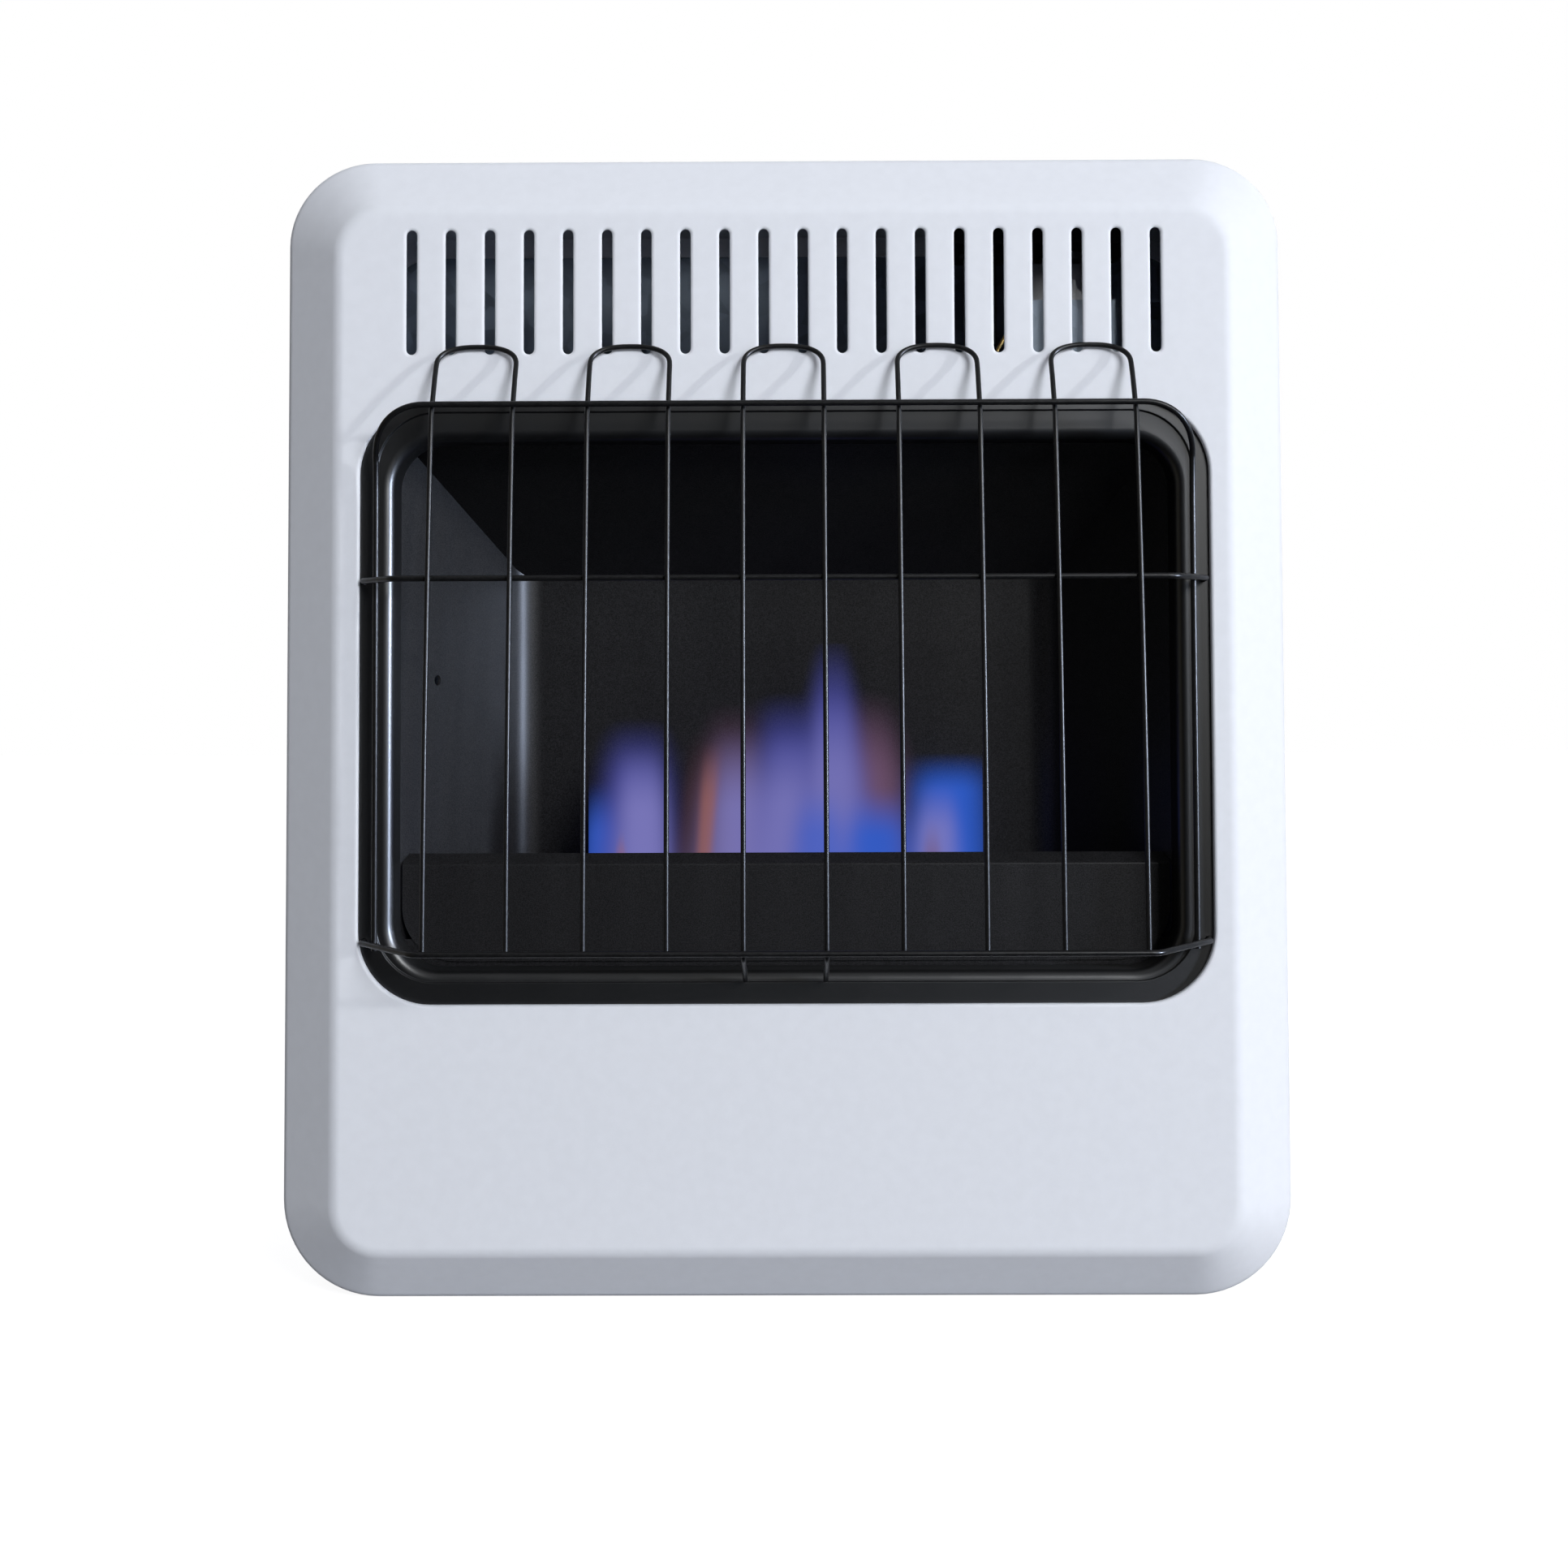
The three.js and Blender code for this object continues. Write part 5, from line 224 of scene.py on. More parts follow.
class HeaterCabinetSettings(bpy.types.PropertyGroup):
    depth: length("Depth", "Depth of the cabinet behind the face", 0.190)
    inset: length("Inset", "Distance of the wrap inside the cover's outline", 0.0018)
    wrap_start: length("Wrap start", "Depth at which the wrap begins", 0.029)
    deck_slots: count("Deck slots", "Number of slots in the top deck", 12)
    deck_slot_first: FloatProperty(
        name="First deck slot", description="Place of the first slot across the deck", default=-0.190,
        unit="LENGTH")
    deck_slot_pitch: length("Deck slot pitch", "Distance from slot to slot", 0.020)
    vent_count: count("Rear vents", "Number of vents in the rear panel", 9)
    vent_pitch: length("Rear vent pitch", "Distance from vent to vent", 0.030)


class HeaterFlameSettings(bpy.types.PropertyGroup):
    half_length: length("Half length", "Half of the length of the row of flames", 0.1065)
    foot: length("Foot", "Height at which the flames leave the burner", 0.2095)
    top: length("Top", "Height over which no flame rises", 0.336)
    strength: amount("Strength", "Brightness of the flames", 1.0)
    blue: colour("Blue", "Colour of the flames' bases", (0.028, 0.105, 0.560))
    lilac: colour("Lilac", "Colour of the flames' bodies", (0.205, 0.195, 0.500))
    violet: colour("Violet", "Colour of the flames' tops", (0.070, 0.075, 0.330))
    orange: colour("Orange", "Colour of the sooty streaks", (0.330, 0.120, 0.075))
    rose: colour("Rose", "Colour of the warm flanks", (0.180, 0.095, 0.170))
    soot: colour("Soot", "Colour of the dim flank", (0.070, 0.035, 0.045))


class HeaterFinishSettings(bpy.types.PropertyGroup):
    white: colour("White enamel", "Colour of the cover and the cabinet", (0.800, 0.830, 0.905))
    black: colour("Black enamel", "Colour of the firebox", (0.0122, 0.0122, 0.0136))
    bezel: colour("Bezel black", "Colour of the bezel", (0.0012, 0.0012, 0.0012))
    wire: colour("Guard wire", "Colour of the wire guard", (0.0065, 0.0066, 0.0072))
    # The zinc's blue tint is painted light: it puts the bluish light seen inside the slots into the colour of
    # the galvanised sheets.
    zinc: colour("Zinc", "Colour of the galvanised sheets", (0.385, 0.455, 0.545))
    steel: colour("Steel", "Colour of bare steel", (0.420, 0.415, 0.405))
    aluminium: colour("Aluminium", "Colour of castings and gas tubes", (0.600, 0.605, 0.620))
    brass: colour("Brass", "Colour of the brass fittings", (0.640, 0.430, 0.150))
    plastic: colour("Plastic", "Colour of the knob and the igniter", (0.016, 0.016, 0.017))
    ceramic: colour("Ceramic", "Colour of the electrode's insulator", (0.780, 0.760, 0.710))
    rubber: colour("Rubber", "Colour of the ignition wire", (0.30, 0.035, 0.025))
    pointer: colour("Pointer", "Colour of the knob's pointer", (0.74, 0.74, 0.72))


class HeaterStageSettings(bpy.types.PropertyGroup):
    camera_place: FloatVectorProperty(
        name="Camera place", description="Where the camera stands", default=(0.00447, -1.04549, 0.32289),
        size=3, unit="LENGTH", subtype="TRANSLATION")
    camera_pitch: angle("Camera pitch", "Angle at which the camera looks up", 2.216)
    camera_yaw: angle("Camera yaw", "Angle at which the camera looks left", 0.279)
    camera_roll: angle("Camera roll", "Angle at which the camera leans", -0.21)
    lens: FloatProperty(
        name="Lens", description="Focal length on a sensor 36 mm wide", default=42.857,
        subtype="DISTANCE_CAMERA")
    shift: FloatProperty(name="Shift", description="Upright shift of the lens", default=-0.12)
    key_power: power("Key power", "Power of the tall key light on the right", 20)
    sun_power: power("Sun power", "Power of the small light that gives the sharp shadows", 122)
    soft_power: power("Soft light power", "Power of the large soft light", 270)
    glint_power: power("Glint power", "Power of the low light that shows in the bends only", 360)
    floor_size: length("Floor size", "Width of the floor", 12)


# Paths and outlines


def lerp(low, high, share):
    return low + (high - low) * share


def smoothstep(value, low, high):
    share = min(max((value - low) / (high - low), 0), 1)
    return share * share * (3 - 2 * share)


def at_depth(x, depth, z):
    """A point given by its depth behind the cover's face."""
    return (x, FACE_Y + depth, z)


def bent_path(corners, radii, steps=BEND_STEPS):
    """Straight runs joined by round bends, in two or three dimensions."""
    corners = [Vector(corner) for corner in corners]
    if not isinstance(radii, (list, tuple)):
        radii = [radii] * (len(corners) - 2)
    path = [corners[0]]
    for before, corner, after, radius in zip(corners, corners[1:], corners[2:], radii):
        arriving = (corner - before).normalized()
        leaving = (after - corner).normalized()
        turn = arriving.angle(leaving)
        side = (leaving - arriving * arriving.dot(leaving)).normalized()
        entry = corner - arriving * radius * math.tan(turn / 2)
        for step in range(steps + 1):
            part = turn * step / steps
            path.append(entry + arriving * radius * math.sin(part) + side * radius * (1 - math.cos(part)))
    path.append(corners[-1])
    return path


def held_path(path, hold=HOLD):
    """The same path with a short run added at both ends of each long straight run."""
    held = [path[0]]
    for here, there in zip(path, path[1:]):
        run = there - here
        if run.length > 4 * hold:
            held += [here + run.normalized() * hold, there - run.normalized() * hold]
        held.append(there)
    return held


def offset_path(path, distance):
    """A flat path moved to the left of its direction."""
    moved = []
    for i, point in enumerate(path):
        before = (point - path[i - 1]).normalized() if i > 0 else None
        after = (path[i + 1] - point).normalized() if i < len(path) - 1 else None
        before = before or after
        after = after or before
        along = (before + after).normalized()
        spread = math.sqrt(max((1 + before.dot(after)) / 2, HOLD))
        moved.append(point + Vector((-along.y, along.x)) * distance / spread)
    return moved


def round_rectangle(left, right, foot, top, lower, upper, steps=CORNER_STEPS):
    """A rectangle with round corners, anticlockwise, with a short straight run beside each corner."""
    corners = (
        (right - lower, foot + lower, lower, 3),
        (right - upper, top - upper, upper, 0),
        (left + upper, top - upper, upper, 1),
        (left + lower, foot + lower, lower, 2),
    )
    outline = []
    for x, z, radius, quarter in corners:
        arc = []
        for step in range(steps + 1):
            turn = (quarter + step / steps) * math.pi / 2
            arc.append(Vector((x + radius * math.cos(turn), z + radius * math.sin(turn))))
        start = quarter * math.pi / 2
        outline.append(arc[0] + Vector((math.sin(start), -math.cos(start))) * HOLD)
        outline += arc
        outline.append(arc[-1] + Vector((-math.cos(start), -math.sin(start))) * HOLD)
    return outline


def round_outline(x, z, radius, sides=ROUND_SIDES):
    turns = [2 * math.pi * side / sides for side in range(sides)]
    return [Vector((x + radius * math.cos(turn), z + radius * math.sin(turn))) for turn in turns]


def slot_outline(x, z, width, slot_length, steps=10):
    """An upright slot with round ends."""
    outline = []
    for side, start in ((1, 0), (-1, math.pi)):
        for step in range(steps + 1):
            turn = start + math.pi * step / steps
            end = side * (slot_length - width) / 2
            outline.append(Vector((x + width / 2 * math.cos(turn), z + end + width / 2 * math.sin(turn))))
    return outline


class Skin:
    """The corners and faces of one piece, gathered ring by ring."""

    def __init__(self):
        self.corners = []
        self.faces = []

    def ring(self, points):
        first = len(self.corners)
        self.corners += [tuple(point) for point in points]
        return list(range(first, len(self.corners)))

    def ring_at_depth(self, outline, depth):
        return self.ring(at_depth(point[0], depth, point[1]) for point in outline)

    def ring_at_height(self, outline, z):
        return self.ring((point[0], point[1], z) for point in outline)

    def bridge(self, one, other, closed=True):
        total = len(one)
        for i in range(total if closed else total - 1):
            beside = (i + 1) % total
            self.faces.append((one[i], one[beside], other[beside], other[i]))

    def loft(self, rings, closed=True, around=False):
        for one, other in zip(rings, rings[1:]):
            self.bridge(one, other, closed)
        if around:
            self.bridge(rings[-1], rings[0], closed)

    def cap(self, ring):
        self.faces.append(tuple(ring))

    def fan(self, ring, centre):
        pole = self.ring([centre])[0]
        for i, corner in enumerate(ring):
            self.faces.append((corner, ring[(i + 1) % len(ring)], pole))

    def fill(self, *loops, across=1):
        """Triangles in a plane across one axis, inside the first loop and outside the others."""
        axes = [axis for axis in range(3) if axis != across]
        numbers = []
        polygons = []
        for loop in loops:
            polygons.append(list(range(len(numbers), len(numbers) + len(loop))))
            numbers += loop
        points = [Vector((self.corners[n][axes[0]], self.corners[n][axes[1]])) for n in numbers]
        _, _, faces, corner_origins, _, face_origins = delaunay_2d_cdt(
            points, [], polygons, FILL_INSIDE, MERGE_DISTANCE)
        origins = [numbers[origin[0]] for origin in corner_origins]
        for face, within in zip(faces, face_origins):
            if list(within) == [0]:
                self.faces.append(tuple(origins[i] for i in face))

    def turn(self, profile, place, sides=ROUND_SIDES, shape=None):
        """A turned body: profile points are (radius, height), and shape may change the radius around it."""
        x, y = place
        rings = []
        for radius, z in profile:
            if radius <= 0:
                rings.append((x, y, z))
                continue
            points = []
            for side in range(sides):
                turn = 2 * math.pi * side / sides
                reach = shape(radius, z, turn) if shape else radius
                points.append((x + reach * math.cos(turn), y + reach * math.sin(turn), z))
            rings.append(self.ring(points))
        for one, other in zip(rings, rings[1:]):
            if isinstance(one, tuple):
                self.fan(other, one)
            elif isinstance(other, tuple):
                self.fan(one, other)
            else:
                self.bridge(one, other)
        if not isinstance(rings[0], tuple) and not isinstance(rings[-1], tuple):
            self.bridge(rings[-1], rings[0])

    def plate(self, outline, holes, ends, across=1):
        """A flat plate with holes through it, between two depths (across 1) or two heights (across 2)."""
        ring_at = self.ring_at_depth if across == 1 else self.ring_at_height
        sides = []
        for level in ends:
            loops = [ring_at(loop, level) for loop in [outline, *holes]]
            self.fill(*loops, across=across)
            sides.append(loops)
        for one, other in zip(*sides):
            self.bridge(one, other)

    def prism(self, ends):
        """A closed body between two outlines with the same number of corners."""
        one, other = [self.ring(points) for points in ends]
        self.bridge(one, other)
        self.cap(one)
        self.cap(other)

    def box(self, low, high):
        (left, near, foot), (right, far, top) = low, high
        corners = ((left, near), (right, near), (right, far), (left, far))
        self.prism([[(x, y, z) for x, y in corners] for z in (foot, top)])


# Objects


def new_object(name, data):
    piece = bpy.data.objects.new(name, data)
    bpy.context.scene.collection.objects.link(piece)
    return piece


def new_mesh(name, corners, edges=(), faces=()):
    mesh = bpy.data.meshes.new(name)
    mesh.from_pydata(corners, edges, faces)
    return mesh


def smooth_faces(mesh):
    mesh.polygons.foreach_set("use_smooth", [True] * len(mesh.polygons))


def tidy_mesh(mesh):
    """Merges doubles, turns the faces out and smooths all but the sharp edges."""
    work = bmesh.new()
    work.from_mesh(mesh)
    bmesh.ops.remove_doubles(work, verts=work.verts, dist=MERGE_DISTANCE)
    bmesh.ops.dissolve_degenerate(work, edges=work.edges, dist=MERGE_DISTANCE)
    bmesh.ops.recalc_face_normals(work, faces=work.faces)
    work.to_mesh(mesh)
    work.free()
    smooth_faces(mesh)
    mesh.set_sharp_from_angle(angle=SHARP_ANGLE)


def skin_object(name, skin):
    mesh = new_mesh(name, skin.corners, faces=skin.faces)
    tidy_mesh(mesh)
    return new_object(name, mesh)


def bake_modifiers(piece):
    """Turns the evaluated object into a plain mesh."""
    graph = bpy.context.evaluated_depsgraph_get()
    mesh = bpy.data.meshes.new_from_object(piece.evaluated_get(graph))
    piece.modifiers.clear()
    piece.data = mesh
    mesh.name = piece.name


def carve(piece, skin, operation="DIFFERENCE"):
    """Cuts the bodies of a skin out of a piece, or keeps what lies inside them."""
    cutter = skin_object("cutter", skin)
    modifier = piece.modifiers.new("carve", "BOOLEAN")
    modifier.object = cutter
    modifier.operation = operation
    modifier.solver = "EXACT"
    bake_modifiers(piece)
    bpy.data.objects.remove(cutter)
    tidy_mesh(piece.data)


def finish_piece(piece, look, slot=None, body="heater", replaces=()):
    """Gives a piece its material and its body, and hides the CAD nodes that it stands for; its slot is not
    used.
    """
    wear(piece, look)
    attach(piece, body)
    slot or look
    if replaces:
        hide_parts(*replaces)


def wear(piece, look):
    piece.data.materials.clear()
    piece.data.materials.append(finish(look))


# Nodes


def set_inputs(tree, node, inputs):
    """Gives each named input of a node a value, or a link from another node's output."""
    for label, value in inputs.items():
        if isinstance(value, bpy.types.NodeSocket):
            tree.links.new(value, node.inputs[label])
        else:
            node.inputs[label].default_value = value


def add_node(tree, kind, inputs=None, **fields):
    node = tree.nodes.new(kind)
    for field, value in fields.items():
        setattr(node, field, value)
    set_inputs(tree, node, inputs or {})
    return node


def group_with(name, kind, inputs, outputs):
    group = bpy.data.node_groups.new(name, kind)
    for label, socket_kind, default in inputs:
        socket = group.interface.new_socket(label, in_out="INPUT", socket_type=socket_kind)
        if default is not None:
            socket.default_value = default
    for label, socket_kind in outputs:
        group.interface.new_socket(label, in_out="OUTPUT", socket_type=socket_kind)
    return group, group.nodes.new("NodeGroupInput").outputs, group.nodes.new("NodeGroupOutput")


def shared_group(name, builder):
    return bpy.data.node_groups.get(name) or builder(name)


# Geometry node groups


def swept_nodes(group, given):
    """The nodes that sweep a round section along a polyline; returns the swept mesh's socket."""
    curve = add_node(group, "GeometryNodeMeshToCurve", {"Mesh": given["Path"]})
    circle = add_node(group, "GeometryNodeCurvePrimitiveCircle", {
        "Resolution": given["Sides"], "Radius": given["Radius"]})
    sweep = add_node(group, "GeometryNodeCurveToMesh", {
        "Curve": curve.outputs["Curve"], "Profile Curve": circle.outputs["Curve"], "Fill Caps": True})
    return sweep.outputs["Mesh"]


def end_nodes(group, given, leave, made):
    """Ends a group with its copies made real and its material set."""
    real = add_node(group, "GeometryNodeRealizeInstances", {"Geometry": made})
    paint = add_node(group, "GeometryNodeSetMaterial", {
        "Geometry": real.outputs["Geometry"], "Material": given["Material"]})
    set_inputs(group, leave, {"Geometry": paint.outputs["Geometry"]})


def wire_group(name):
    """A round wire or tube along a polyline."""
    group, given, leave = group_with(name, "GeometryNodeTree", [
        ("Path", "NodeSocketGeometry", None),
        ("Radius", "NodeSocketFloat", 0.0015),
        ("Sides", "NodeSocketInt", WIRE_SIDES),
        ("Material", "NodeSocketMaterial", None),
    ], [("Geometry", "NodeSocketGeometry")])
    end_nodes(group, given, leave, swept_nodes(group, given))
    return group


def row_nodes(group, given, copied):
    """Copies in a row along X about the middle, without the one at the free place."""
    fewer = add_node(group, "ShaderNodeMath", {0: given["Count"], 1: 1}, operation="SUBTRACT")
    half = add_node(group, "ShaderNodeMath", {0: fewer.outputs["Value"], 1: -0.5}, operation="MULTIPLY")
    reach = add_node(group, "ShaderNodeMath", {
        0: half.outputs["Value"], 1: given["Pitch"]}, operation="MULTIPLY")
    start = add_node(group, "ShaderNodeCombineXYZ", {"X": reach.outputs["Value"]})
    offset = add_node(group, "ShaderNodeCombineXYZ", {"X": given["Pitch"]})
    line = add_node(group, "GeometryNodeMeshLine", {
        "Count": given["Count"], "Start Location": start.outputs["Vector"],
        "Offset": offset.outputs["Vector"]}, mode="OFFSET")
    index = add_node(group, "GeometryNodeInputIndex")
    other = add_node(group, "FunctionNodeCompare", {
        2: index.outputs["Index"], 3: given["Free place"]}, data_type="INT", operation="NOT_EQUAL")
    copies = add_node(group, "GeometryNodeInstanceOnPoints", {
        "Points": line.outputs["Mesh"], "Instance": copied, "Selection": other.outputs["Result"]})
    return copies.outputs["Instances"]


def rod_row_group(name):
    """Round wires along one polyline, repeated in a row with one place left free in the middle."""
    group, given, leave = group_with(name, "GeometryNodeTree", [
        ("Path", "NodeSocketGeometry", None),
        ("Radius", "NodeSocketFloat", 0.0013),
        ("Sides", "NodeSocketInt", WIRE_SIDES),
        ("Count", "NodeSocketInt", 5),
        ("Pitch", "NodeSocketFloat", 0.08),
        ("Free place", "NodeSocketInt", 2),
        ("Material", "NodeSocketMaterial", None),
    ], [("Geometry", "NodeSocketGeometry")])
    end_nodes(group, given, leave, row_nodes(group, given, swept_nodes(group, given)))
    return group


def scatter_group(name):
    """One body at each corner of a point mesh."""
    group, given, leave = group_with(name, "GeometryNodeTree", [
        ("Points", "NodeSocketGeometry", None),
        ("Body", "NodeSocketObject", None),
        ("Material", "NodeSocketMaterial", None),
    ], [("Geometry", "NodeSocketGeometry")])
    info = add_node(group, "GeometryNodeObjectInfo", {"Object": given["Body"]})
    copies = add_node(group, "GeometryNodeInstanceOnPoints", {
        "Points": given["Points"], "Instance": info.outputs["Geometry"]})
    end_nodes(group, given, leave, copies.outputs["Instances"])
    return group


def shape_with(piece, group, values):
    """Runs a geometry node group on a piece and keeps the plain mesh."""
    modifier = piece.modifiers.new(group.name, "NODES")
    modifier.node_group = group
    for item in group.interface.items_tree:
        if item.in_out == "INPUT" and item.name in values:
            modifier[item.identifier] = values[item.name]
    bake_modifiers(piece)
    tidy_mesh(piece.data)
    return piece


def path_object(name, stations):
    edges = [(i, i + 1) for i in range(len(stations) - 1)]
    return new_object(name, new_mesh(name, [tuple(station) for station in stations], edges))


def wire_piece(name, stations, radius, look, sides=WIRE_SIDES):
    return shape_with(path_object(name, stations), shared_group("wire_along_path", wire_group), {
        "Radius": radius, "Sides": sides, "Material": finish(look)})


def scattered_piece(name, places, skin, look):
    """One piece made of a small body repeated at each place."""
    body = skin_object("body", skin)
    points = new_object(name, new_mesh(name, places))
    piece = shape_with(points, shared_group("bodies_on_points", scatter_group), {
        "Body": body, "Material": finish(look)})
    bpy.data.objects.remove(body)
    return piece


# Shader node groups and materials


def grain_group(name):
    """Grain of a surface: a mask from 0 to 1 and a normal bumped by the same noise."""
    group, given, leave = group_with(name, "ShaderNodeTree", [
        ("Scale", "NodeSocketFloat", 600),
        ("Detail", "NodeSocketFloat", 3),
        ("Bump", "NodeSocketFloat", 0.2),
        ("Height", "NodeSocketFloat", 0.0001),
    ], [("Mask", "NodeSocketFloat"), ("Normal", "NodeSocketVector")])
    place = add_node(group, "ShaderNodeTexCoord")
    noise = add_node(group, "ShaderNodeTexNoise", {
        "Vector": place.outputs["Object"], "Scale": given["Scale"], "Detail": given["Detail"]})
    spread = add_node(group, "ShaderNodeMapRange", {
        "Value": noise.outputs["Fac"], "From Min": 0.3, "From Max": 0.7})
    bump = add_node(group, "ShaderNodeBump", {
        "Height": noise.outputs["Fac"], "Strength": given["Bump"], "Distance": given["Height"]})
    set_inputs(group, leave, {"Mask": spread.outputs["Result"], "Normal": bump.outputs["Normal"]})
    return group


def cell_group(name):
    """Crystal cells of hot dip zinc: a value for each cell."""
    group, given, leave = group_with(name, "ShaderNodeTree", [
        ("Scale", "NodeSocketFloat", 90),
    ], [("Mask", "NodeSocketFloat")])
    place = add_node(group, "ShaderNodeTexCoord")
    cells = add_node(group, "ShaderNodeTexVoronoi", {
        "Vector": place.outputs["Object"], "Scale": given["Scale"]})
    split = add_node(group, "ShaderNodeSeparateColor", {"Color": cells.outputs["Color"]})
    set_inputs(group, leave, {"Mask": split.outputs["Red"]})
    return group


def look_name(name):
    """The frame has plain materials of its own, so the names here differ from those."""
    return f"look_{name}"


def new_material(name):
    material = bpy.data.materials.new(look_name(name))
    material.use_nodes = True
    return material, material.node_tree, material.node_tree.nodes["Principled BSDF"]


def add_marks(tree, scale, detail, bump, height=0.0001):
    return add_node(tree, "ShaderNodeGroup", {
        "Scale": scale, "Detail": detail, "Bump": bump, "Height": height,
    }, node_tree=shared_group("surface_grain", grain_group))


def mix_colours(tree, mask, low, high, blend="MIX"):
    """Mixes two colours by a mask; each is a colour or another node's output."""
    low, high = (end if isinstance(end, bpy.types.NodeSocket) else (*end, 1) for end in (low, high))
    mix = add_node(tree, "ShaderNodeMix", {0: mask, 6: low, 7: high}, data_type="RGBA", blend_type=blend)
    return mix.outputs[2]


def map_value(tree, mask, low, high):
    """Maps a mask to a range of values."""
    spread = add_node(tree, "ShaderNodeMapRange", {"Value": mask, "To Min": low, "To Max": high})
    return spread.outputs["Result"]


def shade(tint, factor):
    return tuple(min(max(channel * factor, 0), 1) for channel in tint)


def set_surface(tree, surface, tint, spread, roughness, mask, normal):
    """Lets a surface's colour and roughness follow a mask."""
    set_inputs(tree, surface, {
        "Base Color": mix_colours(tree, mask, shade(tint, 1 - spread), shade(tint, 1 + spread)),
        "Roughness": map_value(tree, mask, *roughness),
        "Normal": normal,
    })


def grained_material(name, tint, spread, roughness, grain, metallic=0, specular=0.5):
    """A surface whose colour and roughness follow its grain: scale, detail, strength and height."""
    material, tree, surface = new_material(name)
    set_inputs(tree, surface, {"Metallic": metallic, "Specular IOR Level": specular})
    marks = add_marks(tree, *grain)
    set_surface(tree, surface, tint, spread, roughness, marks.outputs["Mask"], marks.outputs["Normal"])
    return material


def white_enamel(tint):
    """Baked white enamel with a faint orange peel."""
    return grained_material(
        "white_enamel", tint, spread=0.012, roughness=(0.52, 0.60), grain=(160, 2, 0.06, 0.0002),
        specular=0.12)


def black_enamel(tint):
    """Matt black heat paint with a fine tooth."""
    return grained_material(
        "black_enamel", tint, spread=0.85, roughness=(0.36, 0.46), grain=(1900, 2, 0.25), specular=0.22)


def bezel_enamel(tint):
    """The bezel's darker semi-gloss black."""
    return grained_material(
        "bezel_enamel", tint, spread=0.60, roughness=(0.34, 0.40), grain=(1900, 2, 0.20), specular=0.9)


def black_wire(tint):
    """Painted wire of the guard."""
    return grained_material(
        "black_wire", tint, spread=0.30, roughness=(0.30, 0.42), grain=(900, 2, 0.15), specular=0.3)


def galvanised(tint):
    """Galvanised sheet with its spangle, and a blue tint that is painted bluish light."""
    material, tree, surface = new_material("galvanised")
    set_inputs(tree, surface, {"Metallic": 0.9})
    cells = add_node(tree, "ShaderNodeGroup", {"Scale": 95}, node_tree=shared_group("zinc_cells", cell_group))
    marks = add_marks(tree, scale=500, detail=2, bump=0.08)
    set_surface(tree, surface, tint, spread=0.14, roughness=(0.34, 0.52),
                mask=cells.outputs["Mask"], normal=marks.outputs["Normal"])
    return material


def steel(tint):
    """Bare drawn steel."""
    return grained_material(
        "steel", tint, spread=0.16, roughness=(0.30, 0.46), grain=(350, 3, 0.05), metallic=1)


def cast_aluminium(tint):
    """Rough castings of the valve and the regulator."""
    return grained_material(
        "cast_aluminium", tint, spread=0.10, roughness=(0.45, 0.60), grain=(900, 3, 0.30), metallic=1)


def aluminium_tube(tint):
    """Smooth drawn gas tube."""
    return grained_material(
        "aluminium_tube", tint, spread=0.06, roughness=(0.22, 0.34), grain=(300, 2, 0.03), metallic=1)


def brass(tint):
    """Turned brass of the fittings."""
    return grained_material(
        "brass", tint, spread=0.10, roughness=(0.22, 0.38), grain=(320, 2, 0.04), metallic=1)


def black_plastic(tint, name="black_plastic"):
    """Moulded black plastic."""
    return grained_material(
        name, tint, spread=0.25, roughness=(0.38, 0.48), grain=(700, 2, 0.10))


def knob_plastic(tint):
    """Black plastic whose raised pointer is painted white."""
    material = black_plastic(tint, "knob_plastic")
    tree = material.node_tree
    surface = tree.nodes["Principled BSDF"]
    painted = add_node(tree, "ShaderNodeAttribute", attribute_name="pointer_paint")
    plain = surface.inputs["Base Color"].links[0].from_socket
    pointer = bpy.context.scene.heater_finish.pointer
    set_inputs(tree, surface, {"Base Color": mix_colours(tree, painted.outputs["Fac"], plain, pointer)})
    return material


def ceramic(tint):
    """Glazed ceramic of the electrode."""
    return grained_material(
        "ceramic", tint, spread=0.05, roughness=(0.20, 0.30), grain=(400, 2, 0.03))


def rubber(tint):
    """Silicone rubber of the ignition wire."""
    return grained_material(
        "rubber", tint, spread=0.20, roughness=(0.50, 0.62), grain=(600, 2, 0.08))


def flame(strength):
    """Glowing gas: its colour and cover come from the flame sheet's own attributes."""
    material, tree, surface = new_material("flame")
    glow = add_node(tree, "ShaderNodeAttribute", attribute_name="flame_colour")
    cover = add_node(tree, "ShaderNodeAttribute", attribute_name="flame_cover")
    set_inputs(tree, surface, {
        "Base Color": (0, 0, 0, 1),
        "Roughness": 1,
        "Specular IOR Level": 0,
        "Emission Color": glow.outputs["Color"],
        "Emission Strength": strength,
        "Alpha": cover.outputs["Fac"],
    })
    return material


# Each finish: the function that makes its material and the setting that holds its colour
FINISHES = {
    "white_enamel": (white_enamel, "white"),
    "black_enamel": (black_enamel, "black"),
    "bezel_enamel": (bezel_enamel, "bezel"),
    "black_wire": (black_wire, "wire"),
    "galvanised": (galvanised, "zinc"),
    "steel": (steel, "steel"),
    "cast_aluminium": (cast_aluminium, "aluminium"),
    "aluminium_tube": (aluminium_tube, "aluminium"),
    "brass": (brass, "brass"),
    "black_plastic": (black_plastic, "plastic"),
    "knob_plastic": (knob_plastic, "plastic"),
    "ceramic": (ceramic, "ceramic"),
    "rubber": (rubber, "rubber"),
}


def finish(name):
    """The material of a finish, made at its first use."""
    maker, tint = FINISHES[name]
    return bpy.data.materials.get(look_name(name)) or maker(getattr(bpy.context.scene.heater_finish, tint))


# Front cover and bezel


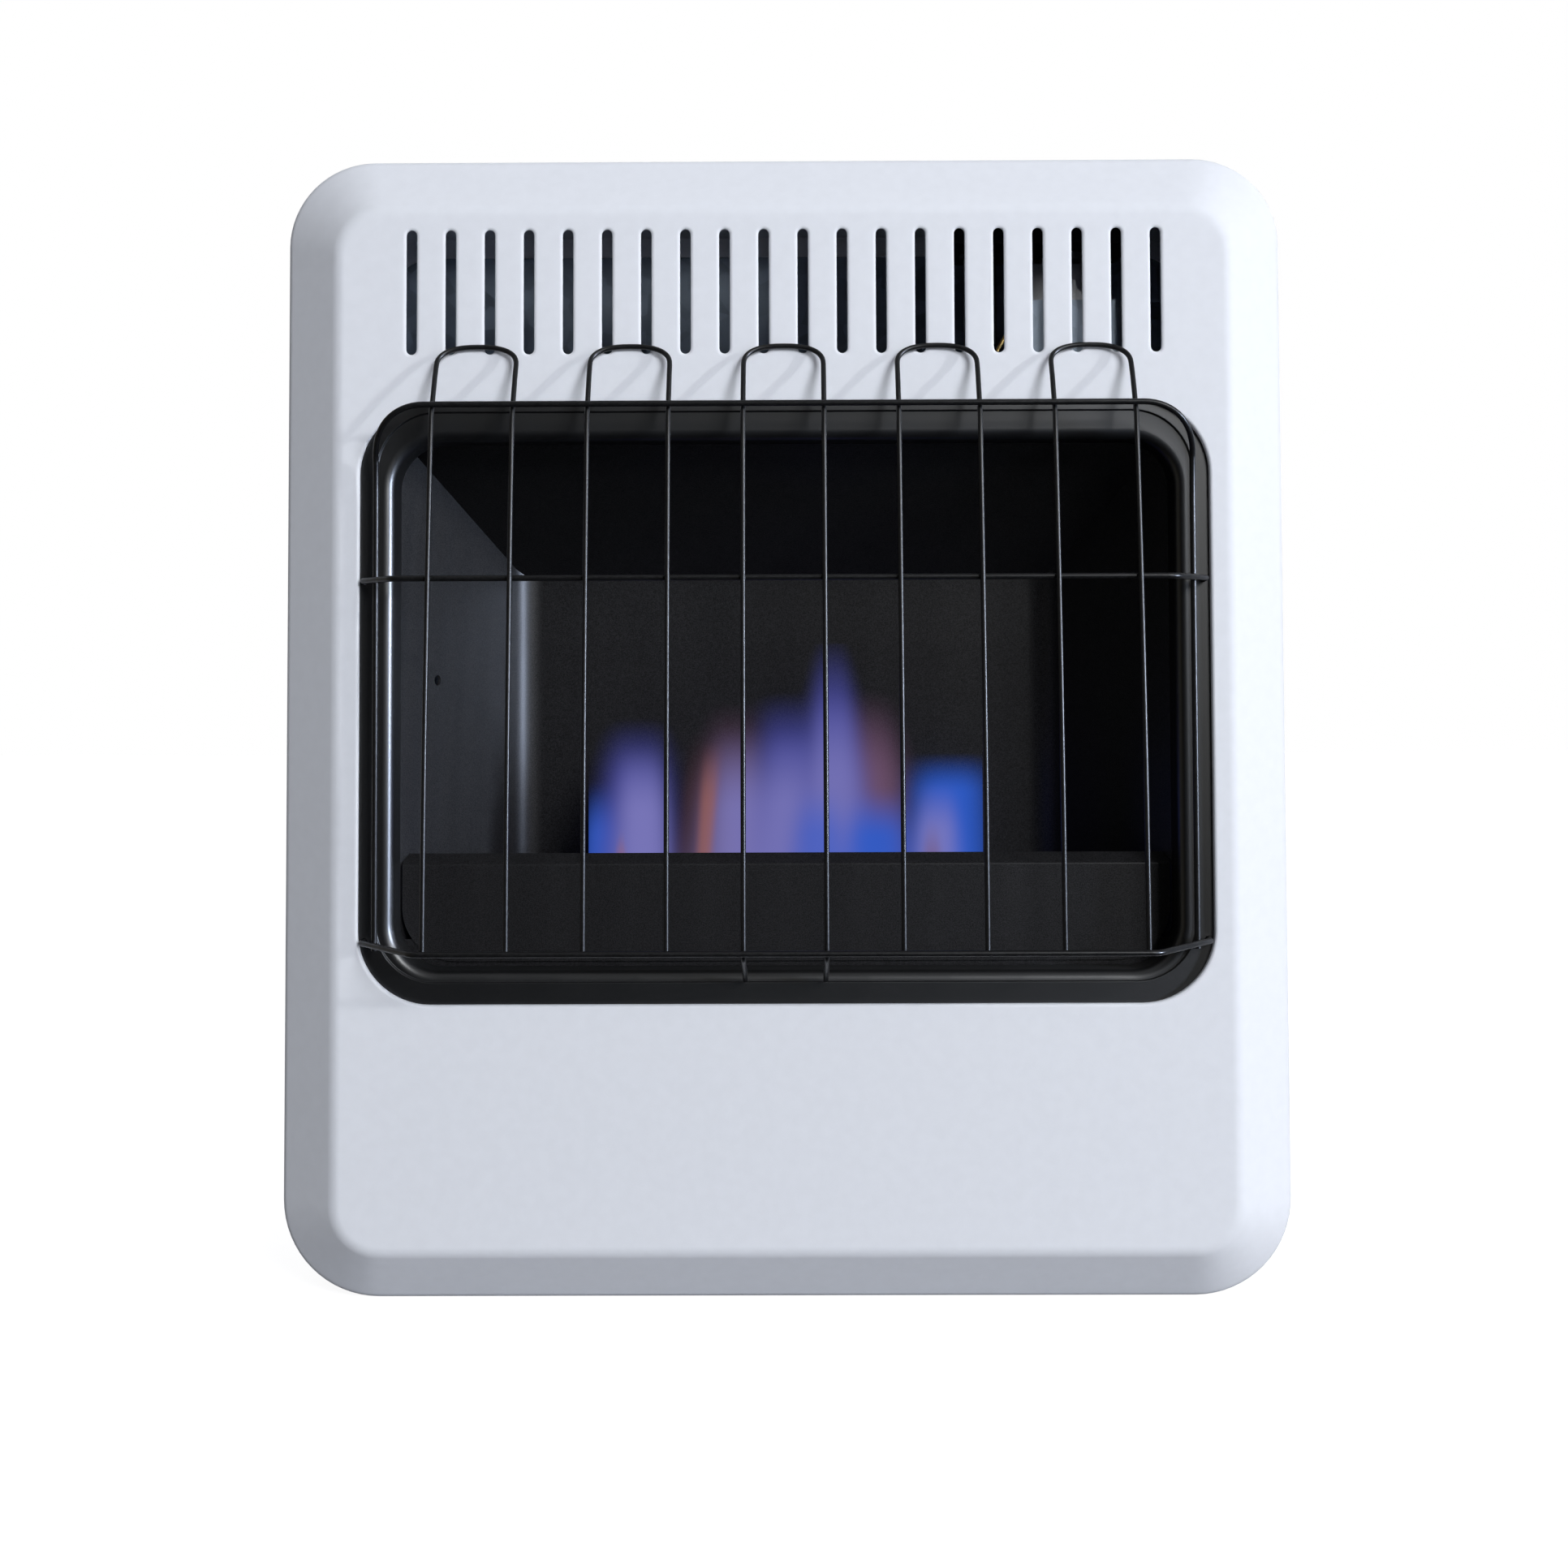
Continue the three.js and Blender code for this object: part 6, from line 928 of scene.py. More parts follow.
def cover_outline(cover, inset):
    """The cover's outline drawn in by an inset; its corners tighten towards the face."""
    share = inset / cover.bevel_inset
    half = cover.width / 2
    lower = lerp(cover.lower_radius, cover.face_radius, share)
    upper = lerp(cover.upper_radius, cover.face_radius, share)
    return round_rectangle(
        inset - half, half - inset, share * cover.bevel_foot_inset, cover.height - inset, lower, upper)


def opening_outline(opening, margin):
    radius = opening.radius + margin
    half = opening.half_width + margin
    return round_rectangle(-half, half, opening.foot - margin, opening.top + margin, radius, radius)


def cover_slots(cover, grow):
    """Outlines of the warm air slots, grown by a rim."""
    first = -(cover.slot_count - 1) / 2
    return [
        slot_outline((first + index) * cover.slot_pitch, cover.slot_middle,
                     cover.slot_width + 2 * grow, cover.slot_length + 2 * grow)
        for index in range(cover.slot_count)]


def cover_skin(cover, opening):
    bevel = bent_path([
        (0, cover.flange_end), (0, cover.bevel_depth), (cover.bevel_inset, 0),
        (cover.bevel_inset + 2 * cover.inner_bend, 0),
    ], [cover.outer_bend, cover.inner_bend], 2 * BEND_STEPS)[:-1]
    bevel.append(bevel[-1] + Vector((HOLD, 0)))
    lip = bent_path([(2 * opening.lip_bend + HOLD, 0), (0, 0), (0, opening.lip_depth)], opening.lip_bend)
    lip[0] = lip[1] + Vector((HOLD, 0))
    skin = Skin()

    def rings(path, outline):
        return [skin.ring_at_depth(outline(point.x), point.y) for point in held_path(path)]

    front_bevel = rings(bevel, lambda inset: cover_outline(cover, inset))
    back_bevel = rings(offset_path(bevel, SHEET), lambda inset: cover_outline(cover, inset))
    front_lip = rings(lip, lambda margin: opening_outline(opening, margin))
    back_lip = rings(offset_path(lip, -SHEET), lambda margin: opening_outline(opening, margin))
    for one, other in ((front_bevel, back_bevel), (front_lip, back_lip)):
        skin.loft(one)
        skin.loft(other)
    skin.bridge(front_bevel[0], back_bevel[0])
    skin.bridge(front_lip[-1], back_lip[-1])
    slot_fronts, slot_backs = slot_rims(skin, cover)
    skin.fill(front_bevel[-1], front_lip[0], *slot_fronts)
    skin.fill(back_bevel[-1], back_lip[0], *slot_backs)
    return skin


def slot_rims(skin, cover):
    """Dished rims around the slots; returns their rings in the front and in the back of the sheet."""
    steps = [math.pi / 2 * step / BEND_STEPS for step in range(BEND_STEPS + 1)]
    levels = [(cover.slot_rim + HOLD, 0)]
    levels += [(cover.slot_rim * (1 - math.sin(turn)), cover.slot_rim_depth * (1 - math.cos(turn)))
               for turn in steps]
    levels.append((0, SHEET))
    rows = [[skin.ring_at_depth(outline, depth) for outline in cover_slots(cover, grow)]
            for grow, depth in levels]
    for rings in zip(*rows):
        skin.loft(rings)
    return rows[0], rows[-1]


def build_cover(cover, opening):
    piece = skin_object("enamel_cover", cover_skin(cover, opening))
    notches = Skin()
    notch_length = 0.011
    for side in (-1, 1):
        middle = side * cover.notch_offset
        notches.box(at_depth(middle - SHEET, cover.flange_end - notch_length, -OVERCUT),
                    at_depth(middle + SHEET, cover.flange_end + OVERCUT, SHEET + OVERCUT))
    carve(piece, notches)
    finish_piece(piece, "white_enamel", replaces=["front_cover"])


def bezel_outline(opening, share, margin):
    """A share of 0 gives the inner edge of the bezel's border and a share of 1 its wall."""
    inset = opening.side_border + share * opening.side_ring - margin
    radius = lerp(opening.border_radius, opening.wall_radius, share) + margin
    half = opening.half_width - inset
    foot = opening.foot + opening.foot_border + share * opening.foot_ring - margin
    top = opening.top - opening.top_border - share * opening.top_ring + margin
    return round_rectangle(-half, half, foot, top, radius, radius)


def bezel_side(skin, opening, thickness):
    """Rings of one side of the bezel's sheet, from behind the cover to the rear flange."""
    face = opening.lip_depth + SEAT_GAP
    second = face + opening.step_depth
    run, bend = opening.step_run, opening.bezel_bend
    border_start, hidden_border, rear_bend = 0.006, 0.0065, 0.0014
    step = bent_path([(border_start, face), (0, face), (-run, second), (-run - 2 * HOLD, second)], HOLD / 2)
    wall = bent_path([
        (bend + HOLD, second), (0, second), (0, opening.end_depth), (opening.rear_flange, opening.end_depth),
    ], [bend, rear_bend])
    rings = [skin.ring_at_depth(opening_outline(opening, hidden_border), face + thickness)]
    for share, path in ((0, held_path(step)[1:-1]), (1, held_path(wall))):
        for point in offset_path(path, -thickness):
            rings.append(skin.ring_at_depth(bezel_outline(opening, share, point.x), point.y))
    return rings


def build_bezel(opening, guard):
    face = opening.lip_depth + SEAT_GAP
    skin = Skin()
    rings = bezel_side(skin, opening, 0) + bezel_side(skin, opening, INNER_SHEET)[::-1]
    skin.loft(rings, around=True)
    piece = skin_object("bezel", skin)
    holes = Skin()
    for side in (-1, 1):
        for height in (guard.mid_height, guard.foot_height):
            outline = round_outline(side * bar_tip(opening), height, guard.bar_radius + SEAT_GAP, SMALL_SIDES)
            holes.plate(outline, [], (face - OVERCUT, face + 2 * OVERCUT))
    carve(piece, holes)
    finish_piece(piece, "bezel_enamel", "black_enamel", replaces=["opening_bezel"])


# Firebox


def liner_face(opening):
    return opening.end_depth + SEAT_GAP


def liner_path(box, opening):
    """The liner's section in X and depth, from the left flange to the right flange."""
    face = liner_face(opening)
    mouth, back = box.mouth_half_width, box.back_half_width
    flange, mouth_bend, back_bend = 0.0105, 0.003, 0.018
    return bent_path([
        (-mouth - flange, face), (-mouth, face), (-back, box.back_depth),
        (back, box.back_depth), (mouth, face), (mouth + flange, face),
    ], [mouth_bend, back_bend, back_bend, mouth_bend], 2 * BEND_STEPS)


def hood_height(box, opening, depth):
    """Height of the hood's underside along its slope."""
    face = liner_face(opening)
    share = (depth - face) / (box.back_depth + INNER_SHEET - face)
    return lerp(box.hood_mouth, box.hood_back, share)


def build_liner(box, opening):
    path = held_path(liner_path(box, opening))
    outer = offset_path(path, INNER_SHEET)
    foot = SHEET + SEAT_GAP

    def top(point):
        return min(hood_height(box, opening, point.y) - SEAT_GAP, box.hood_mouth)

    skin = Skin()
    inner_foot, outer_foot = (
        skin.ring(at_depth(point.x, point.y, foot) for point in side) for side in (path, outer))
    inner_top, outer_top = (
        skin.ring(at_depth(point.x, point.y, top(point)) for point in side) for side in (path, outer))
    skin.loft([inner_foot, inner_top, outer_top, outer_foot], closed=False, around=True)
    for end in (0, -1):
        skin.cap([inner_foot[end], inner_top[end], outer_top[end], outer_foot[end]])
    piece = skin_object("liner", skin)
    carve(piece, tube_windows())
    carve(piece, sight_hole())
    finish_piece(piece, "black_enamel", replaces=["firebox_liner"])


def tube_windows():
    """Windows in both side walls of the liner, where the gas tubes pass."""
    inner, outer = 0.14, 0.22
    near, far, foot, top = 0.040, 0.097, 0.024, 0.146
    cuts = Skin()
    for side in (-1, 1):
        left, right = sorted((side * outer, side * inner))
        cuts.box(at_depth(left, near, foot), at_depth(right, far, top))
    return cuts


def sight_hole():
    """The small oval hole in the liner's left wall."""
    depth, height, half_depth, half_height = 0.051, 0.317, 0.002, 0.0028
    left, right = -0.215, -0.150
    turns = [2 * math.pi * side / SMALL_SIDES for side in range(SMALL_SIDES)]
    skin = Skin()
    skin.prism([[at_depth(x, depth + half_depth * math.cos(turn), height + half_height * math.sin(turn))
                 for turn in turns] for x in (left, right)])
    return skin


def sheet_across(skin, path, thickness, half_width):
    """A bent sheet that runs across the heater: its path is given in depth and height."""
    other = offset_path(path, thickness)
    rings = []
    for x in (-half_width, half_width):
        rings.append(skin.ring(at_depth(x, point.x, point.y) for point in [*path, *other[::-1]]))
    skin.bridge(*rings)
    total = len(path)
    for ring in rings:
        skin.bridge(ring[:total], ring[total:][::-1], closed=False)


def build_hood(box, opening):
    face = liner_face(opening)
    back = box.back_depth + INNER_SHEET
    rear_flange, front_flange, rear_bend, front_bend, side_reach = 0.012, 0.015, 0.004, 0.001, 0.008
    path = bent_path([
        (back + rear_flange, box.hood_back), (back, box.hood_back),
        (face, box.hood_mouth), (face, box.hood_mouth + front_flange),
    ], [rear_bend, front_bend])
    skin = Skin()
    sheet_across(skin, held_path(path), -INNER_SHEET, box.mouth_half_width + side_reach)
    finish_piece(skin_object("hood", skin), "black_enamel", replaces=["firebox_hood"])


def build_shield(box, opening):
    near = liner_face(opening) + INNER_SHEET
    lip_height, lip_run, lip_bend = 0.0053, 0.0065, 0.0012
    lower_radius, upper_radius = 0.028, 0.0035
    path = bent_path([
        (near, box.shield_foot), (near, box.shield_top - lip_height), (near + lip_run, box.shield_top),
    ], lip_bend)
    skin = Skin()
    half = box.shield_half_width
    sheet_across(skin, held_path(path), -INNER_SHEET, half)
    piece = skin_object("shield", skin)
    rounded = Skin()
    outline = round_rectangle(-half, half, box.shield_foot, box.shield_top, lower_radius, upper_radius)
    rounded.plate(outline, [], (near - OVERCUT, near + 3 * OVERCUT))
    carve(piece, rounded, "INTERSECT")
    carve(piece, shield_room(box, opening, near), "INTERSECT")
    finish_piece(piece, "black_enamel", replaces=["burner_shield"])


def shield_room(box, opening, near):
    """The room between the liner's splayed walls, in which the shield has to stay."""
    face = liner_face(opening)
    slope = (box.mouth_half_width - box.back_half_width) / (box.back_depth - face)
    front, back = near - OVERCUT, near + 4 * OVERCUT
    ends = []
    for z in (box.shield_foot - OVERCUT, box.shield_top + OVERCUT):
        corners = []
        for side, depth in ((-1, front), (1, front), (1, back), (-1, back)):
            reach = box.mouth_half_width - slope * (depth - face) - 2 * SEAT_GAP
            corners.append(at_depth(side * reach, depth, z))
        ends.append(corners)
    room = Skin()
    room.prism(ends)
    return room


# Wire guard


def rod_standoff(guard, height):
    """Distance of the upright rods from the cover's face, at a height."""
    bow = 0.012
    share = (guard.top_height - height) / (guard.top_height - guard.foot_height)
    if share < 0:
        rise = (height - guard.top_height) / (guard.loop_top - guard.top_height)
        return lerp(guard.top_standoff, guard.rod_radius + SEAT_GAP, rise)
    return lerp(guard.top_standoff, guard.foot_standoff, share) + bow * share * (1 - share)


def rod_place(guard, x, z):
    return Vector(at_depth(x, -rod_standoff(guard, z), z))


def crossing_gap(guard):
    return guard.bar_radius + guard.rod_radius


def bar_tip(opening):
    """Half of the distance between the bezel's holes for the guard's bars."""
    hole_inset = 0.0028
    return opening.half_width - hole_inset


def bar_stations(opening, height, standoff):
    """A cross bar whose ends lean back and go square into the bezel's holes."""
    tip = bar_tip(opening)
    stub, inside, lean_angle = 0.002, 0.008, math.radians(40)
    outer_bend, tip_bend = 0.009, 0.003
    lean = (standoff - stub) * math.tan(lean_angle)
    half = [(tip - lean, -standoff), (tip, -stub), (tip, inside)]
    corners = [(-x, depth) for x, depth in reversed(half)] + half
    return bent_path([at_depth(x, depth, height) for x, depth in corners],
                     [tip_bend, outer_bend, outer_bend, tip_bend])


def frame_stations(guard, opening):
    """The frame wire goes up one side, leans forward over the rods and comes down the other side."""
    inset, foot, corner, lean_height, side_standoff = 0.0101, 0.1815, 0.027, 0.0312, 0.00555
    long_run, long_steps = 0.05, 12
    side = opening.half_width - inset
    top_standoff = guard.top_standoff + crossing_gap(guard)
    outline = bent_path([
        (-side, foot), (-side, guard.top_height), (side, guard.top_height), (side, foot),
    ], corner, CORNER_STEPS)
    path = []
    for here, there in zip(outline, outline[1:]):
        steps = long_steps if (there - here).length > long_run else 1
        path += [here.lerp(there, step / steps) for step in range(steps)]
    path.append(outline[-1])
    stations = []
    for point in path:
        lean = smoothstep(point.y, guard.top_height - lean_height, guard.top_height)
        stations.append(Vector(at_depth(point.x, -lerp(side_standoff, top_standoff, lean), point.y)))
    return stations


def loop_stations(guard):
    """The loop of a hairpin over the cover's face, from right to left."""
    rise, squareness, steps = 0.0105, 0.80, 24
    stations = []
    for step in range(steps + 1):
        turn = math.pi * step / steps
        across = math.copysign(abs(math.cos(turn)) ** squareness, math.cos(turn))
        lift = math.sin(turn) ** squareness
        stations.append(rod_place(guard, guard.rod_half_width * across, guard.loop_top - rise + rise * lift))
    return stations


def leg_stations(guard, foot, side):
    rise, steps = 0.0148, 14
    heights = [lerp(guard.top_height + rise, foot, step / steps) for step in range(steps + 1)]
    return [rod_place(guard, side * guard.rod_half_width, height) for height in heights]


def hairpin_stations(guard):
    foot = guard.foot_height - guard.bar_radius
    return leg_stations(guard, foot, 1)[::-1] + loop_stations(guard) + leg_stations(guard, foot, -1)


def hooked_stations(guard):
    """The middle hairpin's feet bend back under the lower bar and rest on the bezel's fold."""
    rise, hook_bend, tip_depth, tip_height = 0.005, 0.005, -0.0006, 0.1655
    start = guard.foot_height + rise
    hook = bent_path([
        rod_place(guard, guard.rod_half_width, start),
        at_depth(guard.rod_half_width, -guard.foot_standoff, guard.foot_height - 2 * guard.bar_radius),
        at_depth(guard.rod_half_width, tip_depth, tip_height),
    ], hook_bend)
    mirrored = [Vector((-point.x, point.y, point.z)) for point in hook]
    right = leg_stations(guard, start, 1)[:-1] + hook
    left = leg_stations(guard, start, -1)[:-1] + mirrored
    return right[::-1] + loop_stations(guard) + left


def build_guard(guard, opening):
    mid_standoff = rod_standoff(guard, guard.mid_height) - crossing_gap(guard)
    foot_standoff = guard.foot_standoff + crossing_gap(guard)
    middle = guard.rod_count // 2
    wires = (
        ("middle_bar", "guard_mid_bar", guard.bar_radius,
         bar_stations(opening, guard.mid_height, mid_standoff)),
        ("lower_bar", "guard_bottom_bar", guard.bar_radius,
         bar_stations(opening, guard.foot_height, foot_standoff)),
        ("frame_wire", "guard_frame_wire", guard.bar_radius, frame_stations(guard, opening)),
        ("hooked_hairpin", f"guard_hairpin_{middle + 1}", guard.rod_radius, hooked_stations(guard)),
    )
    for name, node, radius, stations in wires:
        finish_piece(wire_piece(name, stations, radius, "black_wire"), "black_wire", replaces=[node])
    hairpin = path_object("hairpins", hairpin_stations(guard))
    row = shape_with(hairpin, shared_group("rods_in_a_row", rod_row_group), {
        "Radius": guard.rod_radius,
        "Count": guard.rod_count,
        "Pitch": guard.rod_pitch,
        "Free place": middle,
        "Material": finish("black_wire"),
    })
    others = [f"guard_hairpin_{index + 1}" for index in range(guard.rod_count) if index != middle]
    finish_piece(row, "black_wire", replaces=others)
    build_welds(guard, mid_standoff, foot_standoff)


def build_welds(guard, mid_standoff, foot_standoff):
    """A bead of weld where each rod crosses a bar."""
    reach = guard.rod_radius
    slope = 0.7 * reach
    bead = Skin()
    bead.turn([(0, -reach), (slope, -slope), (reach, 0), (slope, slope), (0, reach)], (0, 0), sides=12)
    places = []
    for index in range(guard.rod_count):
        middle = (index - (guard.rod_count - 1) / 2) * guard.rod_pitch
        for x in (middle - guard.rod_half_width, middle + guard.rod_half_width):
            places.append(at_depth(x, -mid_standoff - reach, guard.mid_height))
            places.append(at_depth(x, -foot_standoff + reach, guard.foot_height))
            places.append(at_depth(x, -guard.top_standoff - reach, guard.top_height))
    finish_piece(scattered_piece("weld_beads", places, bead, "black_wire"), "black_wire")


# Flames


def flame_tongues(flames):
    """Tongues of flame: place, lean, foot and top half widths, top, colour, cover and softness."""
    return (
        (-0.098, 0.000, 0.013, 0.008, 0.264, flames.blue, 0.90, 0.60),
        (-0.081, 0.001, 0.022, 0.014, 0.298, flames.violet, 0.85, 0.45),
        (-0.077, -0.001, 0.016, 0.010, 0.284, flames.lilac, 0.85, 0.55),
        (-0.089, 0.000, 0.004, 0.001, 0.238, flames.orange, 0.55, 0.80),
        (-0.052, 0.010, 0.010, 0.008, 0.292, flames.soot, 0.60, 0.50),
        (-0.027, 0.000, 0.020, 0.013, 0.308, flames.rose, 0.50, 0.50),
        (-0.022, -0.002, 0.025, 0.012, 0.294, flames.lilac, 0.80, 0.60),
        (-0.045, 0.006, 0.004, 0.005, 0.286, flames.orange, 0.60, 0.50),
        (0.002, 0.000, 0.021, 0.014, 0.312, flames.violet, 0.85, 0.40),
        (0.004, 0.000, 0.026, 0.012, 0.292, flames.lilac, 0.75, 0.55),
        (0.047, -0.004, 0.023, 0.013, 0.314, flames.rose, 0.75, 0.50),
        (0.028, -0.003, 0.023, 0.007, 0.343, flames.violet, 0.90, 0.42),
        (0.027, -0.001, 0.020, 0.008, 0.314, flames.lilac, 0.70, 0.50),
        (0.018, 0.000, 0.016, 0.010, 0.262, flames.blue, 0.60, 0.60),
        (0.049, 0.000, 0.021, 0.013, 0.260, flames.blue, 0.92, 0.60),
        (0.088, 0.001, 0.023, 0.018, 0.278, flames.blue, 0.95, 0.35),
        (0.081, 0.001, 0.013, 0.009, 0.264, flames.lilac, 0.80, 0.60),
        (0.079, 0.000, 0.006, 0.003, 0.244, flames.rose, 0.60, 0.80),
    )


def flame_look(tongues, foot, x, z):
    """Colour and cover of the flames at a point, each tongue laid over those before it."""
    squareness, least_cover = 3, 0.02
    mixed = Vector((0, 0, 0))
    cover = 0
    for place, lean, foot_width, top_width, top, tint, strength, softness in tongues:
        rise = (z - foot) / (top - foot)
        if rise >= 1:
            continue
        rise = max(rise, 0)
        middle = place + lean * rise
        width = lerp(foot_width, top_width, rise)
        across = math.exp(-abs((x - middle) / width) ** squareness)
        part = strength * across * smoothstep(1 - rise, 0, softness)
        mixed = mixed.lerp(Vector(tint), part)
        cover = cover + part * (1 - cover)
    if cover > 0:
        mixed = mixed / max(cover, least_cover)
    return mixed, cover


def build_flames(flames):
    """One thin swaying sheet of glowing gas over the row of ports."""
    tongues = flame_tongues(flames)
    columns, rows = 150, 90
    depth, sway_reach, sway_rate = 0.062, 0.004, 60
    skin = Skin()
    looks = []
    rings = []
    for row in range(rows + 1):
        z = lerp(flames.foot, flames.top, row / rows)
        points = []
        for column in range(columns + 1):
            x = lerp(-flames.half_length, flames.half_length, column / columns)
            sway = sway_reach * math.sin(x * sway_rate) * (z - flames.foot) / (flames.top - flames.foot)
            points.append(at_depth(x, depth + sway, z))
            looks.append(flame_look(tongues, flames.foot, x, z))
        rings.append(skin.ring(points))
    skin.loft(rings, closed=False)
    mesh = new_mesh("flames", skin.corners, faces=skin.faces)
    tints = mesh.attributes.new("flame_colour", "FLOAT_COLOR", "POINT")
    tints.data.foreach_set("color", [value for tint, _ in looks for value in (*tint, 1)])
    covers = mesh.attributes.new("flame_cover", "FLOAT", "POINT")
    covers.data.foreach_set("value", [min(cover, 1) for _, cover in looks])
    smooth_faces(mesh)
    mesh.materials.append(flame(flames.strength))
    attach(new_object("flames", mesh), "heater")


# Controls


def knob_profile(controls, foot):
    """Profile of the knob from the socket of the stem, by its skirt, to its slightly dished top."""
    skirt_height, rim, taper, top_dish, dish_radius = 0.005, 0.003, 0.0012, 0.0006, 0.002
    edge, foot_edge, inner_edge, steps = 0.0012, 0.0004, 0.0006, 5
    top, skirt = foot + controls.knob_height, foot + skirt_height
    path = bent_path([
        (controls.knob_radius - rim, foot), (controls.knob_radius, foot), (controls.knob_radius, skirt),
        (controls.grip_radius, skirt), (controls.grip_radius - taper, top), (dish_radius, top - top_dish),
    ], [foot_edge, edge, inner_edge, edge], steps)
    socket, socket_top = STEM_HIGH.x - controls.knob_x + SEAT_GAP, STEM_HIGH.z + SEAT_GAP
    room, room_top = controls.neck_radius + SEAT_GAP, WASHER_HIGH.z + SEAT_GAP
    hollow = [(0, socket_top), (socket, socket_top), (socket, room_top), (room, room_top), (room, foot)]
    return hollow + [(point.x, point.y) for point in held_path(path)] + [(0, top - top_dish)]


def add_pointer(skin, controls, place, foot, top):
    """The raised pointer along the grip's front, with bevelled edges."""
    x, y = place
    half, bevel, front, back, rise, crown_rise = 0.0011, 0.0004, 0.0002, 0.001, 0.0006, 0.0010
    radius, crown_radius, steps = 0.0008, 0.0005, 4
    low, high = y - controls.grip_radius + front, y - back
    outline = round_rectangle(x - half, x + half, low, high, radius, radius, steps)
    inner = round_rectangle(
        x - half + bevel, x + half - bevel, low + bevel, high - bevel, crown_radius, crown_radius, steps)
    rings = [skin.ring_at_height(outline, foot), skin.ring_at_height(outline, top + rise),
             skin.ring_at_height(inner, top + crown_rise)]
    skin.loft(rings)
    skin.cap(rings[0])
    skin.cap(rings[-1])


def build_knob(controls):
    foot = KNOB_LOW.z
    place = (controls.knob_x, FACE_Y + controls.axis_depth)
    skirt_rise, flute_depth, flute_run, narrowness, sides = 0.0056, 0.0018, 0.002, 6, 240
    skirt = foot + skirt_rise
    inner_radius = 0.5 * controls.grip_radius
    skin = Skin()

    def fluted(radius, z, turn):
        if z < skirt:
            return radius
        wave = abs(math.cos(controls.flutes * turn / 2)) ** narrowness
        rise = smoothstep(z, skirt, skirt + flute_run)
        grip = rise * smoothstep(radius, inner_radius, controls.grip_radius)
        return radius - flute_depth * wave * grip

    skin.turn(knob_profile(controls, foot), place, sides=sides, shape=fluted)
    body_corners = len(skin.corners)
    add_pointer(skin, controls, place, skirt, foot + controls.knob_height)
    mesh = new_mesh("knob", skin.corners, faces=skin.faces)
    paint = mesh.attributes.new("pointer_paint", "FLOAT", "POINT")
    paint.data.foreach_set("value", [float(i >= body_corners) for i in range(len(skin.corners))])
    tidy_mesh(mesh)
    piece = new_object("knob", mesh)
    finish_piece(piece, "knob_plastic", "black_plastic", body="knob", replaces=["control_knob"])


def build_button(controls):
    place = (controls.button_x, FACE_Y + controls.axis_depth)
    radius = BUTTON_HIGH.x - controls.button_x
    edge, dish_radius, dish, dish_middle = 0.0014, 0.002, 0.0007, 0.0008
    path = bent_path([
        (radius, BUTTON_LOW.z), (radius, BUTTON_HIGH.z), (dish_radius, BUTTON_HIGH.z - dish),
    ], edge)
    profile = [(0, BUTTON_LOW.z)] + [(point.x, point.y) for point in held_path(path)]
    profile.append((0, BUTTON_HIGH.z - dish_middle))
    skin = Skin()
    skin.turn(profile, place)
    finish_piece(skin_object("button", skin), "black_plastic", body="button", replaces=["igniter_button"])


def well_outline(controls, inset):
    corner, steps = 0.012, 10
    radius = corner - inset
    return round_rectangle(
        controls.well_left + inset, controls.well_right - inset,
        FACE_Y + controls.well_front + inset, FACE_Y + controls.well_back - inset, radius, radius, steps)


def build_well(controls):
    """The drawn tray under the opening of the top deck."""
    rim_top, floor = WELL_TOP, controls.well_floor
    bend, upper_inset, lower_inset, foot_inset, rim = 0.003, 0.0026, 0.0027, 0.0042, 0.008
    skin = Skin()

    def ring(inset, height):
        return skin.ring_at_height(well_outline(controls, inset), height)

    turns = [math.pi / 2 * step / BEND_STEPS for step in range(BEND_STEPS + 1)]
    inner = [ring(0, rim_top), ring(upper_inset, floor + bend + HOLD)]
    inner += [ring(lower_inset + bend * (1 - math.cos(turn)), floor + bend * (1 - math.sin(turn)))
              for turn in turns]
    inner.append(ring(lower_inset + bend + HOLD, floor))
    outer = [
        ring(-rim, rim_top), ring(-rim, rim_top - SHEET), ring(-SHEET, rim_top - SHEET),
        ring(lower_inset - SHEET, floor + bend), ring(foot_inset - SHEET, floor - SHEET)]
    skin.loft(inner)
    skin.loft(outer)
    skin.bridge(inner[0], outer[0])
    y = FACE_Y + controls.axis_depth
    knob_hole, button_hole = 0.0085, 0.0093
    holes = [round_outline(controls.knob_x, y, knob_hole), round_outline(controls.button_x, y, button_hole)]
    upper = [skin.ring_at_height(hole, floor) for hole in holes]
    under = [skin.ring_at_height(hole, floor - SHEET) for hole in holes]
    skin.fill(inner[-1], *upper, across=2)
    skin.fill(outer[-1], *under, across=2)
    for one, other in zip(upper, under):
        skin.bridge(one, other)
    finish_piece(skin_object("well", skin), "black_enamel", replaces=["control_well"])


# Cabinet


def wrap_path(cover, cabinet):
    inset, foot_end = cabinet.inset, 0.202
    half, top = cover.width / 2 - inset, cover.height - inset
    lower, upper = cover.lower_radius - inset, cover.upper_radius - inset
    return held_path(bent_path([
        (foot_end, inset), (half, inset), (half, top), (-half, top), (-half, inset), (-foot_end, inset),
    ], [lower, upper, upper, lower], CORNER_STEPS))


def screw_places(cover):
    side_inset, end_inset = 0.010, 0.120
    return [(side * (cover.width / 2 - side_inset), height)
            for side in (-1, 1) for height in (end_inset, cover.height - end_inset)]


def screw_holes(cover):
    return [round_outline(x, z, SCREW_HOLE_RADIUS, SMALL_SIDES) for x, z in screw_places(cover)]


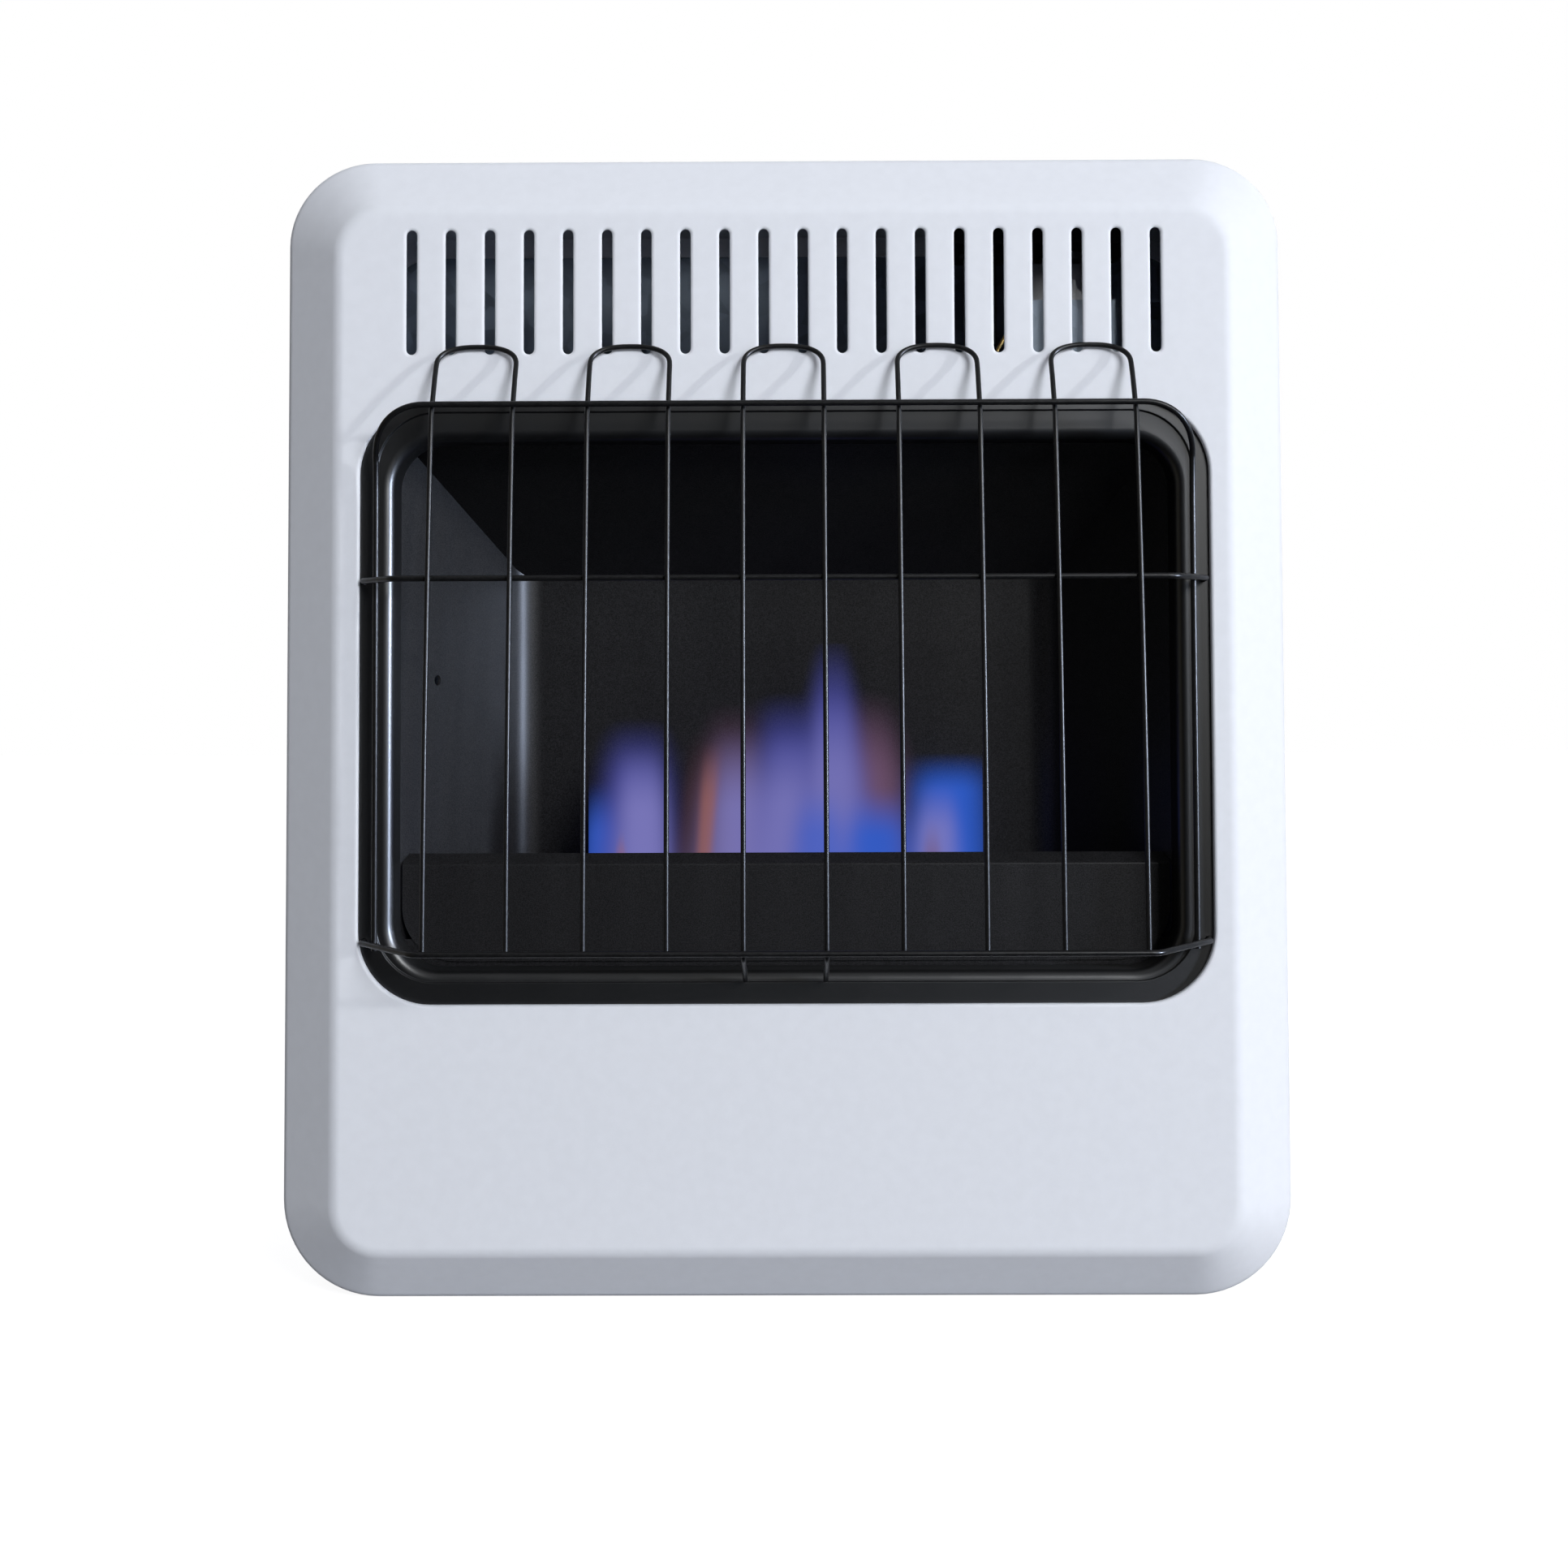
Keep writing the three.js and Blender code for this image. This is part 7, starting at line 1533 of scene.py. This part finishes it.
def build_wrap(cover, cabinet, controls):
    """One bent sheet for both sides and the top, with a flange along its rear edge."""
    path = wrap_path(cover, cabinet)
    start, end, flange = cabinet.wrap_start, cabinet.depth - SHEET - SEAT_GAP, 0.013
    section = (
        (0, start), (0, end), (flange, end), (flange, end - SHEET), (SHEET, end - SHEET), (SHEET, start))
    skin = Skin()
    rings = [skin.ring_at_depth(offset_path(path, inset), depth) for inset, depth in section]
    skin.loft(rings, closed=False, around=True)
    for place in (0, -1):
        skin.cap([ring[place] for ring in rings])
    piece = skin_object("wrap", skin)
    cuts = Skin()
    deck = (cover.height - cabinet.inset - SHEET - OVERCUT, cover.height + OVERCUT)
    slot_depth, slot_width, slot_length = 0.092, 0.007, 0.078
    for index in range(cabinet.deck_slots):
        x = cabinet.deck_slot_first + index * cabinet.deck_slot_pitch
        cuts.plate(slot_outline(x, FACE_Y + slot_depth, slot_width, slot_length), [], deck, across=2)
    cuts.plate(well_outline(controls, 0), [], deck, across=2)
    for outline in screw_holes(cover):
        cuts.plate(outline, [], (end - 2 * SHEET, end + OVERCUT))
    carve(piece, cuts)
    finish_piece(piece, "white_enamel", replaces=["cabinet_wrap"])


def build_rear_panel(cover, cabinet):
    inset = cabinet.inset
    half = cover.width / 2 - inset
    outline = round_rectangle(-half, half, inset, cover.height - inset,
                              cover.lower_radius - inset, cover.upper_radius - inset)
    vent_height, vent_width, vent_length = 0.090, 0.008, 0.060
    tab_x, tab_half, tab_foot, tab_top = 0.100, 0.0155, 0.507, 0.5203
    inlet_x, inlet_height, inlet_radius = 0.180, 0.0191, 0.017
    holes = []
    for index in range(cabinet.vent_count):
        x = (index - (cabinet.vent_count - 1) / 2) * cabinet.vent_pitch
        holes.append(slot_outline(x, vent_height, vent_width, vent_length))
    for middle in (-tab_x, tab_x):
        left, right = middle - tab_half, middle + tab_half
        holes.append([(left, tab_foot), (right, tab_foot), (right, tab_top), (left, tab_top)])
    holes.append(round_outline(inlet_x, inlet_height, inlet_radius))
    holes += screw_holes(cover)
    skin = Skin()
    skin.plate(outline, holes, (cabinet.depth - SHEET, cabinet.depth))
    finish_piece(skin_object("back_sheet", skin), "galvanised", replaces=["rear_panel"])


def build_screws(cover, cabinet):
    """Pan head screws of the rear panel, one at each point."""
    shank, tip, head, head_edge, head_top, socket = 0.0018, -0.008, 0.004, 0.0012, 0.0022, 0.0012
    shank_bend, rim_bend, dome_bend, bend_steps = 0.0001, 0.0003, 0.0008, 4
    profile = bent_path([
        (shank, tip), (shank, SEAT_GAP), (head, SEAT_GAP), (head, head_edge), (socket, head_top),
        (socket, head_edge),
    ], [shank_bend, rim_bend, dome_bend, rim_bend], bend_steps)
    skin = Skin()
    skin.turn([(0, tip)] + [(point.x, point.y) for point in profile] + [(0, head_edge)], (0, 0), sides=32)
    skin.corners = [(x, z, y) for x, y, z in skin.corners]
    places = [at_depth(x, cabinet.depth, z) for x, z in screw_places(cover)]
    screws = scattered_piece("rear_screws", places, skin, "steel")
    finish_piece(screws, "steel", replaces=[f"rear_screw_{i + 1}" for i in range(len(places))])


# Gas tubes and leads


def tube_routes():
    """Routes of the tubes and leads: name, node, radius, bend, finish and corners as x, depth, z."""
    return (
        ("main_tube", "main_gas_tube", 0.004, 0.012, "aluminium_tube", (
            (0.145, 0.062, 0.511), (0.145, 0.062, 0.470), (0.228, 0.062, 0.470), (0.228, 0.062, 0.128),
            (0.1608, 0.062, 0.128), (0.1608, 0.062, 0.1762))),
        ("pilot_tube", "pilot_gas_tube", 0.00225, 0.008, "aluminium_tube", (
            (0.156, 0.057875, 0.511), (0.156, 0.057875, 0.490), (0.236, 0.057875, 0.490),
            (0.236, 0.057875, 0.110), (-0.040, 0.057875, 0.110), (-0.040, 0.041, 0.128),
            (-0.040, 0.041, 0.1767))),
        ("thermocouple_wire", "thermocouple_lead", 0.0013, 0.008, "brass", (
            (0.156, 0.0837, 0.511), (0.156, 0.0837, 0.497), (0.239, 0.0837, 0.497), (0.239, 0.0837, 0.094),
            (-0.053, 0.0837, 0.094), (-0.053, 0.041, 0.112), (-0.053, 0.041, 0.1787))),
        ("spark_wire", "ignition_wire", 0.002, 0.008, "rubber", (
            (0.108, 0.072, 0.4997), (0.108, 0.072, 0.480), (0.124, 0.050, 0.458), (0.246, 0.050, 0.458),
            (0.246, 0.050, 0.078), (-0.026, 0.050, 0.078), (-0.026, 0.041, 0.096),
            (-0.026, 0.041, 0.1807))),
        ("capillary", "sensor_capillary", 0.001, 0.003, "brass", (
            (0.1267, 0.072, 0.5328), (0.123, 0.072, 0.5328), (0.123, 0.036, 0.508), (0.104, 0.036, 0.474),
            (-0.238, 0.036, 0.474), (-0.238, 0.070, 0.440), (-0.238, 0.070, 0.1403))),
        ("supply_tube", "inlet_tube", 0.00475, 0.012, "aluminium_tube", (
            (0.2093, 0.141, 0.0148), (0.226, 0.141, 0.0148), (0.226, 0.141, 0.478), (0.167, 0.072, 0.478),
            (0.167, 0.072, 0.511))),
    )


def build_tubes():
    for name, node, radius, bend, look, corners in tube_routes():
        path = bent_path([at_depth(*corner) for corner in corners], bend)
        finish_piece(wire_piece(name, path, radius, look, TUBE_SIDES), look, replaces=[node])


def dress_frame():
    """Finishes of the CAD nodes that stay visible."""
    worn = {
        "galvanised": ("base_tray", "wall_bracket", "burner_bracket_left", "burner_bracket_right",
                       "injector_bracket", "pilot_bracket", "valve_bracket", "igniter_nut", "bulb_clip"),
        "black_enamel": ("firebox_floor",),
        "steel": ("burner_tube", "burner_venturi", "pilot_burner", "thermocouple_probe", "electrode_tip",
                  "thrust_washer", "valve_stem"),
        "brass": ("injector", "injector_elbow", "inlet_fitting", "sensor_bulb"),
        "cast_aluminium": ("gas_valve_body", "regulator_body", "regulator_cap"),
        "black_plastic": ("igniter_body",),
        "ceramic": ("electrode_insulator",),
    }
    for name, nodes in worn.items():
        for node in nodes:
            wear(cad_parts[node], name)


# Stage


def camera_matrix(stage):
    """The camera's turn and place from its pitch, yaw and roll."""
    pitch, yaw, roll = stage.camera_pitch, stage.camera_yaw, stage.camera_roll
    forward = Vector((-math.sin(yaw) * math.cos(pitch), math.cos(yaw) * math.cos(pitch), math.sin(pitch)))
    level = Vector((math.cos(yaw), math.sin(yaw), 0))
    upright = level.cross(forward)
    right = level * math.cos(roll) + upright * math.sin(roll)
    up = upright * math.cos(roll) - level * math.sin(roll)
    turned = Matrix((right, up, -forward)).transposed().to_4x4()
    turned.translation = Vector(stage.camera_place)
    return turned


def add_camera(stage):
    camera = bpy.data.cameras.new("camera")
    camera.sensor_width = 36
    camera.lens = stage.lens
    camera.shift_y = stage.shift
    camera.clip_start = 0.01
    holder = new_object("camera", camera)
    holder.matrix_world = camera_matrix(stage)
    bpy.context.scene.camera = holder


def add_light(name, watts):
    """One light of the table, turned towards the heater."""
    azimuth, elevation, distance, width, height, tint = LIGHTS[name]
    light = bpy.data.lights.new(name, "AREA")
    light.shape = "RECTANGLE"
    light.size = width
    light.size_y = height
    light.energy = watts
    light.color = tint
    holder = new_object(name, light)
    towards = Vector((math.sin(azimuth) * math.cos(elevation), -math.cos(azimuth) * math.cos(elevation),
                      math.sin(elevation)))
    holder.location = LIGHTS_AIM + towards * distance
    holder.rotation_euler = towards.to_track_quat("Z", "Y").to_euler()
    return holder


def add_world():
    """White to the camera; to all else a dim room that is brighter on the left, above and behind."""
    world = bpy.data.worlds.new("room")
    world.use_nodes = True
    tree = world.node_tree
    tree.nodes.clear()
    place = add_node(tree, "ShaderNodeTexCoord")
    split = add_node(tree, "ShaderNodeSeparateXYZ", {"Vector": place.outputs["Generated"]})
    room = ROOM_DIM
    for axis, start, end, glow in ROOM_GLOWS:
        spread = add_node(tree, "ShaderNodeMapRange", {
            "Value": split.outputs[axis], "From Min": start, "From Max": end,
        }, interpolation_type="SMOOTHSTEP")
        room = mix_colours(tree, spread.outputs["Result"], room, glow, "ADD")
    lit = add_node(tree, "ShaderNodeBackground", {"Color": room})
    seen = add_node(tree, "ShaderNodeBackground", {"Color": (1, 1, 1, 1)})
    rays = add_node(tree, "ShaderNodeLightPath")
    switch = add_node(tree, "ShaderNodeMixShader", {
        0: rays.outputs["Is Camera Ray"], 1: lit.outputs["Background"], 2: seen.outputs["Background"]})
    add_node(tree, "ShaderNodeOutputWorld", {"Surface": switch.outputs["Shader"]})
    bpy.context.scene.world = world


def add_floor(stage):
    """A pale floor that keeps the heater's shadow."""
    half = stage.floor_size / 2
    corners = [(-half, -half, 0), (half, -half, 0), (half, half, 0), (-half, half, 0)]
    floor = new_object("floor", new_mesh("floor", corners, faces=[(0, 1, 2, 3)]))
    floor.data.materials.append(floor_material())
    floor.visible_glossy = False


def floor_material():
    """White paper: it shines a little to the camera, so that only the shadow shows."""
    material, tree, surface = new_material("floor")
    low, high, roughness, specular, shine = (0.29, 0.29, 0.30), (0.31, 0.31, 0.32), 0.9, 0.1, 0.90
    marks = add_marks(tree, scale=30, detail=3, bump=0)
    rays = add_node(tree, "ShaderNodeLightPath")
    set_inputs(tree, surface, {
        "Roughness": roughness,
        "Specular IOR Level": specular,
        "Base Color": mix_colours(tree, marks.outputs["Mask"], low, high),
        "Emission Color": (1, 1, 1, 1),
        "Emission Strength": map_value(tree, rays.outputs["Is Camera Ray"], 0, shine),
    })
    return material


# Operators


class HEATER_OT_cover(bpy.types.Operator):
    """Builds the drawn white cover with its slots and its opening."""

    bl_idname = "heater.cover"
    bl_label = "Front cover"
    bl_options = {"REGISTER", "UNDO"}

    def execute(self, context):
        scene = context.scene
        build_cover(scene.heater_cover, scene.heater_opening)
        return {"FINISHED"}


class HEATER_OT_bezel(bpy.types.Operator):
    """Builds the black bezel behind the cover's opening."""

    bl_idname = "heater.bezel"
    bl_label = "Opening bezel"
    bl_options = {"REGISTER", "UNDO"}

    def execute(self, context):
        scene = context.scene
        build_bezel(scene.heater_opening, scene.heater_guard)
        return {"FINISHED"}


class HEATER_OT_firebox(bpy.types.Operator):
    """Builds the firebox: liner, hood and burner shield."""

    bl_idname = "heater.firebox"
    bl_label = "Firebox"
    bl_options = {"REGISTER", "UNDO"}

    def execute(self, context):
        scene = context.scene
        build_liner(scene.heater_firebox, scene.heater_opening)
        build_hood(scene.heater_firebox, scene.heater_opening)
        build_shield(scene.heater_firebox, scene.heater_opening)
        return {"FINISHED"}


class HEATER_OT_guard(bpy.types.Operator):
    """Builds the wire guard: frame wire, cross bars, hairpins and welds."""

    bl_idname = "heater.guard"
    bl_label = "Wire guard"
    bl_options = {"REGISTER", "UNDO"}

    def execute(self, context):
        scene = context.scene
        build_guard(scene.heater_guard, scene.heater_opening)
        return {"FINISHED"}


class HEATER_OT_flames(bpy.types.Operator):
    """Builds the blue flames over the burner."""

    bl_idname = "heater.flames"
    bl_label = "Flames"
    bl_options = {"REGISTER", "UNDO"}

    def execute(self, context):
        scene = context.scene
        build_flames(scene.heater_flames)
        return {"FINISHED"}


class HEATER_OT_controls(bpy.types.Operator):
    """Builds the knob, the igniter button and the well they stand in."""

    bl_idname = "heater.controls"
    bl_label = "Controls"
    bl_options = {"REGISTER", "UNDO"}

    def execute(self, context):
        scene = context.scene
        build_well(scene.heater_controls)
        build_knob(scene.heater_controls)
        build_button(scene.heater_controls)
        return {"FINISHED"}


class HEATER_OT_cabinet(bpy.types.Operator):
    """Builds the cabinet: wrap, rear panel and its screws."""

    bl_idname = "heater.cabinet"
    bl_label = "Cabinet"
    bl_options = {"REGISTER", "UNDO"}

    def execute(self, context):
        scene = context.scene
        build_wrap(scene.heater_cover, scene.heater_cabinet, scene.heater_controls)
        build_rear_panel(scene.heater_cover, scene.heater_cabinet)
        build_screws(scene.heater_cover, scene.heater_cabinet)
        return {"FINISHED"}


class HEATER_OT_gas_train(bpy.types.Operator):
    """Builds the gas tubes and leads and dresses the frame's own pieces."""

    bl_idname = "heater.gas_train"
    bl_label = "Gas train"
    bl_options = {"REGISTER", "UNDO"}

    def execute(self, context):
        build_tubes()
        dress_frame()
        return {"FINISHED"}


class HEATER_OT_stage(bpy.types.Operator):
    """Builds the floor, the lights, the room and the camera."""

    bl_idname = "heater.stage"
    bl_label = "Stage"
    bl_options = {"REGISTER", "UNDO"}

    def execute(self, context):
        scene = context.scene
        stage = scene.heater_stage
        add_floor(stage)
        add_world()
        add_light("key", stage.key_power)
        add_light("sun", stage.sun_power)
        add_light("soft", stage.soft_power)
        add_light("glint", stage.glint_power).visible_diffuse = False
        add_camera(stage)
        scene.view_settings.view_transform = "Standard"
        return {"FINISHED"}


class HEATER_PT_pieces(bpy.types.Panel):
    """Lists the pieces of the heater."""

    bl_idname = "HEATER_PT_pieces"
    bl_label = "Gas heater"
    bl_space_type = "VIEW_3D"
    bl_region_type = "UI"
    bl_category = "Heater"

    def draw(self, context):
        for operator in OPERATORS:
            self.layout.operator(operator.bl_idname)


SETTINGS = {
    "heater_cover": HeaterCoverSettings,
    "heater_opening": HeaterOpeningSettings,
    "heater_firebox": HeaterFireboxSettings,
    "heater_guard": HeaterGuardSettings,
    "heater_controls": HeaterControlSettings,
    "heater_cabinet": HeaterCabinetSettings,
    "heater_flames": HeaterFlameSettings,
    "heater_finish": HeaterFinishSettings,
    "heater_stage": HeaterStageSettings,
}
OPERATORS = (
    HEATER_OT_cover,
    HEATER_OT_bezel,
    HEATER_OT_firebox,
    HEATER_OT_guard,
    HEATER_OT_flames,
    HEATER_OT_controls,
    HEATER_OT_cabinet,
    HEATER_OT_gas_train,
    HEATER_OT_stage,
)


def register():
    for name, group in SETTINGS.items():
        bpy.utils.register_class(group)
        setattr(bpy.types.Scene, name, PointerProperty(type=group))
    for operator in OPERATORS:
        bpy.utils.register_class(operator)
    bpy.utils.register_class(HEATER_PT_pieces)


def unregister():
    bpy.utils.unregister_class(HEATER_PT_pieces)
    for operator in reversed(OPERATORS):
        bpy.utils.unregister_class(operator)
    for name, group in SETTINGS.items():
        delattr(bpy.types.Scene, name)
        bpy.utils.unregister_class(group)


def main():
    register()
    bpy.ops.heater.cover()
    bpy.ops.heater.bezel()
    bpy.ops.heater.firebox()
    bpy.ops.heater.guard()
    bpy.ops.heater.flames()
    bpy.ops.heater.controls()
    bpy.ops.heater.cabinet()
    bpy.ops.heater.gas_train()
    bpy.ops.heater.stage()


if __name__ == "__main__":
    main()
